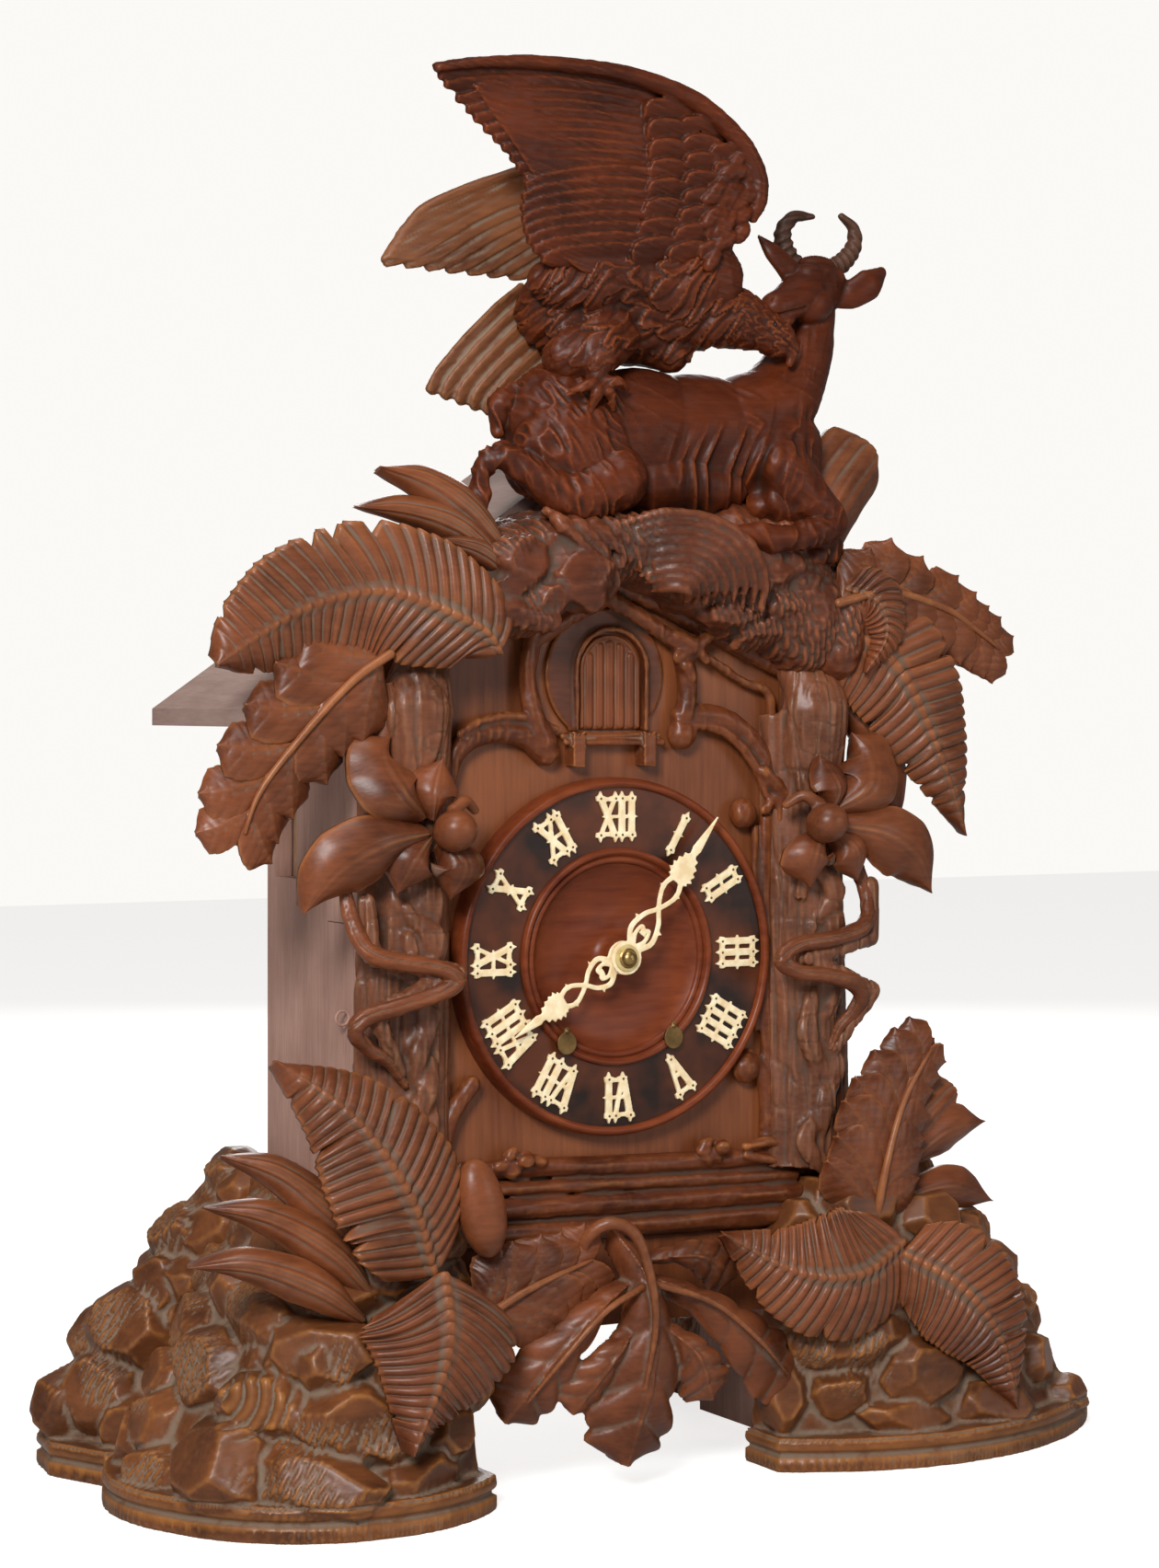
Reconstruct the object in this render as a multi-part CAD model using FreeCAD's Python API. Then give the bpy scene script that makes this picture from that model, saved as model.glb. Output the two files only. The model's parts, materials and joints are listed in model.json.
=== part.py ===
"""A carved mantel cuckoo clock: case, carvings, dial, cuckoo and a two-train spring movement.

Frame: millimetres, +Z up, +X to the right of a person facing the dial, -Y towards that person.
Everything is laid out about the dial's centre line (X = 0) and moved at the end, so that the
origin lies on the floor under the middle of the whole object.
"""
import FreeCAD, Part
import math
import os

V = FreeCAD.Vector
UP = V(0, 0, 1)
BACK = V(0, 1, 0)
FRONT = V(0, -1, 0)

# ---- driving dimensions ------------------------------------------------------------------
CASE_HALF = 175.0        # half width over the side panels
PANEL = 12.0             # thickness of the side panels, floor and back
CASE_FRONT = -107.0      # front edge of the side panels
CASE_BACK = 33.0         # back face of the case
BOARD = 14.0             # thickness of the front board
BOARD_FRONT = CASE_FRONT - BOARD
FLOOR_Z = 140.0          # top of the case floor, which hangs between the side panels
BOARD_BOTTOM = 100.0     # lower edge of the front board, the top of the arch between the feet
ROOF_RIDGE = 679.0       # top of the ridge
ROOF_HALF = 255.0        # half width over the eaves
ROOF_SLOPE = 0.687       # rise over run of the roof
ROOF_T = 11.0            # roof thickness, measured upright
ROOF_BACK = 40.0
DOOR_TOP = 530.0         # top of the hinged back
GAP = 0.5                # clearance round doors and lids
HATCH_FRONT, HATCH_REAR, HATCH_LOW, HATCH_HIGH = -103.0, -63.0, 236.0, 367.0
HATCH_T = 8.0            # the small side door is thinner than the panel it closes
SOUND_HOLE = (-14.0, 20.0, 392.0, 470.0)   # front, rear, foot and head of the side windows

LEFT_REACH = 320.0       # how far the left rocks spread from the centre line
RIGHT_REACH = 402.0
FOOT_INNER = 104.0       # inner edge of the front feet
BOW_Y = -200.0           # front of the bowed foot slabs
HEEL_Y = 120.0           # back of the rear foot slabs
SLAB_H = 22.0
ROCK_H = 192.0

DIAL_Z = 342.0           # height of the hands' centre
DIAL_R = 117.0
DIAL_BACK = BOARD_FRONT
CHAPTER_Y = DIAL_BACK - 12.0       # face that carries the numerals
RIM_Y = DIAL_BACK - 16.0           # front of the turned rings
RING_IN, RING_OUT = 62.0, 70.0     # the inner turned ring
WIND_X, WIND_DROP = 40.0, 54.0     # winding squares, from the hands' centre
WIND_HOLE_R = 6.5
NUMERAL_R, NUMERAL_H = 92.0, 34.0
NUMERAL_T = 1.8

HOUR_HAND_Y, MINUTE_HAND_Y, HAND_T = -141.5, -146.5, 2.0
MINUTE_ANGLE, HOUR_ANGLE = 37.5, 238.5   # hands at rest, degrees clockwise from twelve
MINUTE_LEN, HOUR_LEN = 114.0, 93.0

DOOR_HALF, DOOR_SILL, DOOR_SPRING = 23.0, 489.0, 530.0   # cuckoo door: half width, foot, arch
DOOR_T = 4.0
BIRD_TRAVEL = 45.0

FRONT_PLATE_Y, BACK_PLATE_Y, PLATE_T = -92.0, -42.0, 2.5
PLATE_HALF, PLATE_LOW, PLATE_HIGH = 76.0, 248.0, 424.0
ARBOR_R, RUN = 1.5, 0.05                 # pivot radius and running clearance

ANCHOR_UP = 68.0                         # anchor arbor above the hands' centre
PENDULUM_Y, ROD_R, BOB_DROP = -30.0, 1.3, 248.0

PARTS = {}


# ---- small tools -------------------------------------------------------------------------
def box(x0, x1, y0, y1, z0, z1):
    """A block between two corners."""
    return Part.makeBox(x1 - x0, y1 - y0, z1 - z0, V(x0, y0, z0))


def rod(p, q, r):
    """A round bar from p to q."""
    return Part.makeCylinder(r, (q - p).Length, p, q - p)


def limb(p, q, r1, r2):
    """A round-ended taper from p to q."""
    body = Part.makeCone(r1, r2, (q - p).Length, p, q - p) if abs(r1 - r2) > 0.01 else rod(p, q, r1)
    return body.fuse([Part.makeSphere(r1, p), Part.makeSphere(r2, q)])


def chain(points, radii):
    """Round limbs joined end to end."""
    links = [limb(points[i], points[i + 1], radii[i], radii[i + 1]) for i in range(len(points) - 1)]
    return links[0].fuse(links[1:]) if len(links) > 1 else links[0]


def slab(points, y0, y1):
    """An outline of (x, z) points, upright, between two depths."""
    ring = [V(x, y0, z) for x, z in points]
    return Part.Face(Part.makePolygon(ring + ring[:1])).extrude(V(0, y1 - y0, 0))


def disc(x, z, r, y0, y1):
    """A round plate facing forwards."""
    return Part.makeCylinder(r, y1 - y0, V(x, y0, z), BACK)


def lens(root, tip, width, thick, facing):
    """A leaf blank: two arcs from root to tip, thick along the way it faces."""
    along = tip - root
    side = facing.cross(along).normalize()
    normal = along.cross(side).normalize()
    back = normal * (-thick / 2)
    a, b = root + back, tip + back
    middle = (a + b) * 0.5
    edges = [Part.Arc(a, middle + side * (width / 2), b).toShape(),
             Part.Arc(b, middle - side * (width / 2), a).toShape()]
    return Part.Face(Part.Wire(edges)).extrude(normal * thick)


def join(shapes):
    """One shape out of several that touch."""
    return shapes[0].fuse(shapes[1:]).removeSplitter() if len(shapes) > 1 else shapes[0]


def turned(shape, angle, x, z):
    """The shape turned clockwise, as seen from the front, about (x, z)."""
    made = shape.copy()
    made.rotate(V(x, 0, z), BACK, angle)
    return made


def roof_under(x):
    """Height of the roof's underside."""
    return ROOF_RIDGE - ROOF_T - ROOF_SLOPE * abs(x)


def add(name, shape, *clear_of):
    """Keeps a part, cut clear of the parts it butts against."""
    for other in clear_of:
        shape = shape.cut(PARTS[other])
    PARTS[name] = shape
    return shape


# ---- case --------------------------------------------------------------------------------
def make_case():
    """Side panels, floor, roof boards, front board and the fixed part of the back."""
    inner = CASE_HALF - PANEL
    for name, sign in (("left_side_panel", -1), ("right_side_panel", 1)):
        panel = slab([(sign * inner, 0), (sign * CASE_HALF, 0), (sign * CASE_HALF, roof_under(CASE_HALF)),
                      (sign * inner, roof_under(inner))], CASE_FRONT, CASE_BACK)
        sound_hole = box(-CASE_HALF - 1, CASE_HALF + 1, *SOUND_HOLE)
        PARTS[name] = panel.cut(sound_hole)
    hatch_hole = box(-CASE_HALF - 1, -inner + 1, HATCH_FRONT, HATCH_REAR, HATCH_LOW, HATCH_HIGH)
    PARTS["left_side_panel"] = PARTS["left_side_panel"].cut(hatch_hole)
    add("case_floor", box(-inner, inner, CASE_FRONT, CASE_BACK, FLOOR_Z - PANEL, FLOOR_Z))
    for name, sign in (("roof_left", -1), ("roof_right", 1)):
        eave = ROOF_RIDGE - ROOF_SLOPE * ROOF_HALF
        add(name, slab([(0, ROOF_RIDGE), (sign * ROOF_HALF, eave), (sign * ROOF_HALF, eave - ROOF_T),
                        (0, ROOF_RIDGE - ROOF_T)], CASE_FRONT, ROOF_BACK))
    front = slab([(-CASE_HALF, BOARD_BOTTOM), (CASE_HALF, BOARD_BOTTOM), (CASE_HALF, roof_under(CASE_HALF)),
                  (0, roof_under(0)), (-CASE_HALF, roof_under(CASE_HALF))], BOARD_FRONT, CASE_FRONT)
    y0, y1 = BOARD_FRONT - 1, CASE_FRONT + 1
    holes = [disc(0, DIAL_Z, 7, y0, y1)]
    holes += [disc(s * WIND_X, DIAL_Z - WIND_DROP, WIND_HOLE_R, y0, y1) for s in (-1, 1)]
    holes += [arched(DOOR_HALF - 3, DOOR_SILL + 2, DOOR_SPRING, y0, y1)]
    add("front_board", front.cut(holes))
    add("back_gable", slab([(-inner, DOOR_TOP + 1), (inner, DOOR_TOP + 1), (inner, roof_under(inner)),
                            (0, roof_under(0)), (-inner, roof_under(inner))], CASE_BACK - PANEL, CASE_BACK))
    door = box(-inner + GAP, inner - GAP, CASE_BACK - PANEL + 1, CASE_BACK, FLOOR_Z + GAP, DOOR_TOP)
    knob = rod(V(-inner + 22, CASE_BACK, 330), V(-inner + 22, CASE_BACK + 9, 330), 5)
    add("back_door", join([door, knob]))


def arched(half, foot, spring, y0, y1):
    """A door shape: straight sides under a round head."""
    ring = [V(-half, y0, foot), V(half, y0, foot), V(half, y0, spring)]
    edges = [Part.LineSegment(ring[0], ring[1]).toShape(), Part.LineSegment(ring[1], ring[2]).toShape(),
             Part.Arc(ring[2], V(0, y0, spring + half), V(-half, y0, spring)).toShape(),
             Part.LineSegment(V(-half, y0, spring), ring[0]).toShape()]
    return Part.Face(Part.Wire(edges)).extrude(V(0, y1 - y0, 0))


def make_hatch():
    """The small side door with its wire pull, hinged at its rear edge."""
    swing_room = 1.2
    leaf = box(-CASE_HALF, -CASE_HALF + HATCH_T, HATCH_FRONT + swing_room, HATCH_REAR - GAP, HATCH_LOW + GAP,
               HATCH_HIGH - GAP)
    pull = Part.makeTorus(4.5, 0.9, V(-CASE_HALF - 4.5, HATCH_FRONT + 8, 307), BACK)
    add("left_hatch", join([leaf, pull]))


# ---- carved base -------------------------------------------------------------------------
def rock_wire(points, sign, reach, z):
    """A closed outline in plan. A point's first number runs from 0 at the inner edge to 1 at the reach."""
    side = (CASE_HALF + 1 - FOOT_INNER) / (reach - FOOT_INNER)
    ring = []
    for u, y in points:
        u = side if u is None else u
        ring.append(V(sign * (FOOT_INNER + u * (reach - FOOT_INNER)), y, z))
    return Part.makePolygon(ring + ring[:1])


def rock_pile(levels, sign, reach):
    """A stepped pile: one outline for each height."""
    wires = [rock_wire(points, sign, reach, z) for z, points in levels]
    return Part.makeLoft(wires, True, True)


def foot_slab(sign, reach):
    """The bowed front slab, wrapped round the case's corner."""
    side, inner = sign * (CASE_HALF + 1), sign * FOOT_INNER
    front = BOARD_FRONT - 1
    middle = sign * (FOOT_INNER + reach) / 2
    toe, heel = V(inner, BOW_Y + 36, 0), V(sign * (reach - 24), 8, 0)
    shoulder = V(sign * (reach - 12), BOW_Y + 76, 0)
    bow = Part.Arc(toe, V(middle, BOW_Y, 0), shoulder).toShape()
    flank = Part.Arc(shoulder, V(sign * reach, -40, 0), heel).toShape()
    corner = [heel, V(side, 8, 0), V(side, front, 0), V(inner, front, 0), toe]
    straight = [Part.LineSegment(corner[i], corner[i + 1]).toShape() for i in range(4)]
    edges = [bow, flank] + straight
    return Part.Face(Part.Wire(edges)).extrude(V(0, 0, SLAB_H))


def make_base():
    """Four rocky feet: two bowed ones in front and two at the sides, behind."""
    front = BOARD_FRONT - 1
    middle_z = 112.0
    front_levels = [
        (SLAB_H, [(0, front), (0.02, -160), (0.3, -186), (0.64, -184), (0.9, -140), (0.96, -60),
                  (0.88, 4), (None, 4), (None, front)]),
        (middle_z, [(0.03, front), (0.06, -156), (0.3, -176), (0.56, -170), (0.72, -132), (0.75, -60),
                    (0.68, 0), (None, 0), (None, front)]),
        (ROCK_H, [(0.12, front), (0.14, -146), (0.27, -154), (0.40, -150), (0.48, -128), (0.5, -70),
                  (0.46, -24), (None, -24), (None, front)])]
    rear_levels = [
        (SLAB_H, [(None, 12), (0.8, 12), (0.96, 60), (0.95, 98), (0.62, 114), (None, 114)]),
        (middle_z, [(None, 12), (0.68, 12), (0.78, 48), (0.77, 78), (0.55, 88), (None, 88)]),
        (ROCK_H + 14, [(None, -10), (0.42, -10), (0.46, 18), (0.45, 36), (0.42, 44), (None, 44)])]
    for name, sign, reach in (("left", -1, LEFT_REACH), ("right", 1, RIGHT_REACH)):
        pile = rock_pile(front_levels, sign, reach)
        add(f"front_{name}_rocks", join([foot_slab(sign, reach), pile]))
        outline = [(None, 12), (0.9, 12), (1, 60), (0.97, 102), (0.62, HEEL_Y), (None, HEEL_Y)]
        heel_slab = Part.Face(rock_wire(outline, sign, reach, 0)).extrude(V(0, 0, SLAB_H))
        add(f"rear_{name}_rocks", join([heel_slab, rock_pile(rear_levels, sign, reach)]), f"front_{name}_rocks")


# ---- carved front ------------------------------------------------------------------------
def make_front_carving():
    """Timber frame, gable, arches and rails carved round the dial, and the bark-covered trunks."""
    y0, y1 = BOARD_FRONT - 16, BOARD_FRONT
    rafters = [slab([(0, 606), (s * 152, 503), (s * 152, 484), (0, 587)], y0, y1) for s in (-1, 1)]
    inner_rafters = [slab([(0, 584), (s * 50, 548), (s * 50, 538), (0, 573)], y0 + 2, y1) for s in (-1, 1)]
    posts = [box(s * 56 - 7, s * 56 + 7, y0, y1, 484, 552) for s in (-1, 1)]
    arches = []
    for s in (-1, 1):
        a, b, c = V(s * 58, y0 + 2, 493), V(s * 96, y0 + 2, 486), V(s * 113, y0 + 2, 450)
        d, e, f = V(s * 103, y0 + 2, 450), V(s * 90, y0 + 2, 476), V(s * 58, y0 + 2, 480)
        edges = [Part.Arc(a, b, c).toShape(), Part.LineSegment(c, d).toShape(), Part.Arc(d, e, f).toShape(),
                 Part.LineSegment(f, a).toShape()]
        arches.append(Part.Face(Part.Wire(edges)).extrude(V(0, 14, 0)))
    sill = box(-36, 36, y0 - 2, y1, 477, 487.5)
    rails = [box(-112, 112, y0, y1, 196, 212), box(-112, 112, y0 + 4, y1, 160, 194)]
    stiles = [box(s * 108 - 5, s * 108 + 5, y0 + 4, y1, 213, 449) for s in (-1, 1)]
    dial_room = disc(0, DIAL_Z, DIAL_R + GAP, y0 - 30, y1 + 1)
    frame = join(rafters + inner_rafters + posts + arches)
    PARTS["front_frame"] = Part.makeCompound([solid for part in (frame, sill, *rails, *stiles)
                                              for solid in part.cut(dial_room).Solids])
    for name, sign in (("left_trunk", -1), ("right_trunk", 1)):
        trunk = half_round_trunk(sign)
        zig = [V(sign * 188, -148, 384), V(sign * 186, -152, 350), V(sign * 130, -158, 338),
               V(sign * 186, -154, 314), V(sign * 162, -146, 276)]
        twig = chain(zig, [6, 6, 6.5, 6, 4])
        add(name, join([trunk, twig]), "front_frame", "dial")


def half_round_trunk(sign):
    """A half-round trunk standing in front of the case's edge."""
    def ring(z, cx, half, depth):
        outer, inner = V(sign * (cx + half), BOARD_FRONT, z), V(sign * (cx - half), BOARD_FRONT, z)
        bow = Part.Arc(inner, V(sign * cx, BOARD_FRONT - depth, z), outer)
        return Part.Wire([Part.LineSegment(outer, inner).toShape(), bow.toShape()])
    levels = [ring(196, 151, 37, 26), ring(330, 151, 34, 24), ring(500, 146, 31, 24)]
    return Part.makeLoft(levels, True, True)


def make_dial():
    """Turned dial, bone numerals and the two keyhole covers."""
    r, z = DIAL_R, DIAL_Z
    dish, boss = DIAL_BACK - 5, DIAL_BACK - 10
    rim = [(0, DIAL_BACK), (r, DIAL_BACK), (r, RIM_Y + 2), (r - 2, RIM_Y), (r - 5, RIM_Y), (r - 6.5, CHAPTER_Y)]
    inner_ring = [(RING_OUT + 1, CHAPTER_Y), (RING_OUT, RIM_Y), (RING_IN + 2, RIM_Y), (RING_IN, CHAPTER_Y)]
    profile = rim + inner_ring + [(44, dish), (26, dish), (12, boss), (0, boss)]
    ring = [V(a, y, z) for a, y in profile]
    dial = Part.Face(Part.makePolygon(ring + ring[:1])).revolve(V(0, 0, z), BACK, 360)
    holes = [disc(0, z, 5.2, RIM_Y - 1, DIAL_BACK + 1)]
    holes += [disc(s * WIND_X, z - WIND_DROP, WIND_HOLE_R, RIM_Y - 1, DIAL_BACK + 1) for s in (-1, 1)]
    add("dial", dial.cut(holes))
    PARTS["numerals"] = Part.makeCompound([numeral(hour) for hour in range(1, 13)])
    for name, s in (("left_keyhole_cover", -1), ("right_keyhole_cover", 1)):
        x, hz = s * WIND_X, z - WIND_DROP
        lid = disc(x, hz, 7, RIM_Y - 1.8, RIM_Y - 0.3)
        ear = disc(x, hz + 7, 2.5, RIM_Y - 1.8, RIM_Y - 0.3)
        add(name, join([lid, ear]))


STROKES = {1: "I", 2: "II", 3: "III", 4: "IIII", 5: "V", 6: "VI", 7: "VII", 8: "VIII", 9: "IX", 10: "X", 11: "XI",
           12: "XII"}
PITCH = {"I": 6.4, "V": 11.0, "X": 11.0}


def bar(x0, x1, w):
    """One stroke of a numeral from foot to head, with pointed ends."""
    h, t = NUMERAL_H / 2, 2.2
    ring = [(x0 - w / 2, -h + t), (x0, -h), (x0 + w / 2, -h + t), (x1 + w / 2, h - t), (x1, h), (x1 - w / 2, h - t)]
    return slab(ring, CHAPTER_Y - NUMERAL_T, CHAPTER_Y)


def numeral(hour):
    """A bone numeral: strokes joined by a head and a foot bar, its feet towards the centre."""
    text = STROKES[hour]
    total = sum(PITCH[c] for c in text)
    shapes, x = [], -total / 2
    for c in text:
        mid = x + PITCH[c] / 2
        if c == "I":
            shapes.append(bar(mid, mid, 3.4))
        elif c == "V":
            shapes += [bar(mid, mid - 3.4, 3.2), bar(mid, mid + 3.4, 2.2)]
        else:
            shapes += [bar(mid + 3.4, mid - 3.4, 3.2), bar(mid - 3.4, mid + 3.4, 2.2)]
        x += PITCH[c]
    if len(text) > 1:
        reach = total / 2 - 2.6
        front = CHAPTER_Y - NUMERAL_T
        shapes += [box(-reach, reach, front, CHAPTER_Y, s * 14.4 - 1.3, s * 14.4 + 1.3) for s in (-1, 1)]
    made = join(shapes)
    made.translate(V(0, 0, DIAL_Z + NUMERAL_R))
    return turned(made, hour * 30, 0, DIAL_Z)


# ---- hands and motion work ---------------------------------------------------------------
def gear(teeth, module, y0, y1, x, z, phase=0.0):
    """A toothed wheel facing forwards, with a tooth at the phase angle (radians from +X towards +Z)."""
    r = teeth * module / 2
    tip, root = r + 0.8 * module, r - 1.15 * module
    pitch = 2 * math.pi / teeth
    ring = []
    for k in range(teeth):
        for share, radius in ((-0.22, root), (-0.10, tip), (0.10, tip), (0.22, root)):
            angle = phase + (k + share) * pitch
            ring.append((x + radius * math.cos(angle), z + radius * math.sin(angle)))
    return slab(ring, y0, y1)


def meshed_phase(teeth, phase, here, mate_teeth, there):
    """Phase of a wheel at `there` whose gaps take the teeth of the wheel at `here`."""
    line = math.atan2(there[1] - here[1], there[0] - here[0])
    share = ((line - phase) * teeth / (2 * math.pi)) % 1
    return line + math.pi - 2 * math.pi * (0.5 - share) / mate_teeth


def meeting(here, r1, there, r2, side):
    """The point at r1 from here and r2 from there, on the chosen side of the line between them."""
    dx, dz = there[0] - here[0], there[1] - here[1]
    d = math.hypot(dx, dz)
    a = (r1 * r1 - r2 * r2 + d * d) / (2 * d)
    h = side * math.sqrt(r1 * r1 - a * a)
    return (here[0] + (a * dx - h * dz) / d, here[1] + (a * dz + h * dx) / d)


CENTRE = (0.0, DIAL_Z)
GOING = (WIND_X, DIAL_Z - WIND_DROP)
STRIKE = (-WIND_X, DIAL_Z - WIND_DROP)
ESCAPE = (0.0, DIAL_Z + 42)
ANCHOR = (0.0, DIAL_Z + ANCHOR_UP)
GREAT_TEETH, GREAT_M = 80, 0.9
SECOND_PINION, SECOND_TEETH, SECOND_M = 10, 60, 0.8
CENTRE_PINION, CENTRE_TEETH, CENTRE_M = 8, 80, 0.6
THIRD_PINION, THIRD_TEETH, THIRD_M = 8, 80, 0.55
ESCAPE_PINION, ESCAPE_TEETH = 8, 36
SECOND = meeting(GOING, (GREAT_TEETH + SECOND_PINION) * GREAT_M / 2, CENTRE,
                 (SECOND_TEETH + CENTRE_PINION) * SECOND_M / 2, -1)
THIRD = meeting(CENTRE, (CENTRE_TEETH + THIRD_PINION) * CENTRE_M / 2, ESCAPE,
                (THIRD_TEETH + ESCAPE_PINION) * THIRD_M / 2, 1)
PIN_TEETH = 80


def polar(start, reach, degrees):
    """The point at a reach and direction (anticlockwise from +X) from the start."""
    angle = math.radians(degrees)
    return (start[0] + reach * math.cos(angle), start[1] + reach * math.sin(angle))


PIN_WHEEL = polar(STRIKE, (GREAT_TEETH + SECOND_PINION) * GREAT_M / 2, 100)
FLY = polar(PIN_WHEEL, (PIN_TEETH + ESCAPE_PINION) * CENTRE_M / 2, 125)
CANNON_M, MOTION_M = 1.0, 0.96
MINUTE_WHEEL = (-24.0, DIAL_Z)
CANNON_TEETH, MINUTE_TEETH, MINUTE_PINION, HOUR_TEETH = 12, 36, 10, 40


def hand(length, waist, y, angle):
    """A bone hand: ring, two scrolls, leaf and point, laid out upright and then turned."""
    eye = disc(0, DIAL_Z, waist, y, y + HAND_T)
    stem = [(-2.2, 0), (-5.5, 0.16), (-2.0, 0.34), (-4.5, 0.46), (-2.2, 0.56), (-7.5, 0.62), (-3.0, 0.74), (0, 1.0),
            (3.0, 0.74), (7.5, 0.62), (2.2, 0.56), (4.5, 0.46), (2.0, 0.34), (5.5, 0.16), (2.2, 0)]
    blade = slab([(x, DIAL_Z + waist * 0.6 + u * (length - waist * 0.6)) for x, u in stem], y, y + HAND_T)
    return turned(join([eye, blade]), angle, 0, DIAL_Z)


def make_hands():
    """Hour hand on its wheel and pipe, minute hand on the cannon pinion, and the motion wheel."""
    hour_pipe = disc(0, DIAL_Z, 4.6, HOUR_HAND_Y, -102)
    hour_wheel = gear(HOUR_TEETH, MOTION_M, -105.5, -103, 0, DIAL_Z)
    bore = disc(0, DIAL_Z, 3.25, -160, -90)
    add("hour_hand", hand(HOUR_LEN, 9, HOUR_HAND_Y, HOUR_ANGLE).cut(bore))
    add("hour_wheel", join([hour_pipe, hour_wheel]).cut(bore), "hour_hand")
    pipe = disc(0, DIAL_Z, 3.2, MINUTE_HAND_Y - 0.4, -94.5)
    cannon = gear(CANNON_TEETH, CANNON_M, -99, -95, 0, DIAL_Z)
    arbor_room = disc(0, DIAL_Z, 2 + RUN, -143, -90)
    add("minute_hand", hand(MINUTE_LEN, 8, MINUTE_HAND_Y, MINUTE_ANGLE).cut(disc(0, DIAL_Z, 3.2, -160, -90)))
    add("cannon_pinion", join([pipe, cannon]).cut(arbor_room))
    cap = Part.makeSphere(5.2, V(0, MINUTE_HAND_Y - 0.4, DIAL_Z))
    add("hand_nut", cap.common(box(-9, 9, MINUTE_HAND_Y - 9, MINUTE_HAND_Y - 0.4, DIAL_Z - 9, DIAL_Z + 9)))
    wheel_phase = meshed_phase(CANNON_TEETH, 0.0, CENTRE, MINUTE_TEETH, MINUTE_WHEEL)
    leaf_phase = meshed_phase(HOUR_TEETH, 0.0, CENTRE, MINUTE_PINION, MINUTE_WHEEL)
    x, z = MINUTE_WHEEL
    wheel = gear(MINUTE_TEETH, CANNON_M, -98.5, -96, x, z, wheel_phase)
    leaves = gear(MINUTE_PINION, MOTION_M, -106, -98.5, x, z, leaf_phase)
    add("minute_wheel", join([wheel, leaves, disc(x, z, 3, -96, -93)]).cut(disc(x, z, ARBOR_R + RUN, -110, -90)))


# ---- movement ----------------------------------------------------------------------------
def arbor(point, front=FRONT_PLATE_Y, back=BACK_PLATE_Y + PLATE_T, r=ARBOR_R):
    """A plain arbor that runs in both plates."""
    return disc(point[0], point[1], r, front, back)


def make_movement():
    """Plates, pillars and the two trains, with every arbor running in drilled holes."""
    pivots = [SECOND, THIRD, ESCAPE, ANCHOR, PIN_WHEEL, FLY]
    for name, y in (("movement_front_plate", FRONT_PLATE_Y), ("movement_back_plate", BACK_PLATE_Y)):
        holes = [disc(px, pz, ARBOR_R + RUN, y - 1, y + PLATE_T + 1) for px, pz in pivots]
        holes += [disc(px, pz, 4 + RUN, y - 1, y + PLATE_T + 1) for px, pz in (GOING, STRIKE)]
        holes += [disc(0, DIAL_Z, 2 + RUN, y - 1, y + PLATE_T + 1)]
        plate = box(-PLATE_HALF, PLATE_HALF, y, y + PLATE_T, PLATE_LOW, PLATE_HIGH).cut(holes)
        if y == FRONT_PLATE_Y:
            stud = disc(*MINUTE_WHEEL, ARBOR_R, -106.5, y)
            add(name, join([plate, stud]))
        else:
            add(name, join([plate, pendulum_hook(), hammer_post()]))
    corners = [(sx * (PLATE_HALF - 7), z) for sx in (-1, 1) for z in (PLATE_LOW + 7, PLATE_HIGH - 7)]
    pillars = [disc(x, z, 4, FRONT_PLATE_Y + PLATE_T, BACK_PLATE_Y) for x, z in corners]
    feet = [disc(x, z, 5, CASE_FRONT, FRONT_PLATE_Y) for x, z in corners]
    PARTS["movement_pillars"] = Part.makeCompound(pillars + feet)
    make_barrels()
    make_trains()
    make_escapement()


def make_barrels():
    """Two spring barrels with their great wheels and winding squares."""
    for name, (x, z) in (("going_barrel", GOING), ("strike_barrel", STRIKE)):
        drum = disc(x, z, 27, -76, -53)
        wheel = gear(GREAT_TEETH, GREAT_M, -53, -51, x, z)
        shaft = disc(x, z, 4, FRONT_PLATE_Y - 6, BACK_PLATE_Y + PLATE_T)
        square = box(x - 2.6, x + 2.6, BOARD_FRONT - 3, FRONT_PLATE_Y - 6, z - 2.6, z + 2.6)
        add(name, join([drum, wheel, shaft, square]))


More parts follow.
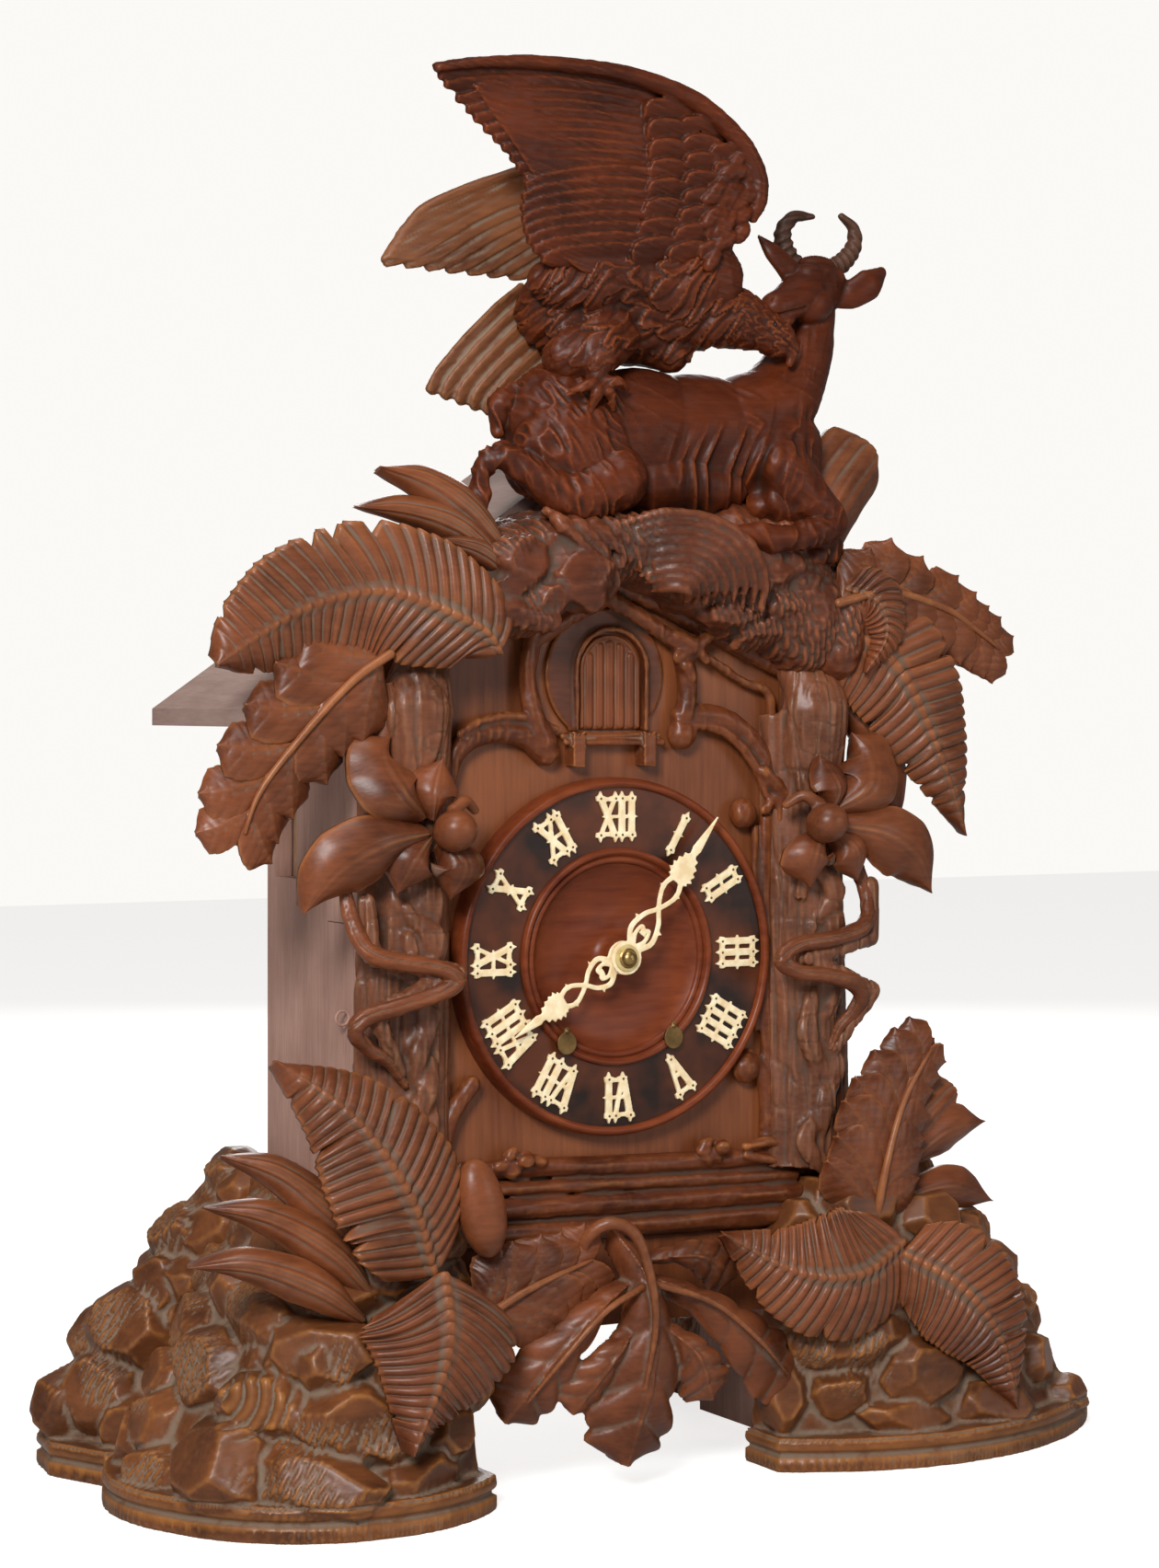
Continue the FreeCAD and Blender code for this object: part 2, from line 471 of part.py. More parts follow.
def make_trains():
    """Going train from the barrel to the escape wheel, and the strike train to its fly."""
    second_phase = meshed_phase(GREAT_TEETH, 0.0, GOING, SECOND_PINION, SECOND)
    second = [arbor(SECOND), gear(SECOND_PINION, GREAT_M, -55, -49, *SECOND, second_phase),
              gear(SECOND_TEETH, SECOND_M, -86.5, -84.5, *SECOND)]
    add("second_wheel", join(second))
    pinion_phase = meshed_phase(SECOND_TEETH, 0.0, SECOND, CENTRE_PINION, CENTRE)
    centre = [arbor(CENTRE, -142, r=2), gear(CENTRE_PINION, SECOND_M, -88, -83, *CENTRE, pinion_phase),
              gear(CENTRE_TEETH, CENTRE_M, -80, -78.4, *CENTRE)]
    add("centre_wheel", join(centre))
    third_phase = meshed_phase(CENTRE_TEETH, 0.0, CENTRE, THIRD_PINION, THIRD)
    third = [arbor(THIRD), gear(THIRD_PINION, CENTRE_M, -82, -76, *THIRD, third_phase),
             gear(THIRD_TEETH, THIRD_M, -65, -63.4, *THIRD)]
    add("third_wheel", join(third))
    escape_phase = meshed_phase(THIRD_TEETH, 0.0, THIRD, ESCAPE_PINION, ESCAPE)
    teeth = gear(ESCAPE_TEETH, 0.8, -49, -47.4, *ESCAPE)
    pinion = gear(ESCAPE_PINION, THIRD_M, -67, -61, *ESCAPE, escape_phase)
    add("escape_wheel", join([arbor(ESCAPE), pinion, teeth]))
    pin_phase = meshed_phase(GREAT_TEETH, 0.0, STRIKE, SECOND_PINION, PIN_WHEEL)
    pins = [disc(*polar(PIN_WHEEL, 17, 45 * k), 1, -84.5, -79) for k in range(8)]
    pin_wheel = [arbor(PIN_WHEEL), gear(SECOND_PINION, GREAT_M, -55, -49, *PIN_WHEEL, pin_phase),
                 gear(PIN_TEETH, CENTRE_M, -86.5, -84.5, *PIN_WHEEL)] + pins
    add("pin_wheel", join(pin_wheel))
    fly_phase = meshed_phase(PIN_TEETH, 0.0, PIN_WHEEL, ESCAPE_PINION, FLY)
    vane = box(FLY[0] - 11, FLY[0] + 11, -78, -60, FLY[1] - 0.5, FLY[1] + 0.5)
    add("fly", join([arbor(FLY), gear(ESCAPE_PINION, CENTRE_M, -88, -83, *FLY, fly_phase), vane]))


def make_escapement():
    """Anchor with its crutch, and the pendulum that hangs on the same line."""
    x, z = ANCHOR
    under = [(-18, z - 17), (-15, z - 17), (-10, z - 6), (0, z - 1.5), (10, z - 6), (15, z - 17), (18, z - 17)]
    arms = slab(under + [(14, z), (0, z + 4), (-14, z)], -50, -46.5)
    crutch = [disc(x, z, 2.5, -39, -34), box(x - 1, x + 1, -37, -35, z - 46, z),
              box(x - 4, x + 4, -37, -35, z - 48, z - 45)]
    prongs = [box(x + s * 3 - 1, x + s * 3 + 1, -35, -26, z - 48, z - 46) for s in (-1, 1)]
    add("anchor", join([arbor(ANCHOR, back=-34), arms] + crutch + prongs))
    eye = disc(x, z, 3, PENDULUM_Y - 1.2, PENDULUM_Y + 1.2)
    stem = rod(V(x, PENDULUM_Y, z - 2), V(x, PENDULUM_Y, z - BOB_DROP + 12), ROD_R)
    halves = [Part.makeSphere(40, V(x, PENDULUM_Y + s * 36, z - BOB_DROP)) for s in (-1, 1)]
    bob = halves[0].common(halves[1])
    add("pendulum", join([eye, stem, bob]).cut(disc(x, z, 1 + RUN, -40, -20)))


def pendulum_hook():
    """The bracket and pin that the pendulum hangs from."""
    x, z = ANCHOR
    post = box(x - 5, x + 5, BACK_PLATE_Y + PLATE_T, -24, z + 6, z + 9)
    drop = box(x - 2, x + 2, -26.5, -24, z - 2, z + 6)
    return join([post, drop, disc(x, z, 1, -33, -24)])


HAMMER_Y = -8.0
HAMMER_PIVOT = (-66.0, 300.0)


def hammer_post():
    """The stud that the hammer swings on."""
    return join([disc(*HAMMER_PIVOT, 1.5, BACK_PLATE_Y + PLATE_T, HAMMER_Y + 7),
                 disc(*HAMMER_PIVOT, 4, BACK_PLATE_Y + PLATE_T, HAMMER_Y - 5)])


def make_strike():
    """Gong, hammer, and the two whistles under their bellows lids."""
    x, y, z = -95.0, HAMMER_Y, 232.0
    coils = []
    for k, r in enumerate((14, 18, 22, 26, 30)):
        side = 1 if k % 2 else -1
        coils.append(Part.makeTorus(r, 1.3, V(x + 2 * side, y, z), V(0, side, 0), 0, 360, 180))
    block = box(x - 12, x + 12, y - 8, y + 8, FLOOR_Z, z - 30)
    stem = box(x - 38, x - 30, y - 4, y + 4, FLOOR_Z, z - 8)
    foot = box(x - 38, x, y - 4, y + 4, FLOOR_Z, FLOOR_Z + 8)
    wood = join([block, stem, foot])
    PARTS["gong"] = Part.makeCompound([wood, join(coils).cut(wood)])
    hx, hz = HAMMER_PIVOT
    head = rod(V(-58, y, z + 4), V(-48, y, z + 4), 4)
    arm = rod(V(hx, y, hz - 3), V(-52, y, z + 7), 1)
    add("hammer", join([disc(hx, hz, 4, y - 4, y + 4), arm, head]).cut(disc(hx, hz, 1.5 + RUN, -50, 0)))
    pipes = []
    for side, s in (("left", -1), ("right", 1)):
        x0, x1 = sorted((s * 132, s * 162))
        pipe = box(x0, x1, -16, 18, 300, 460).cut(box(x0 + 4, x1 - 4, -12, 14, 306, 452))
        middle = (x0 + x1) / 2
        mouth = box(middle - 8, middle + 8, -17, -11, 425, 437)
        pipes.append(pipe.cut(mouth))
        lid = box(x0, x1, -16, 18, 460.6, 465)
        tab = box(x0 + 10, x1 - 10, -22, -16, 460.6, 465)
        add(f"{side}_bellows_lid", join([lid, tab]))
    PARTS["whistles"] = Part.makeCompound(pipes)


def make_cuckoo():
    """The bird on its sliding carriage, the shelf it slides on, and its door."""
    add("bird_shelf", box(-34, 34, CASE_FRONT, -10, 470, 476))
    body = chain([V(0, -82, 507), V(0, -95, 515)], [8, 7])
    bill = Part.makeCone(2.6, 0.6, 9, V(0, -100, 516), FRONT)
    tail = slab([(-5, 500), (5, 500), (4, 505), (-4, 505)], -80, -54)
    carriage = [box(-12, 12, -60, -24, 476.3, 482), box(-2, 2, -60, -56, 481, 502)]
    add("cuckoo", join([body, bill, tail] + carriage))
    add("cuckoo_door", arched(DOOR_HALF, DOOR_SILL, DOOR_SPRING, BOARD_FRONT - DOOR_T - 0.2, BOARD_FRONT - 0.2))


# ---- crest -------------------------------------------------------------------------------
def make_crest():
    """Rock and grass over the gable, the chamois with its horns, and the eagle with its two wings."""
    y0, y1 = -184.0, -72.0
    skyline = [(-132, 540), (-128, 588), (-92, 604), (-70, 628), (-20, 636), (60, 630), (156, 626), (166, 590)]
    gable_line = [(150, 530), (100, 548), (24, 596), (0, 612), (-24, 596), (-70, 562), (-110, 540)]
    rock = slab(skyline + gable_line, y0 + 14, y1 - 20)
    ledge = [(-112, 606), (-70, 628), (-20, 636), (60, 632), (150, 628), (140, 604), (60, 600), (-60, 600)]
    add("crest_rocks", join([rock, slab(ledge, y0, y1)]), "front_board", "front_frame", "roof_left", "roof_right",
        "left_trunk", "right_trunk")
    body = chain([V(-34, -128, 680), V(40, -126, 674), V(104, -130, 676)], [41, 38, 42])
    neck = chain([V(118, -130, 690), V(146, -132, 738), V(152, -132, 782)], [34, 22, 18])
    head = chain([V(152, -133, 784), V(116, -146, 774)], [17, 9])
    hind = chain([V(-40, -132, 664), V(-88, -134, 664), V(-92, -132, 634)], [20, 10, 7])
    fore = chain([V(100, -146, 646), V(140, -160, 640), V(84, -170, 636)], [18, 9, 7])
    ears = [limb(V(138, -128, 794), V(112, -128, 812), 6, 3), limb(V(166, -128, 786), V(194, -128, 798), 7, 4)]
    add("chamois", join([body, neck, head, hind, fore] + ears), "crest_rocks", "roof_left", "roof_right", "front_board")
    left_horn = chain([V(144, -130, 798), V(132, -130, 816), V(138, -130, 832), V(154, -130, 838)], [6, 5, 4.5, 3])
    right_horn = chain([V(158, -130, 798), V(184, -130, 806), V(188, -130, 824), V(174, -130, 840)], [6, 5, 4.5, 3])
    PARTS["chamois_horns"] = Part.makeCompound([left_horn.cut(PARTS["chamois"]), right_horn.cut(PARTS["chamois"])])
    torso = chain([V(-22, -112, 752), V(24, -118, 762), V(62, -128, 768)], [28, 34, 28])
    neck = chain([V(70, -132, 764), V(96, -144, 756), V(120, -152, 746)], [24, 16, 13])
    legs = [limb(V(-6, -124, 740), V(-16, -150, 716), 14, 6), limb(V(30, -120, 740), V(36, -140, 716), 14, 6)]
    tail = slab([(-119, 708), (-70, 690), (-16, 738), (-22, 772), (-50, 788)], -106, -94)
    add("eagle", join([torso, neck, tail] + legs), "chamois")
    near_top = [(-143, 914), (-84, 924), (14, 918), (70, 890), (98, 852), (98, 828), (84, 810)]
    near_trail = [(62, 780), (30, 768), (0, 768), (-44, 790), (-76, 826), (-80, 850)]
    add("eagle_near_wing", slab(near_top + near_trail, -166, -150), "eagle")
    far = [(-150, 792), (-112, 832), (-44, 858), (10, 862), (10, 800), (-48, 788)]
    add("eagle_far_wing", slab(far, -96, -86), "eagle")


# ---- leaves ------------------------------------------------------------------------------
def leaf_group(name, blades, *clear_of):
    """Leaf blanks, each (root, tip, width, thickness), as separate carved solids in one node."""
    kept = []
    for root, tip, width, thick in blades:
        blade = lens(V(*root), V(*tip), width, thick, FRONT)
        for other in clear_of:
            blade = blade.cut(PARTS[other])
        if kept:
            blade = blade.cut(kept)
        kept += [solid for solid in blade.Solids if solid.Volume > 60]
    PARTS[name] = Part.makeCompound(kept)


def make_leaves():
    """Foliage at the eaves, on the trunks, over the feet and in the arch."""
    walls = ("front_board", "front_frame", "left_side_panel", "right_side_panel", "roof_left", "roof_right")
    feet = ("front_left_rocks", "front_right_rocks")
    leaf_group("left_crest_leaves", [
        ((-112, -176, 556), (-289, -158, 536), 92, 12),
        ((-180, -160, 534), (-275, -148, 418), 88, 10),
        ((-168, -150, 560), (-158, -154, 478), 40, 10),
        ((-98, -160, 606), (-181, -160, 655), 30, 10),
        ((-112, -164, 600), (-198, -160, 630), 24, 10)], *walls, "crest_rocks", "left_trunk", "chamois")
    leaf_group("right_crest_leaves", [
        ((150, -168, 574), (300, -150, 541), 76, 12),
        ((150, -156, 552), (270, -150, 418), 74, 12),
        ((152, -146, 600), (194, -140, 690), 46, 12),
        ((178, -136, 500), (218, -140, 420), 30, 8)], *walls, "crest_rocks", "right_trunk", "chamois", "chamois_horns")
    for name, s, clear in (("left_flower", -1, "left_trunk"), ("right_flower", 1, "right_trunk")):
        crest = "left_crest_leaves" if s < 0 else "right_crest_leaves"
        leaf_group(name, [((s * 148, -158, 432), (s * 233, -158, 382), 58, 12),
                          ((s * 150, -160, 436), (s * 186, -158, 484), 46, 12),
                          ((s * 146, -160, 428), (s * 134, -160, 384), 44, 14)], *walls, clear, crest, "dial")
        bud = Part.makeSphere(15, V(s * 142, -160, 428))
        for other in (clear, name, "dial", "front_board", "front_frame"):
            bud = bud.cut(PARTS[other])
        PARTS[name] = Part.makeCompound(PARTS[name].Solids + bud.Solids)
    leaf_group("left_base_leaves", [
        ((-160, -178, 160), (-256, -178, 292), 92, 14),
        ((-158, -184, 160), (-176, -196, 66), 104, 14),
        ((-196, -150, 168), (-288, -140, 232), 26, 12),
        ((-200, -156, 146), (-300, -146, 200), 26, 12),
        ((-206, -162, 132), (-308, -152, 168), 26, 12),
        ((-112, -178, 128), (-34, -168, 152), 66, 12),
        ((-136, -172, 222), (-112, -172, 164), 32, 10)], *walls, "front_left_rocks", "left_trunk")
    leaf_group("right_base_leaves", [
        ((186, -152, 160), (242, -150, 280), 100, 14),
        ((186, -178, 140), (60, -178, 160), 72, 14),
        ((194, -178, 138), (276, -188, 34), 66, 14),
        ((232, -136, 190), (290, -130, 216), 30, 12),
        ((232, -132, 160), (298, -128, 162), 30, 12)], *walls, "front_right_rocks", "right_trunk")
    leaf_group("oak_leaf", [
        ((-14, -158, 168), (-10, -176, 22), 84, 12),
        ((-18, -166, 128), (-94, -164, 58), 62, 12),
        ((4, -166, 128), (120, -164, 60), 62, 12),
        ((20, -160, 146), (78, -158, 128), 34, 10)], *walls, *feet, "left_base_leaves", "right_base_leaves")


# ---- build -------------------------------------------------------------------------------
def main():
    """Builds every part and writes one STEP file for each."""
    os.makedirs("parts", exist_ok=True)
    make_hands()
    make_case()
    make_hatch()
    make_base()
    make_dial()
    make_front_carving()
    make_movement()
    make_strike()
    make_cuckoo()
    make_crest()
    make_leaves()
    whole = Part.makeCompound(list(PARTS.values())).optimalBoundingBox(False)
    origin = V((whole.XMin + whole.XMax) / 2, (whole.YMin + whole.YMax) / 2, 0)
    for name, shape in PARTS.items():
        shape.translate(origin * -1)
        shape.exportStep(f"parts/{name}.step")
        size = shape.BoundBox
        print(f"{name:22s} solids {len(shape.Solids)} volume {shape.Volume / 1000:8.1f} cm3 valid {shape.isValid()} "
              f"z {size.ZMin:.0f} to {size.ZMax:.0f}")
    print("nodes", len(PARTS), "origin", origin)


main()
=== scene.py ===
"""Looks of a carved mantel cuckoo clock: stained walnut carving, turned dial, bone fretwork and plank case.

Every piece is laid out in millimetres about the dial's centre line, the front board's face and the floor,
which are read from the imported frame, and is written to its mesh in metres of that frame.
"""
import json
import logging
import math
from collections.abc import Callable, Sequence
from dataclasses import dataclass, field
from enum import Enum

import bpy
import numpy as np
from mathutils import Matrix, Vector
from mathutils.bvhtree import BVHTree


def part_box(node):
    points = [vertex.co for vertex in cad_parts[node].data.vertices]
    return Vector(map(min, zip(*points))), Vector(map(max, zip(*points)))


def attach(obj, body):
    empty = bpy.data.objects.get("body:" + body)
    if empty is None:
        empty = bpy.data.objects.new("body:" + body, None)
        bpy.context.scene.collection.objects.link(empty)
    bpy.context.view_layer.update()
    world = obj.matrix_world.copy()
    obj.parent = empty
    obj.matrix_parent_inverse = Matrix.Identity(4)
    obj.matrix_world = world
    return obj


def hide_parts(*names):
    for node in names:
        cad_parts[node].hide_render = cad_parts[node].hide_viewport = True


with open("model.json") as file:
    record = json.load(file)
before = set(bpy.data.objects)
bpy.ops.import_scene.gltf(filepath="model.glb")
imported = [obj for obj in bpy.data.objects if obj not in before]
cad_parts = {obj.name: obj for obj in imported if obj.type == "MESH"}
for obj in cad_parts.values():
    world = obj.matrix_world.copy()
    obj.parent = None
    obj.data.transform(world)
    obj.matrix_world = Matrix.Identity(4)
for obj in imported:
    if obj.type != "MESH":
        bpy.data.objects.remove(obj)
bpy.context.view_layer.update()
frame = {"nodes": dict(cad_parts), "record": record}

LOG = logging.getLogger("cuckoo_clock")
MM = 0.001
BOARD_FACE = -121.0
HEADING = 29.0
NOISE_SPREAD = np.array([127.1, 311.7, 74.7])
NOISE_SCALE = 43758.5453
SEED_STEP = 17.31
Point = tuple[float, float, float]
Colour = tuple[float, float, float, float]


# ---- layout ------------------------------------------------------------------------------
class Layout:
    """Turns layout millimetres into metres of the frame, and back."""

    def __init__(self) -> None:
        """Reads the dial's centre line and the front board's face from the frame."""
        dial_low, dial_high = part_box("dial")
        board_low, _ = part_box("front_board")
        self.origin = np.array([(dial_low[0] + dial_high[0]) / 2, board_low[1] - BOARD_FACE * MM, 0.0])
        self.dial_centre = (0.0, round((dial_low[2] + dial_high[2]) / 2 / MM, 1))

    def to_frame(self, points: np.ndarray) -> np.ndarray:
        """Returns layout points, in millimetres, as frame points in metres."""
        return np.asarray(points, dtype=float) * MM + self.origin

    def to_layout(self, points: np.ndarray) -> np.ndarray:
        """Returns frame points, in metres, as layout points in millimetres."""
        return (np.asarray(points, dtype=float) - self.origin) / MM


LAYOUT = Layout()


# ---- numbers -----------------------------------------------------------------------------
def value_noise(points: np.ndarray, size: float | Sequence[float], seed: int = 0) -> np.ndarray:
    """Smooth random values from -1 to 1.

    Args:
        points: positions, one per row.
        size: size of a patch, or one size for each axis.
        seed: picks another field.

    Returns:
        One value per point.
    """
    scaled = points / np.asarray(size, dtype=float) + seed * SEED_STEP
    cell = np.floor(scaled)
    part = scaled - cell
    part = part * part * (3 - 2 * part)
    total = np.zeros(len(points))
    for corner in np.ndindex(2, 2, 2):
        at = cell + corner
        random = np.sin(at @ NOISE_SPREAD + seed) * NOISE_SCALE
        random -= np.floor(random)
        weight = np.prod(np.where(np.array(corner) == 1, part, 1 - part), axis=1)
        total += random * weight
    return total * 2 - 1


def fractal(points: np.ndarray, size: float | Sequence[float], seed: int = 0, octaves: int = 3) -> np.ndarray:
    """Sum of value noises, each half the size and strength of the last."""
    size = np.asarray(size, dtype=float)
    return sum(value_noise(points, size / 2**k, seed + k) / 2**k for k in range(octaves))


def curve_through(points: Sequence[Sequence[float]], count: int) -> np.ndarray:
    """A smooth curve through all the points.

    Args:
        points: the points that it passes through.
        count: how many samples to take, spaced by point index.

    Returns:
        The samples, one per row.
    """
    pts = np.asarray(points, dtype=float)
    if len(pts) == 2:
        return np.linspace(pts[0], pts[1], count)
    padded = np.vstack([2 * pts[0] - pts[1], pts, 2 * pts[-1] - pts[-2]])
    t = np.linspace(0, len(pts) - 1, count)
    k = np.minimum(t.astype(int), len(pts) - 2)
    f = (t - k)[:, None]
    a, b, c, d = padded[k], padded[k + 1], padded[k + 2], padded[k + 3]
    return 0.5 * (2 * b + (c - a) * f + (2 * a - 5 * b + 4 * c - d) * f**2 + (3 * b - a - 3 * c + d) * f**3)


def unit(vectors: np.ndarray) -> np.ndarray:
    """The vectors at length one."""
    length = np.linalg.norm(vectors, axis=-1, keepdims=True)
    return vectors / np.maximum(length, 1e-9)


def turned_pair(first: np.ndarray, second: np.ndarray, turn: float) -> tuple[np.ndarray, np.ndarray]:
    """Two square directions, turned together in their plane by an angle in radians."""
    return first * math.cos(turn) + second * math.sin(turn), second * math.cos(turn) - first * math.sin(turn)


# ---- lumps of clay that become one carved piece ---------------------------------------------
@dataclass
class Lump:
    """A closed shell in layout millimetres."""

    verts: np.ndarray
    faces: list[tuple[int, ...]]


def clear_selection() -> None:
    """Deselects every object, so that an operator acts on the new one alone."""
    bpy.ops.object.select_all(action="DESELECT")


def merged(lumps: Sequence[Lump]) -> Lump:
    """Several shells as one list of points and faces.

    Args:
        lumps: the shells.

    Returns:
        One lump that holds them all, still as separate shells.
    """
    verts, faces, start = [], [], 0
    for lump in lumps:
        verts.append(lump.verts)
        faces += [tuple(i + start for i in face) for face in lump.faces]
        start += len(lump.verts)
    return Lump(np.vstack(verts), faces)


def primitive_lump(add: Callable[..., object], **settings: float) -> Lump:
    """Adds a primitive with its operator, reads its mesh and takes it away again.

    Args:
        add: the operator.
        settings: the operator's settings.

    Returns:
        The primitive's points and faces.
    """
    clear_selection()
    add(**settings)
    made = bpy.context.object
    verts = np.array([v.co[:] for v in made.data.vertices])
    faces = [tuple(p.vertices) for p in made.data.polygons]
    mesh = made.data
    bpy.data.objects.remove(made)
    bpy.data.meshes.remove(mesh)
    return Lump(verts, faces)


BALL = primitive_lump(bpy.ops.mesh.primitive_ico_sphere_add, subdivisions=4, radius=1.0)


def axes_about(direction: Sequence[float], up: Sequence[float] = (0, 0, 1)) -> np.ndarray:
    """Three directions square to each other.

    Args:
        direction: the first of them.
        up: roughly the last of them.

    Returns:
        Unit rows: the direction, one across it and one over it.
    """
    a = unit(np.asarray(direction, dtype=float))
    guide = np.asarray(up, dtype=float)
    if abs(a @ guide) > 0.95:
        guide = np.array([1.0, 0.0, 0.0])
    b = unit(np.cross(guide, a))
    return np.array([a, b, np.cross(a, b)])


def egg(centre: Point, radii: Point, along: Sequence[float] = (1, 0, 0)) -> Lump:
    """An egg shape with its first radius along a direction."""
    shaped = BALL.verts * np.asarray(radii) @ axes_about(along)
    return Lump(shaped + np.asarray(centre), BALL.faces)


def limb(points: Sequence[Point], radii: Sequence[float], flat: float = 1.0, sides: int = 20,
         face: Sequence[float] = (0, -1, 0)) -> Lump:
    """A rounded limb along a smooth curve.

    Args:
        points: the curve's points.
        radii: one radius for each point.
        flat: depth over width, seen along the facing direction.
        sides: points round the limb.
        face: the direction along which the limb is flattened.

    Returns:
        The closed shell.
    """
    count = max(8, 7 * len(points))
    line = curve_through(points, count)
    size = np.interp(np.linspace(0, 1, count), np.linspace(0, 1, len(radii)), radii)
    tangent = unit(np.gradient(line, axis=0))
    caps = np.sin(np.linspace(0.15, 1.45, 4))
    back = np.cos(np.linspace(0.15, 1.45, 4))
    start = line[0] - tangent[0] * size[0] * back[:, None]
    end = line[-1] + tangent[-1] * size[-1] * back[::-1, None]
    line = np.vstack([start, line, end])
    size = np.concatenate([size[0] * caps, size, size[-1] * caps[::-1]])
    tangent = np.vstack([np.repeat(tangent[:1], 4, 0), tangent, np.repeat(tangent[-1:], 4, 0)])
    over = np.broadcast_to(np.asarray(face, dtype=float), tangent.shape)
    across = unit(np.cross(tangent, over) + 1e-6)
    over = unit(np.cross(across, tangent))
    angle = np.linspace(0, 2 * math.pi, sides, endpoint=False)
    ring = (across[:, None] * np.cos(angle)[None, :, None] + over[:, None] * (flat * np.sin(angle))[None, :,
                                                                                                    None])
    verts = line[:, None] + ring * size[:, None, None]
    rows = len(line)
    faces = [(r * sides + s, r * sides + (s + 1) % sides, (r + 1) * sides + (s + 1) % sides,
              (r + 1) * sides + s) for r in range(rows - 1) for s in range(sides)]
    faces += [tuple(range(sides))[::-1], tuple((rows - 1) * sides + s for s in range(sides))]
    return Lump(verts.reshape(-1, 3), faces)


def arc(middle: tuple[float, float], radius: float, start: float = 0.0, end: float = 180.0,
        count: int = 24) -> list[tuple[float, float]]:
    """Points along a round arc.

    Args:
        middle: the arc's centre, as (x, z).
        radius: its radius.
        start: angle of its first point, in degrees from +X.
        end: angle of its last point.
        count: how many points it has.

    Returns:
        The (x, z) points.
    """
    turn = np.linspace(math.radians(start), math.radians(end), count)
    return [(middle[0] + radius * math.cos(a), middle[1] + radius * math.sin(a)) for a in turn]


def prism(outline: Sequence[Sequence[float]], front: float, back: float) -> Lump:
    """A plate cut to an outline.

    Args:
        outline: the (x, z) points in order.
        front: y of its front face.
        back: y of its back face.

    Returns:
        The closed shell.
    """
    flat = np.asarray(outline, dtype=float)
    count = len(flat)
    layers = [np.column_stack([flat[:, 0], np.full(count, y), flat[:, 1]]) for y in (front, back)]
    faces = [tuple(range(count)), tuple(range(2 * count - 1, count - 1, -1))]
    faces += [(i, count + i, count + (i + 1) % count, (i + 1) % count) for i in range(count)]
    return Lump(np.vstack(layers), faces)


def stone(centre: np.ndarray, normal: np.ndarray, size: Point, random: np.random.Generator) -> Lump:
    """A planed stone: a squared ball cut back by a tilted face and a ring of bevels.

    Args:
        centre: middle of the stone.
        normal: the way out of the pile.
        size: half height, half width, and half depth out of the pile.
        random: source of the facets.

    Returns:
        The closed shell.
    """
    squareness, bevels, flanks = 0.82, 7, 6
    verts = np.sign(BALL.verts) * np.abs(BALL.verts) ** squareness
    planes = [unit(np.array([1.0, random.uniform(-0.28, 0.28), random.uniform(-0.35, 0.25)]))]
    depths = [random.uniform(0.60, 0.70)]
    start = random.uniform(0, 1)
    for k in range(bevels):
        turn = (k + start + random.uniform(-0.22, 0.22)) * 2 * math.pi / bevels
        planes.append(unit(np.array([random.uniform(0.35, 0.95), math.cos(turn), math.sin(turn)])))
        depths.append(random.uniform(0.74, 0.90))
    for k in range(flanks):
        turn = (k + start) * 2 * math.pi / flanks
        planes.append(unit(np.array([random.uniform(-0.2, 0.1), math.cos(turn), math.sin(turn)])))
        depths.append(random.uniform(0.80, 0.92))
    for plane, depth in zip(planes, depths):
        reach = verts @ plane
        cut = reach > depth
        verts[cut] -= (reach[cut] - depth)[:, None] * plane
    out, across, over = axes_about(normal)
    turn = random.uniform(-0.3, 0.3)
    across, over = turned_pair(across, over, turn)
    shaped = verts * np.array([size[2], size[1], size[0]]) @ np.array([out, across, over])
    return Lump(shaped + centre, BALL.faces)


# ---- finishes ------------------------------------------------------------------------------
def paint(red: int, green: int, blue: int) -> Colour:
    """A screen colour as the linear colour that a shader takes."""
    linear = [((c / 255 + 0.055) / 1.055) ** 2.4 if c > 10 else c / 3294.6 for c in (red, green, blue)]
    return (*linear, 1.0)


class Grain(Enum):
    """Which way the wood's grain runs."""

    ACROSS = (0.12, 1.0, 1.0)
    DEEP = (1.0, 0.12, 1.0)
    UPRIGHT = (1.0, 1.0, 0.07)


def add_node(nodes: bpy.types.Nodes, kind: str, values: dict[str | int, object] | None = None,
             **settings: object) -> bpy.types.Node:
    """Adds a shader node.

    Args:
        nodes: the tree's nodes.
        kind: the node's type, without its common prefix.
        values: constants for its inputs, by name or number.
        settings: the node's own settings.

    Returns:
        The node.
    """
    node = nodes.new(f"ShaderNode{kind}")
    for label, value in settings.items():
        setattr(node, label, value)
    for label, value in (values or {}).items():
        node.inputs[label].default_value = value
    return node


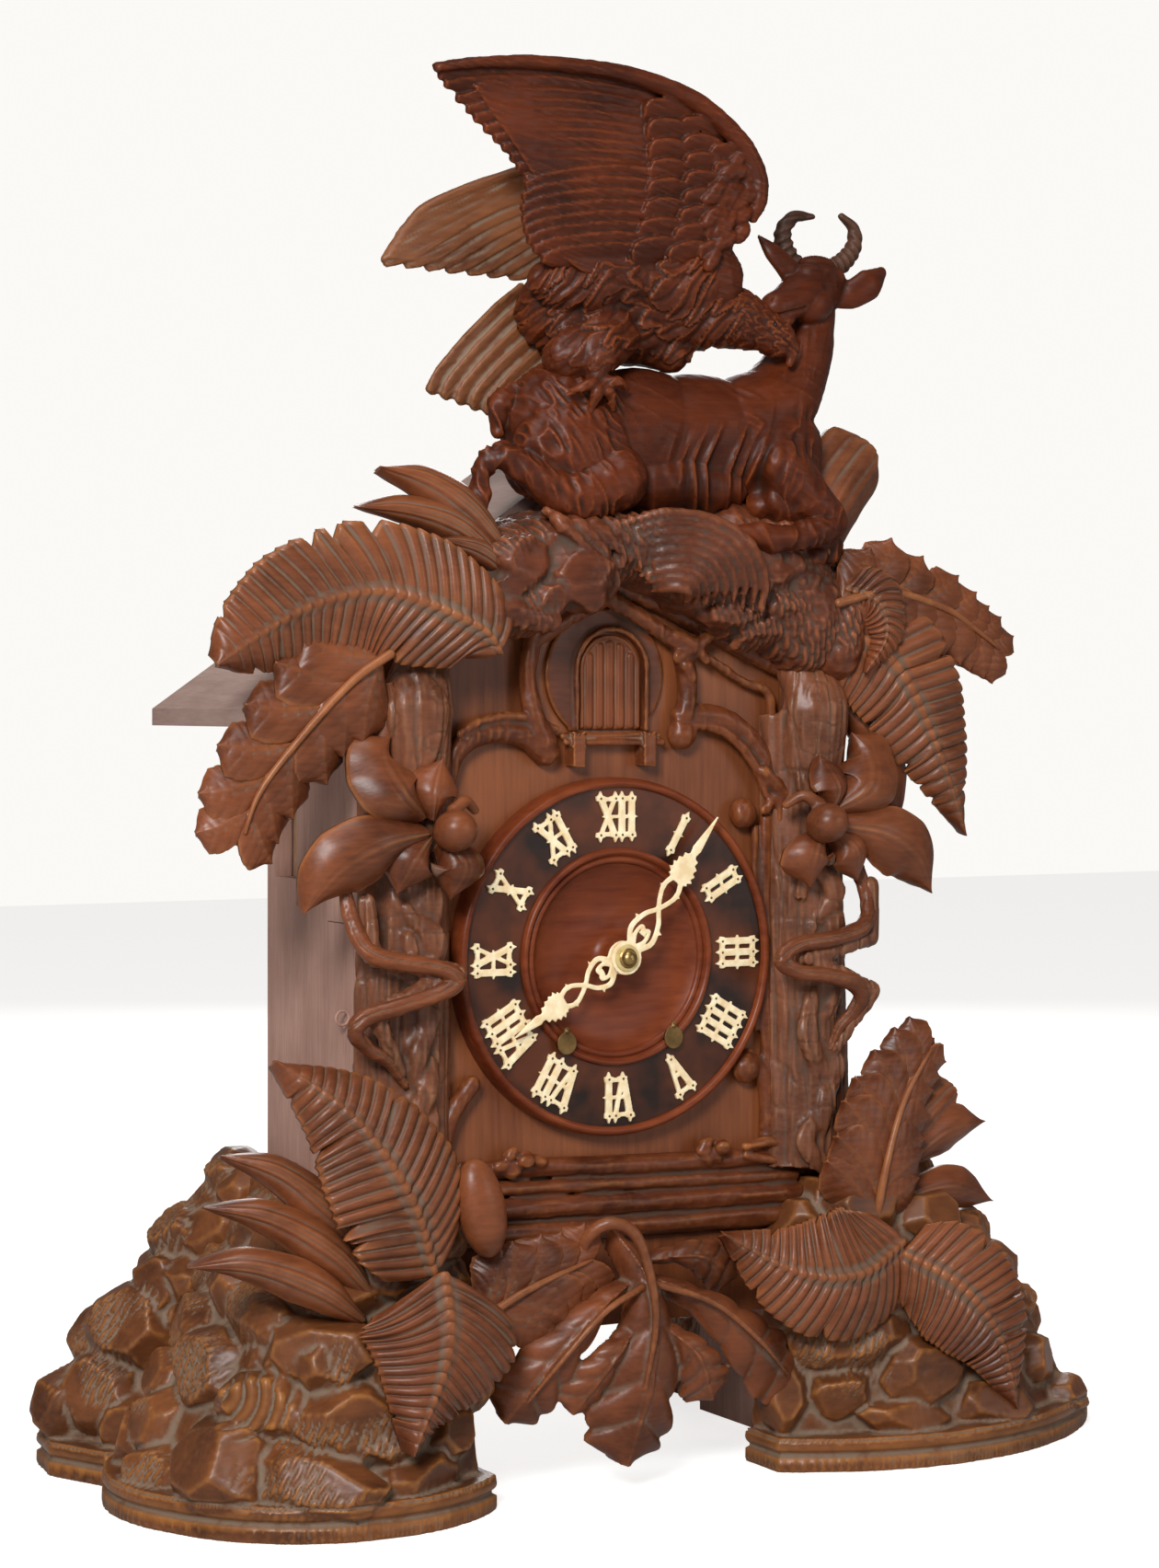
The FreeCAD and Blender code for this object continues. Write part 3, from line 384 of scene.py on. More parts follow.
class EffectGroups:
    """Node groups that the finishes share."""

    def __init__(self) -> None:
        """Makes each group once."""
        self.grain = self._grain()
        self.wear = self._mask("edge_wear", "Ridge", 0.9)
        # Mask of the hollows: settled dust, and painted shade in the hollows.
        self.dust_and_shade = self._mask("hollow_dust_and_shade", "Hollow", 1.4)

    @staticmethod
    def _start(name: str, inputs: dict[str, tuple[str, object]],
               outputs: dict[str, str]) -> bpy.types.NodeTree:
        """An empty group with its sockets.

        Args:
            name: the group's name.
            inputs: socket names with their type and default.
            outputs: socket names with their type.

        Returns:
            The group, holding its input and output nodes.
        """
        group = bpy.data.node_groups.new(name, "ShaderNodeTree")
        for label, (kind, default) in inputs.items():
            socket = group.interface.new_socket(label, in_out="INPUT", socket_type=kind)
            if default is not None:
                socket.default_value = default
        for label, kind in outputs.items():
            group.interface.new_socket(label, in_out="OUTPUT", socket_type=kind)
        group.nodes.new("NodeGroupInput").name = "in"
        group.nodes.new("NodeGroupOutput").name = "out"
        return group

    def _grain(self) -> bpy.types.NodeTree:
        """Long streaks and pores of wood."""
        group = self._start("wood_grain",
                            {"Vector": ("NodeSocketVector", None), "Run": ("NodeSocketVector", (1, 1, 1)),
                             "Scale": ("NodeSocketFloat", 60.0)},
                            {"Shade": "NodeSocketFloat", "Height": "NodeSocketFloat"})
        nodes, link = group.nodes, group.links.new
        given = nodes["in"].outputs
        stretch = add_node(nodes, "VectorMath", operation="MULTIPLY")
        link(given["Vector"], stretch.inputs[0])
        link(given["Run"], stretch.inputs[1])
        streak = add_node(nodes, "TexNoise", {"Detail": 5.0, "Roughness": 0.65, "Distortion": 0.6})
        link(stretch.outputs[0], streak.inputs["Vector"])
        link(given["Scale"], streak.inputs["Scale"])
        fine = add_node(nodes, "Math", {1: 7.0}, operation="MULTIPLY")
        link(given["Scale"], fine.inputs[0])
        pore = add_node(nodes, "TexNoise", {"Detail": 2.0})
        link(stretch.outputs[0], pore.inputs["Vector"])
        link(fine.outputs[0], pore.inputs["Scale"])
        mix = add_node(nodes, "Mix", {"Factor": 0.35})
        link(streak.outputs["Fac"], mix.inputs["A"])
        link(pore.outputs["Fac"], mix.inputs["B"])
        spread = add_node(nodes, "MapRange", {"From Min": 0.34, "From Max": 0.66})
        link(mix.outputs["Result"], spread.inputs["Value"])
        link(spread.outputs["Result"], nodes["out"].inputs["Shade"])
        link(mix.outputs["Result"], nodes["out"].inputs["Height"])
        return group

    def _mask(self, name: str, source: str, breakup: float) -> bpy.types.NodeTree:
        """A mask from a surface value, broken up by noise.

        Args:
            name: the group's name.
            source: the input that holds the surface value.
            breakup: how strongly the noise breaks it up.

        Returns:
            The group.
        """
        group = self._start(name, {"Vector": ("NodeSocketVector", None), source: ("NodeSocketFloat", 0.0),
                                   "Amount": ("NodeSocketFloat", 1.0)}, {"Mask": "NodeSocketFloat"})
        nodes, link = group.nodes, group.links.new
        noise = add_node(nodes, "TexNoise", {"Scale": 55.0, "Detail": 6.0, "Roughness": 0.7})
        link(nodes["in"].outputs["Vector"], noise.inputs["Vector"])
        patch = add_node(nodes, "MapRange", {"From Min": 0.35, "From Max": 0.65, "To Min": 1.0 - breakup / 2,
                                             "To Max": 1.0 + breakup / 2})
        link(noise.outputs["Fac"], patch.inputs["Value"])
        strong = add_node(nodes, "Math", operation="MULTIPLY")
        link(nodes["in"].outputs[source], strong.inputs[0])
        link(patch.outputs["Result"], strong.inputs[1])
        scaled = add_node(nodes, "Math", operation="MULTIPLY", use_clamp=True)
        link(strong.outputs[0], scaled.inputs[0])
        link(nodes["in"].outputs["Amount"], scaled.inputs[1])
        link(scaled.outputs[0], nodes["out"].inputs["Mask"])
        return group


EFFECTS = EffectGroups()


@dataclass(frozen=True)
class WoodFinish:
    """Stained wood with its grain, golden worn edges, and dust in the hollows, grey in most finishes, that
    also serves as painted shade.
    """

    name: str
    dark: Colour
    light: Colour
    worn: Colour = paint(150, 92, 48)
    # Colour of the hollows: dust, and painted shade where the hollows lie.
    dust_and_shade: Colour = paint(124, 102, 84)
    grain: Grain = Grain.ACROSS
    grain_scale: float = 60.0
    wear_amount: float = 0.55
    dust_and_shade_amount: float = 0.9
    roughness: float = 0.36
    dusty_roughness: float = 0.8
    coat: float = 0.03
    bump: float = 0.25
    patches: float = 0.5
    patch_scale: float = 16.0
    gloss: float = 0.3

    def material(self) -> bpy.types.Material:
        """Returns the material, made on first use."""
        made = bpy.data.materials.get(self.name)
        return made or self._make()

    def _make(self) -> bpy.types.Material:
        """Builds the node tree."""
        made = bpy.data.materials.new(self.name)
        made.use_nodes = True
        nodes, link = made.node_tree.nodes, made.node_tree.links.new
        shader = nodes["Principled BSDF"]
        place = nodes.new("ShaderNodeTexCoord").outputs["Object"]
        grain = self._group(nodes, link, EFFECTS.grain, place)
        grain.inputs["Run"].default_value = self.grain.value
        grain.inputs["Scale"].default_value = self.grain_scale
        wear = self._group(nodes, link, EFFECTS.wear, place)
        wear.inputs["Amount"].default_value = self.wear_amount
        dust_and_shade = self._group(nodes, link, EFFECTS.dust_and_shade, place)
        dust_and_shade.inputs["Amount"].default_value = self.dust_and_shade_amount
        for group, label in ((wear, "Ridge"), (dust_and_shade, "Hollow")):
            source = add_node(nodes, "Attribute", attribute_name=label.lower())
            link(source.outputs["Fac"], group.inputs[label])
        cloud = add_node(nodes, "TexNoise", {"Scale": self.patch_scale, "Detail": 3.0})
        link(place, cloud.inputs["Vector"])
        contrast = add_node(nodes, "MapRange", {"From Min": 0.38, "From Max": 0.62})
        link(cloud.outputs["Fac"], contrast.inputs["Value"])
        shade = self._mix(nodes, link, "FLOAT", grain.outputs["Shade"], contrast.outputs["Result"],
                          self.patches)
        colour = self._mix(nodes, link, "RGBA", self.dark, self.light, shade)
        colour = self._mix(nodes, link, "RGBA", colour, self.worn, wear.outputs["Mask"])
        # Hollows take the dust colour: dust, and painted shade in the hollows.
        colour = self._mix(nodes, link, "RGBA", colour, self.dust_and_shade, dust_and_shade.outputs["Mask"])
        link(colour, shader.inputs["Base Color"])
        rough = self._mix(nodes, link, "FLOAT", self.roughness, self.dusty_roughness, dust_and_shade.outputs["Mask"])
        link(rough, shader.inputs["Roughness"])
        for label, value in (("Specular IOR Level", self.gloss), ("Coat Weight", self.coat),
                             ("Coat Roughness", 0.3)):
            shader.inputs[label].default_value = value
        relief = add_node(nodes, "Bump", {"Strength": self.bump, "Distance": 0.0012})
        link(grain.outputs["Height"], relief.inputs["Height"])
        link(relief.outputs["Normal"], shader.inputs["Normal"])
        return made

    @staticmethod
    def _group(nodes: bpy.types.Nodes, link: Callable[..., object], tree: bpy.types.NodeTree,
               place: bpy.types.NodeSocket) -> bpy.types.Node:
        """Places a shared group and gives it the object's coordinates.

        Args:
            nodes: the material's nodes.
            link: joins two sockets.
            tree: the group.
            place: the object's coordinates.

        Returns:
            The group's node.
        """
        node = add_node(nodes, "Group", node_tree=tree)
        link(place, node.inputs["Vector"])
        return node

    @staticmethod
    def _mix(nodes: bpy.types.Nodes, link: Callable[..., object], kind: str, first: object, second: object,
             factor: object) -> bpy.types.NodeSocket:
        """Mixes two colours or numbers.

        Args:
            nodes: the material's nodes.
            link: joins two sockets.
            kind: FLOAT for numbers or RGBA for colours.
            first: the value at factor 0, a socket or a constant.
            second: the value at factor 1, a socket or a constant.
            factor: the share of the second, a socket or a constant.

        Returns:
            The socket with the result.
        """
        node = add_node(nodes, "Mix", data_type=kind)
        wanted = {"FLOAT": "VALUE", "RGBA": "RGBA"}[kind]
        ends = {s.name: s for s in node.inputs if s.type == wanted and s.name in ("A", "B")}
        result = next(s for s in node.outputs if s.type == wanted)
        for socket, value in ((ends["A"], first), (ends["B"], second), (node.inputs["Factor"], factor)):
            if isinstance(value, bpy.types.NodeSocket):
                link(value, socket)
            else:
                socket.default_value = value
        return result


@dataclass(frozen=True)
class PlainFinish:
    """Metal, bone or another even material, with a slight mottle."""

    name: str
    low: Colour
    high: Colour
    roughness: float = 0.4
    metallic: float = 0.0
    mottle: float = 90.0
    bump: float = 0.08
    subsurface: float = 0.0

    def material(self) -> bpy.types.Material:
        """Returns the material, made on first use."""
        made = bpy.data.materials.get(self.name)
        return made or self._make()

    def _make(self) -> bpy.types.Material:
        """Builds the node tree."""
        made = bpy.data.materials.new(self.name)
        made.use_nodes = True
        nodes, link = made.node_tree.nodes, made.node_tree.links.new
        shader = nodes["Principled BSDF"]
        place = nodes.new("ShaderNodeTexCoord").outputs["Object"]
        noise = add_node(nodes, "TexNoise", {"Scale": self.mottle, "Detail": 5.0})
        link(place, noise.inputs["Vector"])
        ramp = nodes.new("ShaderNodeValToRGB")
        for stop, position, colour in zip(ramp.color_ramp.elements, (0.35, 0.65), (self.low, self.high)):
            stop.position = position
            stop.color = colour
        link(noise.outputs["Fac"], ramp.inputs["Fac"])
        link(ramp.outputs["Color"], shader.inputs["Base Color"])
        relief = add_node(nodes, "Bump", {"Strength": self.bump, "Distance": 0.0008})
        link(noise.outputs["Fac"], relief.inputs["Height"])
        link(relief.outputs["Normal"], shader.inputs["Normal"])
        shader.inputs["Roughness"].default_value = self.roughness
        shader.inputs["Metallic"].default_value = self.metallic
        if self.subsurface:
            shader.inputs["Subsurface Weight"].default_value = self.subsurface
            shader.inputs["Subsurface Scale"].default_value = 0.002
        return made


Finish = WoodFinish | PlainFinish

WALNUT = WoodFinish("carved_walnut_stain", paint(66, 30, 15), paint(132, 72, 42), worn=paint(166, 104, 62),
                    dust_and_shade=paint(108, 86, 70))
# Its hollows take a dust colour darker than the wood: painted shade more than dust.
ANIMAL = WoodFinish("smooth_walnut_stain", paint(48, 18, 8), paint(98, 42, 18), worn=paint(136, 68, 32),
                    dust_and_shade=paint(44, 25, 16), dust_and_shade_amount=0.6, roughness=0.4, dusty_roughness=0.6, gloss=0.2,
                    coat=0.0)
# More dust in the hollows between the stones, which also paints shade there.
STONES = WoodFinish("planed_stones", paint(62, 32, 18), paint(124, 72, 38), worn=paint(172, 112, 56),
                    wear_amount=0.6, dust_and_shade_amount=1.1, roughness=0.38, grain_scale=40.0)
FEATHERS = WoodFinish("light_feathers", paint(82, 44, 26), paint(128, 78, 48), worn=paint(150, 98, 58),
                      dust_and_shade_amount=1.2, roughness=0.45)
BARK = WoodFinish("bark", paint(68, 34, 20), paint(134, 80, 54), worn=paint(150, 104, 74),
                  dust_and_shade=paint(84, 64, 50), dust_and_shade_amount=0.6)
CREST_WOOD = WoodFinish("crest_wood", paint(50, 22, 12), paint(112, 56, 32), worn=paint(152, 90, 58),
                        dust_and_shade=paint(78, 58, 46))
FRAME_WOOD = WoodFinish("frame_logs", paint(60, 25, 13), paint(118, 60, 32), worn=paint(160, 96, 48),
                        dust_and_shade=paint(76, 52, 38), wear_amount=0.7, roughness=0.36)
SLAT_WOOD = WoodFinish("door_slats", paint(72, 32, 17), paint(138, 74, 38), worn=paint(176, 112, 58),
                       grain=Grain.UPRIGHT, wear_amount=0.8, roughness=0.4)
HORN_WOOD = WoodFinish("ringed_horn", paint(44, 26, 18), paint(84, 54, 40), worn=paint(120, 86, 64),
                       roughness=0.5, dust_and_shade=paint(60, 44, 36), gloss=0.2, dust_and_shade_amount=0.6)
BOARD = WoodFinish("polished_front_board", paint(92, 46, 24), paint(146, 84, 48), grain=Grain.UPRIGHT,
                   grain_scale=60.0, roughness=0.42, patches=0.45, patch_scale=9.0, bump=0.12)
PLANK = WoodFinish("mauve_planks", paint(150, 112, 98), paint(190, 150, 136), grain=Grain.UPRIGHT,
                   grain_scale=90.0, roughness=0.6, coat=0.0, patches=0.3, bump=0.15)
ROOF = WoodFinish("mauve_roof_boards", paint(138, 110, 100), paint(168, 142, 132), grain=Grain.DEEP,
                  grain_scale=90.0, roughness=0.6, coat=0.0, patches=0.3, bump=0.15)
EBONY = WoodFinish("worn_chapter_ring", paint(20, 12, 9), paint(92, 44, 20), grain_scale=26.0, roughness=0.36,
                   patches=0.8, patch_scale=26.0, bump=0.1, dust_and_shade_amount=0.3)
TURNED = WoodFinish("turned_dish", paint(80, 28, 12), paint(134, 66, 34), grain_scale=34.0, roughness=0.34,
                    coat=0.0, gloss=0.22, bump=0.04, patches=0.35, dust_and_shade_amount=0.3)
PALE = WoodFinish("unstained_wood", paint(150, 116, 76), paint(196, 160, 112), roughness=0.6, coat=0.0)
BONE = PlainFinish("carved_bone", paint(236, 208, 160), paint(255, 238, 200), roughness=0.4, mottle=140.0,
                   subsurface=0.1)
EYE = PlainFinish("dark_eye", paint(26, 12, 8), paint(36, 18, 10), roughness=0.12)
PIN = PlainFinish("pin_heads", paint(96, 70, 40), paint(120, 92, 56), roughness=0.4, metallic=0.8)
BONE_AGED = PlainFinish("aged_bone", paint(190, 164, 104), paint(220, 198, 140), roughness=0.35, mottle=140.0)
BRASS_AGED = PlainFinish("aged_brass", paint(92, 70, 42), paint(140, 110, 66), roughness=0.5, metallic=0.85)
BRASS = PlainFinish("dull_brass", paint(130, 104, 62), paint(180, 150, 96), roughness=0.36, metallic=1.0)
STEEL = PlainFinish("bright_steel", paint(150, 150, 152), paint(200, 200, 202), roughness=0.3, metallic=1.0)
FEATHER_PAINT = PlainFinish("painted_bird", paint(66, 66, 72), paint(110, 104, 98), roughness=0.55)


# ---- making pieces ---------------------------------------------------------------------------
@dataclass(frozen=True)
class Maker:
    """Turns lumps into finished pieces of the clock."""

    heavy: int = 20_000
    kept_share: float = 0.68
    fine_steps: int = 2
    broad_steps: int = 16
    step_share: float = 0.6

    def mesh_piece(self, name: str, verts: np.ndarray, faces: Sequence[tuple[int, ...]]) -> bpy.types.Object:
        """A piece from points and faces.

        Args:
            name: the piece's name.
            verts: its points in layout millimetres.
            faces: its faces.

        Returns:
            The piece.
        """
        mesh = bpy.data.meshes.new(name)
        mesh.from_pydata(LAYOUT.to_frame(verts).tolist(), [], faces)
        mesh.update()
        made = bpy.data.objects.new(name, mesh)
        bpy.context.collection.objects.link(made)
        return made

    def modify(self, piece: bpy.types.Object, kind: str, **settings: object) -> None:
        """Adds a modifier and applies it.

        Args:
            piece: the piece.
            kind: the modifier's type.
            settings: the modifier's settings.
        """
        modifier = piece.modifiers.new(kind.lower(), kind)
        for label, value in settings.items():
            setattr(modifier, label, value)
        clear_selection()
        bpy.context.view_layer.objects.active = piece
        piece.select_set(True)
        bpy.ops.object.modifier_apply(modifier=modifier.name)

    def carve(self, name: str, lumps: Sequence[Lump], voxel: float, smooth: int = 3,
              relief: Callable[[np.ndarray, np.ndarray], np.ndarray] | None = None) -> bpy.types.Object:
        """One carved piece from overlapping lumps.

        Args:
            name: the piece's name.
            lumps: the shells, which are merged.
            voxel: detail size in millimetres.
            smooth: rounds of smoothing after the merge.
            relief: gives each point's height above the smooth surface, from its place and normal.

        Returns:
            The piece.
        """
        whole = merged(lumps)
        piece = self.mesh_piece(name, whole.verts, whole.faces)
        self.modify(piece, "REMESH", mode="VOXEL", voxel_size=voxel * MM, use_smooth_shade=True)
        if smooth:
            self.modify(piece, "SMOOTH", factor=0.5, iterations=smooth)
        if relief:
            self.raise_surface(piece, relief)
        points, _ = self.read(piece)
        if points[:, 2].min() < 0:
            points[:, 2] = np.maximum(points[:, 2], 0)
            self.write(piece, points)
        return piece

    def raise_surface(self, piece: bpy.types.Object,
                      relief: Callable[[np.ndarray, np.ndarray], np.ndarray]) -> None:
        """Moves each point along its normal.

        Args:
            piece: the piece.
            relief: gives each point's height in millimetres, from its place and normal.
        """
        points, normals = self.read(piece)
        self.write(piece, points + normals * relief(points, normals)[:, None])

    def face_outward(self, piece: bpy.types.Object) -> None:
        """Turns every shell's faces outwards.

        Args:
            piece: the piece.
        """
        clear_selection()
        bpy.context.view_layer.objects.active = piece
        piece.select_set(True)
        bpy.ops.object.mode_set(mode="EDIT")
        bpy.ops.mesh.select_all(action="SELECT")
        bpy.ops.mesh.normals_make_consistent(inside=False)
        bpy.ops.object.mode_set(mode="OBJECT")

    def read(self, piece: bpy.types.Object) -> tuple[np.ndarray, np.ndarray]:
        """Reads a piece's surface.

        Args:
            piece: the piece.

        Returns:
            Its points in layout millimetres and its normals.
        """
        count = len(piece.data.vertices)
        places, normals = np.empty(count * 3), np.empty(count * 3)
        piece.data.vertices.foreach_get("co", places)
        piece.data.vertices.foreach_get("normal", normals)
        return LAYOUT.to_layout(places.reshape(-1, 3)), normals.reshape(-1, 3)

    def write(self, piece: bpy.types.Object, points: np.ndarray) -> None:
        """Sets the piece's points from layout millimetres."""
        piece.data.vertices.foreach_set("co", LAYOUT.to_frame(points).ravel())
        piece.data.update()

    def feel_surface(self, piece: bpy.types.Object) -> None:
        """Stores how far each point stands out (ridge) or lies in a hollow, for wear, and for dust and
        painted shade in the hollows.

        The surface is smoothed step by step. A point's distance from its smoothed place tells, after a few
        steps, how sharp the edge or groove is that it lies on, and after many steps how broad.

        Args:
            piece: the piece.
        """
        fine, broad = self.fine_steps, self.broad_steps
        points, normals = self.read(piece)
        edges = np.empty(len(piece.data.edges) * 2, dtype=np.int64)
        piece.data.edges.foreach_get("vertices", edges)
        a, b = edges[::2], edges[1::2]
        count = len(points)
        length = np.maximum(np.linalg.norm(points[a] - points[b], axis=1), 0.05)
        weight = 1 / length
        total = np.bincount(a, weight, count) + np.bincount(b, weight, count)
        level = points.copy()
        marks = {}
        for step in range(1, broad + 1):
            pull = np.column_stack([np.bincount(a, weight * level[b, k], count)
                                    + np.bincount(b, weight * level[a, k], count) for k in range(3)])
            level = 0.4 * level + self.step_share * pull / np.maximum(total, 1e-6)[:, None]
            if step in (fine, broad):
                marks[step] = ((points - level) * normals).sum(1)
        ridge = np.clip(marks[fine] * 3.4 - 0.10, 0, 1) * 0.8 + np.clip(marks[broad] * 0.55 - 0.15, 0,
                                                                        1) * 0.5
        # How deep a point lies in a hollow; the dust and the painted shade are put there.
        hollow = np.clip(-marks[broad] * 1.5 - 0.08, 0, 1) + np.clip(-marks[fine] * 3.5 - 0.12, 0, 1)
        for label, values in (("ridge", np.clip(ridge, 0, 1)), ("hollow", np.clip(hollow, 0, 1))):
            layer = piece.data.attributes.new(label, "FLOAT", "POINT")
            layer.data.foreach_set("value", values.astype(np.float32))

    def finish(self, piece: bpy.types.Object, finish: Finish, slot: str, body: str = "case",
               nodes: Sequence[str] = (), sharp: float | None = None, feel: bool = True) -> None:
        """Dresses a piece and joins it to the frame.

        Args:
            piece: the piece.
            finish: its surface.
            slot: the record's material slot; not used.
            body: the body that it moves with.
            nodes: the CAD nodes that it stands for.
            sharp: the angle in degrees over which an edge stays sharp; none keeps it all smooth.
            feel: whether wear, and dust and painted shade in the hollows, are worked out from the shape.

        A heavy piece is thinned once its wear, and its dust and painted shade, are known.
        """
        clear_selection()
        bpy.context.view_layer.objects.active = piece
        piece.select_set(True)
        if sharp is None:
            bpy.ops.object.shade_smooth()
        else:
            bpy.ops.object.shade_smooth_by_angle(angle=math.radians(sharp))
        if feel:
            self.feel_surface(piece)
        if len(piece.data.polygons) > self.heavy:
            self.modify(piece, "DECIMATE", ratio=self.kept_share)
        piece.data.materials.clear()
        piece.data.materials.append(finish.material())
        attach(piece, body)
        if nodes:
            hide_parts(*nodes)
        LOG.info("%s: %d faces", piece.name, len(piece.data.polygons))


MAKER = Maker()


# ---- leaves --------------------------------------------------------------------------------
@dataclass(frozen=True)
class LeafStyle:
    """How one kind of leaf is cut.

    outline holds (place along the midrib, half width) pairs, each from 0 to 1.
    """

    outline: tuple[tuple[float, float], ...]
    ribs: int = 0
    rib_depth: float = 0.0
    slant: float = 0.35
    teeth: int = 0
    tooth_depth: float = 0.0
    lobed: bool = False
    cup: float = 0.06
    midrib: float = 1.2
    furrows: int = 0
    notch: float = 0.0
    rows: int = 110
    columns: int = 28


class LeafKind(Enum):
    """The kinds of foliage."""

    FERN = LeafStyle(((0, 0.42), (0.06, 0.72), (0.2, 0.95), (0.45, 1.0), (0.7, 0.86), (0.88, 0.56),
                      (0.96, 0.32), (1, 0.05)), ribs=27, rib_depth=2.9, slant=0.42, teeth=27,
                     tooth_depth=0.035, cup=0.10, notch=0.10, rows=270, columns=28, midrib=2.2)
    PLUME = LeafStyle(((0, 0.6), (0.08, 0.88), (0.25, 1.0), (0.45, 0.88), (0.65, 0.62), (0.82, 0.36),
                       (0.94, 0.15), (1, 0.03)), ribs=21, rib_depth=3.4, slant=0.36, teeth=21,
                      tooth_depth=0.04, cup=0.10, notch=0.12, rows=250, columns=26, midrib=2.2)
    FAN = LeafStyle(((0, 0.84), (0.08, 0.98), (0.2, 1.0), (0.45, 0.72), (0.7, 0.44), (0.9, 0.2), (1, 0.03)),
                    ribs=15, rib_depth=3.4, slant=0.5, teeth=15, tooth_depth=0.06, cup=0.13, notch=0.10,
                    rows=220, columns=28, midrib=2.4)
    LEAFLET = LeafStyle(((0, 0.5), (0.15, 0.86), (0.4, 1.0), (0.65, 0.9), (0.85, 0.55), (1, 0.08)), ribs=6,
                        rib_depth=0.4, slant=0.7, teeth=6, tooth_depth=0.03, cup=0.14, midrib=1.0, rows=50,
                        columns=20)
    LANCE = LeafStyle(((0, 0.35), (0.2, 0.8), (0.45, 1.0), (0.75, 0.72), (0.93, 0.28), (1, 0.02)), furrows=2,
                      rib_depth=1.6, slant=0.0, cup=0.34, midrib=1.3, rows=60, columns=26)
    STRAP = LeafStyle(((0, 0.5), (0.25, 0.85), (0.6, 1.0), (0.9, 0.96), (0.97, 0.85), (1, 0.5)), furrows=3,
                      rib_depth=1.5, slant=0.1, cup=0.22, midrib=1.6, rows=70, columns=30)
    PETAL = LeafStyle(((0, 0.3), (0.15, 0.6), (0.4, 0.95), (0.6, 1.0), (0.8, 0.72), (0.93, 0.34), (1, 0.02)),
                      furrows=1, rib_depth=0.5, slant=0.2, cup=0.24, midrib=0.9, rows=70, columns=32)
    LOBE = LeafStyle(((0, 0.22), (0.2, 0.4), (0.45, 0.78), (0.7, 1.0), (0.88, 0.86), (0.97, 0.5), (1, 0.2)),
                     ribs=5, rib_depth=2.2, slant=1.0, teeth=5, tooth_depth=0.24, lobed=True, cup=0.2,
                     midrib=2.2, rows=110, columns=34)
    FEATHER = LeafStyle(((0, 0.7), (0.2, 0.95), (0.6, 1.0), (0.85, 0.95), (0.95, 0.7), (1, 0.3)), slant=0.25,
                        cup=0.05, midrib=0.6, rows=44, columns=12)


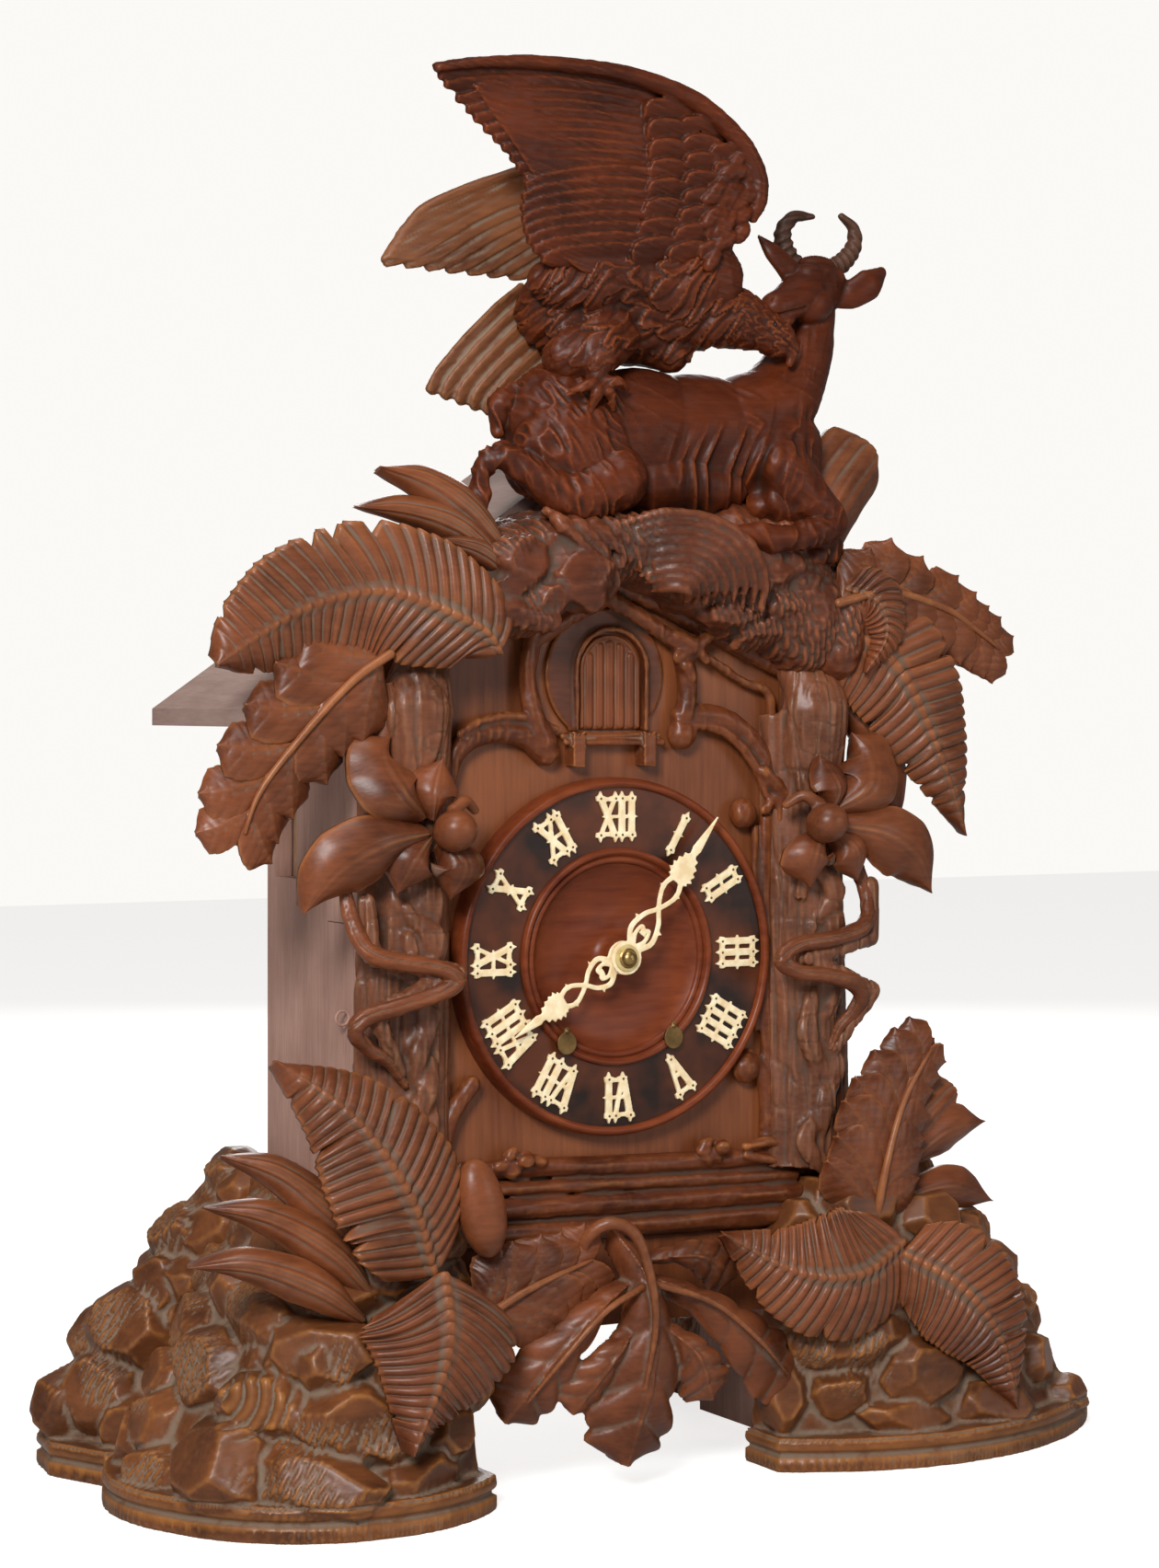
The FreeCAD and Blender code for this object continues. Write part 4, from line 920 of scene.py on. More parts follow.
@dataclass(frozen=True)
class Leaf:
    """One leaf: the line of its midrib, how wide it is, and how it is turned, in millimetres and degrees."""

    line: tuple[Point, ...]
    width: float
    kind: LeafKind
    lean: float = 0.0
    thick: float = 5.0
    seed: int = 1
    curl: float = 0.0
    facing: Point = (0.0, -1.0, 0.0)

    def lump(self) -> Lump:
        """Returns the leaf as a closed shell."""
        style = self.kind.value
        rows, columns = style.rows, style.columns
        u = np.linspace(0, 1, rows)[:, None]
        v = np.linspace(-1, 1, columns)[None, :]
        half = self._half_width(u, np.sign(v), style)
        path = curve_through(self.line, 160)
        steps = np.concatenate([[0], np.cumsum(np.linalg.norm(np.diff(path, axis=0), axis=1))])
        plain = np.interp(u, *zip(*style.outline))
        forward = style.slant * np.abs(v) * plain * self.width / 2 / steps[-1]
        place = np.clip(u + forward * (1 - u**4), 0, 1.04)
        middle, side, out = self._frames(place.ravel(), path, steps / steps[-1])
        offset = (v * half * self.width / 2).ravel()[:, None]
        height = self._height(u, v, style).ravel()[:, None]
        front = middle + side * offset + out * height
        thickness = (self.thick * (0.5 + 0.5 * (1 - np.abs(v) ** 3)) * np.ones_like(u)).ravel()[:, None]
        under = np.minimum(height, self._cup(v, style, u).ravel()[:, None]) - thickness
        back = middle + side * offset + out * under
        return self._close(front, back, rows, columns)

    def _half_width(self, u: np.ndarray, side: np.ndarray, style: LeafStyle) -> np.ndarray:
        """Half width of the blade, with its teeth and notches.

        Args:
            u: place along the midrib, from 0 to 1.
            side: which flank, -1 or 1.
            style: how the leaf is cut.

        Returns:
            The half width over the leaf's own half width.
        """
        us, ws = zip(*style.outline)
        smooth = np.interp(np.linspace(0, 1, 400), us, ws)
        smooth = np.convolve(np.pad(smooth, 12, mode="edge"), np.ones(25) / 25, mode="valid")
        half = np.interp(u, np.linspace(0, 1, 400), smooth) * np.ones_like(side)
        if style.lobed:
            swell = np.abs(np.sin(math.pi * (style.teeth * u + 0.08))) ** 0.5
            half = half * (1 - style.tooth_depth + style.tooth_depth * swell)
        elif style.teeth:
            half = half * (1 - style.tooth_depth * (1 - (u * style.teeth) % 1) ** 1.3)
        if style.notch:
            random = np.random.default_rng(self.seed)
            for place in random.uniform(0.15, 0.92, 7):
                flank = random.choice([-1, 1])
                near = np.clip(1 - np.abs(u - place) * 55, 0, 1) * (side == flank)
                half = half * (1 - style.notch * 2.2 * near)
        return half

    def _cup(self, v: np.ndarray, style: LeafStyle, u: np.ndarray) -> np.ndarray:
        """Height of the bare blade: its sides and tip curl back."""
        return (-style.cup * self.width * (np.abs(v) ** 2)
                - self.curl * self.width * (u**3)) * np.ones_like(u * v)

    def _height(self, u: np.ndarray, v: np.ndarray, style: LeafStyle) -> np.ndarray:
        """Height of the carved face, with ribs, furrows and the midrib.

        Args:
            u: place along the midrib, from 0 to 1.
            v: place across the blade, from -1 to 1.
            style: how the leaf is cut.

        Returns:
            One height for each pair of places, in millimetres.
        """
        height = self._cup(v, style, u)
        inner = np.clip(np.abs(v) / 0.08, 0, 1)
        if style.ribs:
            random = np.random.default_rng(self.seed + 50)
            depths = random.uniform(0.7, 1.25,
                                    style.ribs + 1)[np.minimum((u * style.ribs).astype(int), style.ribs)]
            ridge = np.sqrt(np.clip(np.sin(math.pi * (u * style.ribs % 1)), 0, 1))
            fade = inner * np.clip((1 - u) * 6, 0, 1) * depths
            height = height + style.rib_depth * (ridge - 1) * fade
        if style.furrows:
            groove = np.abs(np.sin(math.pi * style.furrows * np.abs(v) ** 0.8)) ** 0.5
            height = height + style.rib_depth * (groove - 1) * np.ones_like(u)
        stem = np.exp(-((v / 0.05) ** 2)) * style.midrib
        trench = np.exp(-((np.abs(v) - 0.13) ** 2) / 0.0016) * style.midrib * 0.6
        return height + (stem - trench) * np.clip(1.15 - u, 0, 1)

    def _frames(self, place: np.ndarray, path: np.ndarray, steps: np.ndarray) -> tuple[np.ndarray, np.ndarray,
                                                                                       np.ndarray]:
        """Finds the blade's own directions along its midrib.

        Args:
            place: places along the midrib, from 0 to 1.
            path: points along the midrib.
            steps: place of each point of the path.

        Returns:
            The points on the midrib, and the directions to the side and out of the face there.
        """
        tangent = unit(np.gradient(path, axis=0))
        along = np.column_stack([np.interp(place, steps, tangent[:, k]) for k in range(3)])
        middle = np.column_stack([np.interp(place, steps, path[:, k]) for k in range(3)])
        length = float(np.linalg.norm(np.diff(path, axis=0), axis=1).sum())
        middle += np.maximum(place - 1, 0)[:, None] * length * tangent[-1]
        side = unit(np.cross(np.asarray(self.facing), along))
        out = unit(np.cross(along, side))
        turn = math.radians(self.lean)
        side, out = turned_pair(side, out, turn)
        return middle, side, out

    @staticmethod
    def _close(front: np.ndarray, back: np.ndarray, rows: int, columns: int) -> Lump:
        """Joins the two faces of a blade round its edge.

        Args:
            front: points of the front face, row by row.
            back: points of the back face.
            rows: how many rows each has.
            columns: how many points each row has.

        Returns:
            The closed shell.
        """
        count = rows * columns
        faces = []
        for r in range(rows - 1):
            for c in range(columns - 1):
                a, b = r * columns + c, r * columns + c + 1
                d, e = a + columns, b + columns
                faces.append((a, b, e, d))
                faces.append((a + count, d + count, e + count, b + count))
        rim = list(range(columns)) + [r * columns + columns - 1 for r in range(1, rows)]
        rim += [(rows - 1) * columns + c for c in range(columns - 2, -1, -1)]
        rim += [r * columns for r in range(rows - 2, 0, -1)]
        for k, a in enumerate(rim):
            b = rim[(k + 1) % len(rim)]
            faces.append((b, a, a + count, b + count))
        return Lump(np.vstack([front, back]), faces)


def grow(name: str, leaves: Sequence[Leaf], nodes: Sequence[str] = (), finish: Finish = WALNUT,
         extra: Sequence[Lump] = ()) -> bpy.types.Object:
    """Makes a leaf or a spray of leaves as one piece on the case.

    Args:
        name: the piece's name.
        leaves: the leaves.
        nodes: the CAD nodes that it stands for.
        finish: its surface.
        extra: stems and other shells that belong to it.

    Returns:
        The piece.
    """
    lump = merged([leaf.lump() for leaf in leaves] + list(extra))
    piece = MAKER.mesh_piece(name, lump.verts, lump.faces)
    MAKER.face_outward(piece)
    MAKER.finish(piece, finish, "carved_walnut", nodes=nodes)
    return piece


@dataclass(frozen=True)
class Spray:
    """A leaf made of overlapping leaflets along a stem."""

    line: tuple[Point, ...]
    pairs: int
    left: float
    right: float
    broad: float = 26.0
    taper: float = 0.45
    angle: float = 48.0
    seed: int = 3

    def parts(self) -> tuple[list[Leaf], list[Lump]]:
        """Returns the leaflets and the stem."""
        random = np.random.default_rng(self.seed)
        path = curve_through(self.line, 60)
        tangent = unit(np.gradient(path, axis=0))
        leaflets = []
        for k in range(self.pairs):
            share = (k + 0.35) / (self.pairs + 0.5)
            here, ahead = path[int(share * 59)], tangent[int(share * 59)]
            size = 1 - self.taper * share**1.5
            for flank, reach in ((1, self.left), (-1, self.right)):
                if reach <= 0:
                    continue
                turn = math.radians(self.angle + random.uniform(-5, 5)) * flank
                across = unit(np.cross((0, -1, 0), ahead))
                heading = ahead * math.cos(turn) + across * math.sin(turn)
                length = reach * size * random.uniform(0.93, 1.05)
                lift = np.array([0, -1.2 - 0.5 * ((k + (flank < 0)) % 2), 0])
                tip = here + heading * length + lift + np.array([0, 4.0, 0])
                bend = (here + tip) / 2 + ahead * length * 0.08 + np.array([0, -3.0, 0])
                leaflets.append(Leaf((tuple(here + lift), tuple(bend), tuple(tip)), self.broad * size,
                                     LeafKind.LEAFLET, lean=-14 * flank, thick=4.0, seed=k))
        last = path[int(0.86 * 59)]
        leaflets.append(Leaf((tuple(last + [0, -2, 0]), tuple(path[-1])), self.broad * (1 - self.taper) * 1.1,
                             LeafKind.LEAFLET, thick=4.0))
        stem = limb([tuple(p + [0, -3.5, 0]) for p in path[:56:5]], (3.2, 2.8, 2.4, 2.0, 1.2), sides=10)
        return leaflets, [stem]


@dataclass
class Foliage:
    """All the leaves and flowers."""

    def build(self) -> None:
        """Grows the foliage, cluster by cluster."""
        self.left_eave()
        self.right_eave()
        self.flowers()
        self.left_foot()
        self.right_foot()
        self.oak()

    def spray(self, name: str, sprays: Sequence[Spray], nodes: Sequence[str]) -> None:
        """Makes leaves of leaflets as one piece.

        Args:
            name: the piece's name.
            sprays: the leaves.
            nodes: the CAD nodes that it stands for.
        """
        leaves, stems = [], []
        for one in sprays:
            more, stem = one.parts()
            leaves += more
            stems += stem
        grow(name, leaves, nodes, extra=stems)

    def left_eave(self) -> None:
        """Big fern, serrated leaf and two narrow leaves at the left eave."""
        node = ["left_crest_leaves"]
        grow("left_eave_fern",
             [Leaf(((-104, -172, 538), (-124, -176, 556), (-181, -172, 576), (-221, -166, 571),
                    (-253, -160, 556), (-290, -154, 531)), 88, LeafKind.FERN, -8, 6)], node)
        self.spray("left_eave_leaflets",
                   [Spray(((-178, -158, 538), (-204, -156, 520), (-238, -152, 484), (-262, -148, 452),
                           (-273, -146, 420)), 6, 54, 58, 46, 0.42, 44, 4)], node)
        grow("left_eave_hanging_leaf", [Leaf(((-172, -148, 520), (-166, -146, 500), (-172, -144, 462)), 36,
                                             LeafKind.PETAL, 10, 4)], node)
        narrow = [Leaf(((-92, -160, 602), (-120, -164, 630), (-150, -162, 648), (-182, -156, 655)), 30,
                       LeafKind.LANCE, 10, 6),
                  Leaf(((-96, -164, 592), (-130, -166, 618), (-164, -162, 628), (-198, -156, 629)), 24,
                       LeafKind.LANCE, -4, 6),
                  Leaf(((-96, -168, 590), (-118, -170, 604), (-146, -168, 610)), 16, LeafKind.LANCE, 0, 5)]
        grow("left_eave_narrow_leaves", narrow, node)

    def right_eave(self) -> None:
        """Leaflets, palm, curled leaf and strap leaf at the right eave."""
        node = ["right_crest_leaves"]
        self.spray("right_eave_leaflets",
                   [Spray(((150, -164, 574), (190, -164, 582), (240, -158, 572), (270, -152, 558),
                           (299, -148, 541)), 8, 46, 54, 38, 0.5, 42, 6)], node)
        grow("right_eave_palm", [Leaf(((150, -156, 566), (200, -164, 532), (238, -156, 478),
                                       (271, -144, 416)), 84, LeafKind.PLUME, 12, 6, 7)], node)
        grow("right_eave_curl", [Leaf(((156, -166, 584), (180, -172, 574), (186, -172, 552),
                                       (172, -168, 528)), 40, LeafKind.FAN, 18, 6, 9)], node)
        grow("right_eave_upright", [Leaf(((136, -148, 592), (148, -150, 616), (168, -146, 650),
                                          (199, -138, 681)), 60, LeafKind.STRAP, 4, 8)], node)
        grow("right_eave_slip",
             [Leaf(((176, -138, 506), (206, -142, 474), (219, -138, 419)), 36, LeafKind.PETAL, 0, 6)], node)

    def flowers(self) -> None:
        """A flower with five petals and a round bud on each trunk."""
        for side, name in ((-1, "left"), (1, "right")):
            petals = [Leaf(((side * 150, -162, 426), (side * 184, -172, 420), (side * 214, -168, 404),
                            (side * 234, -156, 378)), 46, LeafKind.PETAL, side * 6),
                      Leaf(((side * 152, -160, 436), (side * 172, -172, 452), (side * 180, -160, 474),
                            (side * 172, -150, 488)), 50, LeafKind.PETAL, side * -12),
                      Leaf(((side * 148, -162, 434), (side * 150, -170, 452), (side * 140, -160, 474)), 32,
                           LeafKind.PETAL, side * 14),
                      Leaf(((side * 142, -162, 424), (side * 130, -172, 406), (side * 134, -158, 384)), 40,
                           LeafKind.PETAL, side * 6),
                      Leaf(((side * 148, -160, 424), (side * 164, -170, 410), (side * 172, -158, 388)), 34,
                           LeafKind.PETAL, side * -8)]
            grow(f"{name}_flower_petals", petals, [f"{name}_flower"])
            bud = MAKER.carve(f"{name}_flower_bud",
                              [egg((side * 138, -172, 428), (15, 14, 13), (side * 0.3, -1, 0.4)),
                               limb([(side * 136, -166, 440), (side * 126, -162, 446),
                                     (side * 116, -156, 440)], (5, 4, 3), sides=12)], 1.3, 2)
            MAKER.finish(bud, WALNUT, "carved_walnut")

    def left_foot(self) -> None:
        """Fern over the left foot, with narrow leaves, palm leaves and the round knob."""
        node = ["left_base_leaves"]
        grow("left_foot_fern", [Leaf(((-160, -190, 154), (-182, -200, 206), (-216, -192, 256),
                                      (-262, -178, 292)), 98, LeafKind.PLUME, 10, 7, 11)], node)
        grow("left_foot_lower_fern", [Leaf(((-158, -198, 160), (-162, -212, 112), (-184, -208, 50)), 110,
                                           LeafKind.FAN, 0, 7, 13)], node)
        narrow = [Leaf(((-190, -160, 166), (-220, -172, 196), (-252, -164, 222), (-287, -148, 233)), 28,
                       LeafKind.LANCE, 6, 8),
                  Leaf(((-190, -168, 140), (-222, -180, 172), (-262, -172, 196), (-301, -154, 203)), 28,
                       LeafKind.LANCE, 4, 8), Leaf(((-200, -174, 128), (-236, -186, 152), (-276, -178, 168),
                                                    (-313, -160, 168)), 28, LeafKind.LANCE, 0, 8)]
        grow("left_foot_narrow_leaves", narrow, node)
        self.spray("left_foot_leaflets", [Spray(((-120, -168, 122), (-84, -172, 140), (-32, -164, 154)), 5,
                                                42, 54, 38, 0.35, 48, 8)], node)
        knob = MAKER.carve("left_foot_knob", [egg((-124, -180, 193), (32, 13, 16), (0.22, 0, -1))], 1.5, 2)
        MAKER.finish(knob, WALNUT, "carved_walnut")

    def right_foot(self) -> None:
        """Leaflets, palm and fern over the right foot."""
        node = ["right_base_leaves"]
        self.spray("right_foot_leaflets", [Spray(((182, -160, 156), (188, -164, 196), (206, -160, 240),
                                                  (240, -150, 279)), 7, 60, 48, 42, 0.5, 44, 10)], node)
        grow("right_foot_palm", [Leaf(((192, -186, 150), (150, -196, 132), (104, -192, 136), (54, -180, 163)),
                                      90, LeafKind.PLUME, 0, 7, 19)], node)
        grow("right_foot_fern", [Leaf(((188, -188, 142), (226, -202, 118), (258, -202, 80), (278, -194, 30)),
                                      84, LeafKind.PLUME, 4, 7, 21)], node)
        straps = [Leaf(((210, -150, 190), (250, -152, 214), (290, -140, 218)), 34, LeafKind.PETAL, 6, 7),
                  Leaf(((214, -150, 172), (256, -150, 176), (298, -138, 162)), 30, LeafKind.PETAL, 0, 7),
                  Leaf(((198, -152, 196), (236, -152, 226), (264, -142, 242)), 36, LeafKind.STRAP, 0, 7)]
        grow("right_foot_straps", straps, node)

    def oak(self) -> None:
        """The big oak leaf that hangs in the arch."""
        node = ["oak_leaf"]
        lobes = [Leaf(((-22, -164, 172), (-4, -182, 136), (-2, -186, 84), (-14, -172, 18)), 66, LeafKind.LOBE,
                      0, 8, 23),
                 Leaf(((-8, -170, 138), (-40, -182, 122), (-70, -178, 92), (-97, -160, 52)), 48,
                      LeafKind.LOBE, 10, 8, 24),
                 Leaf(((-6, -174, 112), (-30, -184, 90), (-52, -168, 54)), 36, LeafKind.LOBE, -10, 8, 27),
                 Leaf(((0, -170, 140), (38, -186, 122), (80, -180, 90), (126, -158, 52)), 50, LeafKind.LOBE,
                      -10, 8, 25),
                 Leaf(((4, -174, 112), (30, -186, 88), (50, -172, 54)), 38, LeafKind.LOBE, 10, 8, 28),
                 Leaf(((-2, -166, 148), (36, -178, 150), (78, -158, 130)), 34, LeafKind.LOBE, 0, 7, 26)]
        stem = limb([(-40, -158, 148), (-42, -168, 166), (-30, -176, 176), (-14, -182, 168), (-6, -188, 140),
                     (-4, -190, 110), (-8, -184, 70)], (4.5, 4.5, 4.5, 4, 3.2, 2.4, 1.4), sides=14)
        ribs = [limb([(-8, -180, 134), (-40, -188, 122), (-68, -184, 94), (-86, -170, 66)],
                     (2.6, 2.2, 1.8, 1), sides=12), limb([(0, -180, 136), (38, -192, 122), (76, -186, 94),
                                                          (108, -170, 66)], (2.6, 2.2, 1.8, 1), sides=12)]
        leaf = MAKER.carve("oak_leaf_spray", [lobe.lump() for lobe in lobes] + ribs + [stem], 1.3, 1)
        MAKER.finish(leaf, WALNUT, "carved_walnut", nodes=node)


# ---- reading the frame -------------------------------------------------------------------------
def node_lump(name: str) -> Lump:
    """A copy of a CAD node, with its loose triangles joined.

    Args:
        name: the node.

    Returns:
        Its shells in layout millimetres.
    """
    mesh = frame["nodes"][name].data
    places = np.empty(len(mesh.vertices) * 3)
    mesh.vertices.foreach_get("co", places)
    keys = np.round(places.reshape(-1, 3) / MM, 3)
    _, first, index = np.unique(keys, axis=0, return_index=True, return_inverse=True)
    index = index.ravel()
    faces = [tuple(index[v] for v in p.vertices) for p in mesh.polygons]
    verts = LAYOUT.to_layout(places.reshape(-1, 3)[first])
    return Lump(verts, [face for face in faces if len(set(face)) == len(face)])


class Surface:
    """A CAD node's surface, to set things down on."""

    def __init__(self, *names: str) -> None:
        """Joins the nodes' surfaces."""
        lump = merged([node_lump(name) for name in names])
        self.lump = lump
        self.tree = BVHTree.FromPolygons(lump.verts.tolist(), lump.faces)

    def hit(self, start: np.ndarray, way: np.ndarray) -> tuple[np.ndarray, np.ndarray] | None:
        """The first point that a ray meets.

        Args:
            start: where the ray starts.
            way: the way that it goes.

        Returns:
            The point and the way out of the surface there, or nothing.
        """
        place, normal, _, _ = self.tree.ray_cast(Vector(start), Vector(way))
        if place is None:
            return None
        return np.array(place), np.array(normal)

    def seen(self, across: float, height: float, heading: float = HEADING) -> tuple[np.ndarray,
                                                                                    np.ndarray] | None:
        """The first point met when looking at the surface along a level heading.

        Args:
            across: place to the right of the middle, in millimetres.
            height: height over the floor.
            heading: the way looked, in degrees from straight back.

        Returns:
            The point and the way out of the surface there, or nothing.
        """
        turn = math.radians(heading)
        way = np.array([math.sin(turn), math.cos(turn), 0.0])
        right = np.array([math.cos(turn), -math.sin(turn), 0.0])
        start = np.array([0, BOARD_FACE, height]) + right * across - way * 900
        return self.hit(start, way)


def chisel(points: np.ndarray, along: np.ndarray, across: np.ndarray, pitch: float) -> np.ndarray:
    """Short parallel chisel strokes, from 0 to 1.

    Args:
        points: places in millimetres.
        along: the way that each stroke runs.
        across: the way from stroke to stroke.
        pitch: distance between strokes.

    Returns:
        One height for each point.
    """
    s = points @ across / pitch + 0.35 * value_noise(points, 9.0, 5)
    t = points @ along / (pitch * 3.2) + 0.5 * (np.floor(s) % 2)
    stroke = np.sin(math.pi * (s % 1)) * np.sqrt(np.abs(np.sin(math.pi * (t % 1))))
    return stroke


# ---- feet --------------------------------------------------------------------------------------
class StoneCut(Enum):
    """How a stone's face is finished."""

    PLANED = "planed"
    STRUCK = "struck"
    COMBED = "combed"


@dataclass(frozen=True)
class Stone:
    """A stone of a pile: where it is seen, its half width and half height, and its finish."""

    across: float
    height: float
    half_width: float
    half_height: float
    cut: StoneCut = StoneCut.PLANED


STRUCK, COMBED = StoneCut.STRUCK, StoneCut.COMBED


@dataclass
class RockPile:
    """One rocky foot: a pile of planed stones on a moulded slab."""

    node: str
    stones: Sequence[Stone]
    seed: int
    gap_side: int = 0
    voxel: float = 1.6
    slab: float = 22.0
    fill_size: tuple[float, float] = (23.0, 31.0)
    fill_count: int = 900
    setback: float = 6.0
    moulding: tuple[tuple[float, float], ...] = ((0, 0), (1, 0.8), (9, 0.6), (10, -2.2), (12, -2.4),
                                                 (14, 0.2), (16, 1.0), (20, 0.4), (22, -1.8), (24, 0))

    def build(self) -> None:
        """Piles the stones and carves them into one foot."""
        random = np.random.default_rng(self.seed)
        surface = Surface(self.node)
        placed: list[tuple[np.ndarray, float]] = []
        self.struck: list[tuple[np.ndarray, np.ndarray, float, StoneCut]] = []
        lumps = [self._core(surface.lump), self._plinth(surface.lump)]
        for one in self.stones:
            spot = surface.seen(one.across, one.height)
            if spot is None:
                continue
            place, normal = spot
            lumps.append(self._stone(place, normal, one.half_width, one.half_height, random))
            placed.append((place, (one.half_width + one.half_height) / 2))
            if one.cut is not StoneCut.PLANED:
                self.struck.append((place, normal, max(one.half_width, one.half_height), one.cut))
        lumps += self._fill(surface, placed, random)
        foot = MAKER.carve(self.node.replace("rocks", "foot"), lumps, self.voxel, 1, self._relief)
        MAKER.finish(foot, STONES, "carved_walnut", nodes=[self.node])

    def _core(self, lump: Lump) -> Lump:
        """The pile's filling, set back behind the stones.

        Args:
            lump: the CAD foot.

        Returns:
            The foot, smaller above its slab.
        """
        verts = lump.verts.copy()
        middle = (verts.min(0) + verts.max(0)) / 2
        away = unit((verts - middle) * np.array([1, 1, 0]))
        verts = verts - away * self.setback
        verts[:, 2] = np.where(verts[:, 2] > self.slab + 1, verts[:, 2] - self.setback * 0.6, verts[:, 2])
        return Lump(verts, lump.faces)

    def _plinth(self, lump: Lump) -> Lump:
        """The slab at the full size."""
        verts = lump.verts.copy()
        verts[:, 2] = np.minimum(verts[:, 2], self.slab)
        return Lump(verts, lump.faces)

    def _stone(self, place: np.ndarray, normal: np.ndarray, half_width: float, half_height: float,
               random: np.random.Generator) -> Lump:
        """A stone set into the pile.

        Args:
            place: the point of the surface that it covers.
            normal: the way out of the pile there.
            half_width: its half width.
            half_height: its half height.
            random: source of its facets.

        Returns:
            Its shell.
        """
        depth = 0.42 * min(half_width, half_height) + 6.0
        centre = place - normal * depth * 0.6
        return stone(centre, normal, (half_height * 1.26, half_width * 1.26, depth * 1.7), random)

    def _fill(self, surface: Surface, placed: list[tuple[np.ndarray, float]],
              random: np.random.Generator) -> list[Lump]:
        """Covers the rest of the pile with stones, clear of those already there.

        Args:
            surface: the pile's surface.
            placed: middle and reach of each stone so far, which grows.
            random: source of places and sizes.

        Returns:
            The added stones.
        """
        low, high = surface.lump.verts.min(0), surface.lump.verts.max(0)
        middle = (low + high) / 2
        lumps = []
        for _ in range(self.fill_count):
            angle = random.uniform(0, 2 * math.pi)
            height = random.uniform(self.slab + 6, high[2] - 6)
            way = np.array([math.cos(angle), math.sin(angle), -0.15])
            start = np.array([middle[0], middle[1], height]) - way * 600 * np.array([1, 1, 0])
            spot = surface.hit(start, unit(way * np.array([1, 1, 0])))
            if spot is None:
                continue
            place, normal = spot
            if place[2] < self.slab + 4 or normal[1] * self.gap_side > 0.85 or abs(place[0]) < 118:
                continue
            size = random.uniform(*self.fill_size)
            if any(np.linalg.norm(place - other) < 0.74 * (size + reach) for other, reach in placed):
                continue
            lumps.append(self._stone(place, normal, size, size * random.uniform(0.65, 0.85), random))
            placed.append((place, size * 0.87))
            if random.uniform() < 0.4:
                self.struck.append((place, normal, size, StoneCut.STRUCK))
        return lumps

    def _relief(self, points: np.ndarray, normals: np.ndarray) -> np.ndarray:
        """Tool marks, and the slab's moulding round its upright edge.

        Args:
            points: places in millimetres.
            normals: ways out of the surface there.

        Returns:
            One height for each point.
        """
        height = 0.3 * fractal(points, 18.0, self.seed) + 0.12 * value_noise(points, 3.5, 2)
        for place, normal, reach, cut in self.struck:
            out, across, up = axes_about(normal)
            away = points - place
            near = np.clip(1.25 - np.linalg.norm(away * np.array([1, 1, 1.15]), axis=1) / reach, 0, 0.5) * 2
            near *= np.clip(normals @ normal * 2 - 0.6, 0, 1)
            if cut is StoneCut.STRUCK:
                mark = chisel(points, up * 0.9 + across * 0.4, across * 0.9 - up * 0.4, 4.6)
                patch = np.clip(value_noise(points, 22.0, int(reach)) * 2 + 0.7, 0, 1)
                height += near * patch * (mark - 0.6) * 1.7
            else:
                ring = np.linalg.norm(away - up * reach * 0.2 + across * reach * 0.9, axis=1)
                height += near * (np.abs(np.sin(math.pi * ring / 9.0)) ** 0.6 - 0.6) * 4.5
        low = np.clip((self.slab + 3 - points[:, 2]) / 3, 0, 1) * (np.abs(normals[:, 2]) < 0.75)
        profile = np.interp(points[:, 2], *zip(*self.moulding))
        hatch = 0.25 * np.sin((points[:, 0] * 0.9 + points[:, 1] * 0.7) * 2.1) * (points[:, 2] < 9)
        return height * (1 - 0.8 * low) + low * (profile - 1.0 + hatch)


FEET = (RockPile("front_left_rocks",
                 (Stone(-223, 130, 29, 17, STRUCK), Stone(-183, 111, 34, 20),
                  Stone(-166, 107, 22, 18, STRUCK), Stone(-256, 95, 33, 23, STRUCK),
                  Stone(-214, 80, 27, 18, COMBED), Stone(-151, 67, 35, 25), Stone(-138, 58, 20, 18, STRUCK),
                  Stone(-291, 54, 22, 22, STRUCK), Stone(-248, 45, 34, 28), Stone(-181, 34, 42, 19, STRUCK),
                  Stone(-288, 28, 26, 17, STRUCK), Stone(-113, 30, 30, 13), Stone(-96, 52, 18, 14),
                  Stone(-86, 84, 16, 22, STRUCK), Stone(-159, 148, 24, 16), Stone(-120, 100, 26, 24)), 11,
                 gap_side=1),
        RockPile("rear_left_rocks",
                 (Stone(-229, 185, 21, 14), Stone(-261, 162, 24, 16), Stone(-299, 127, 18, 17),
                  Stone(-265, 125, 20, 14, STRUCK), Stone(-317, 97, 32, 26, STRUCK),
                  Stone(-339, 56, 27, 24, STRUCK)), 12, gap_side=-1),
        RockPile("front_right_rocks",
                 (Stone(108, 156, 24, 15, STRUCK), Stone(117, 130, 18, 13), Stone(163, 85, 40, 19, STRUCK),
                  Stone(214, 59, 28, 25), Stone(155, 49, 20, 15), Stone(203, 30, 31, 12),
                  Stone(267, 31, 28, 17), Stone(325, 24, 20, 15), Stone(290, 93, 16, 12, STRUCK),
                  Stone(273, 116, 22, 12), Stone(301, 54, 18, 15), Stone(118, 48, 14, 22),
                  Stone(240, 100, 24, 20), Stone(200, 120, 26, 20), Stone(318, 74, 14, 13)), 13, gap_side=1),
        RockPile("rear_right_rocks", (), 14, gap_side=-1))


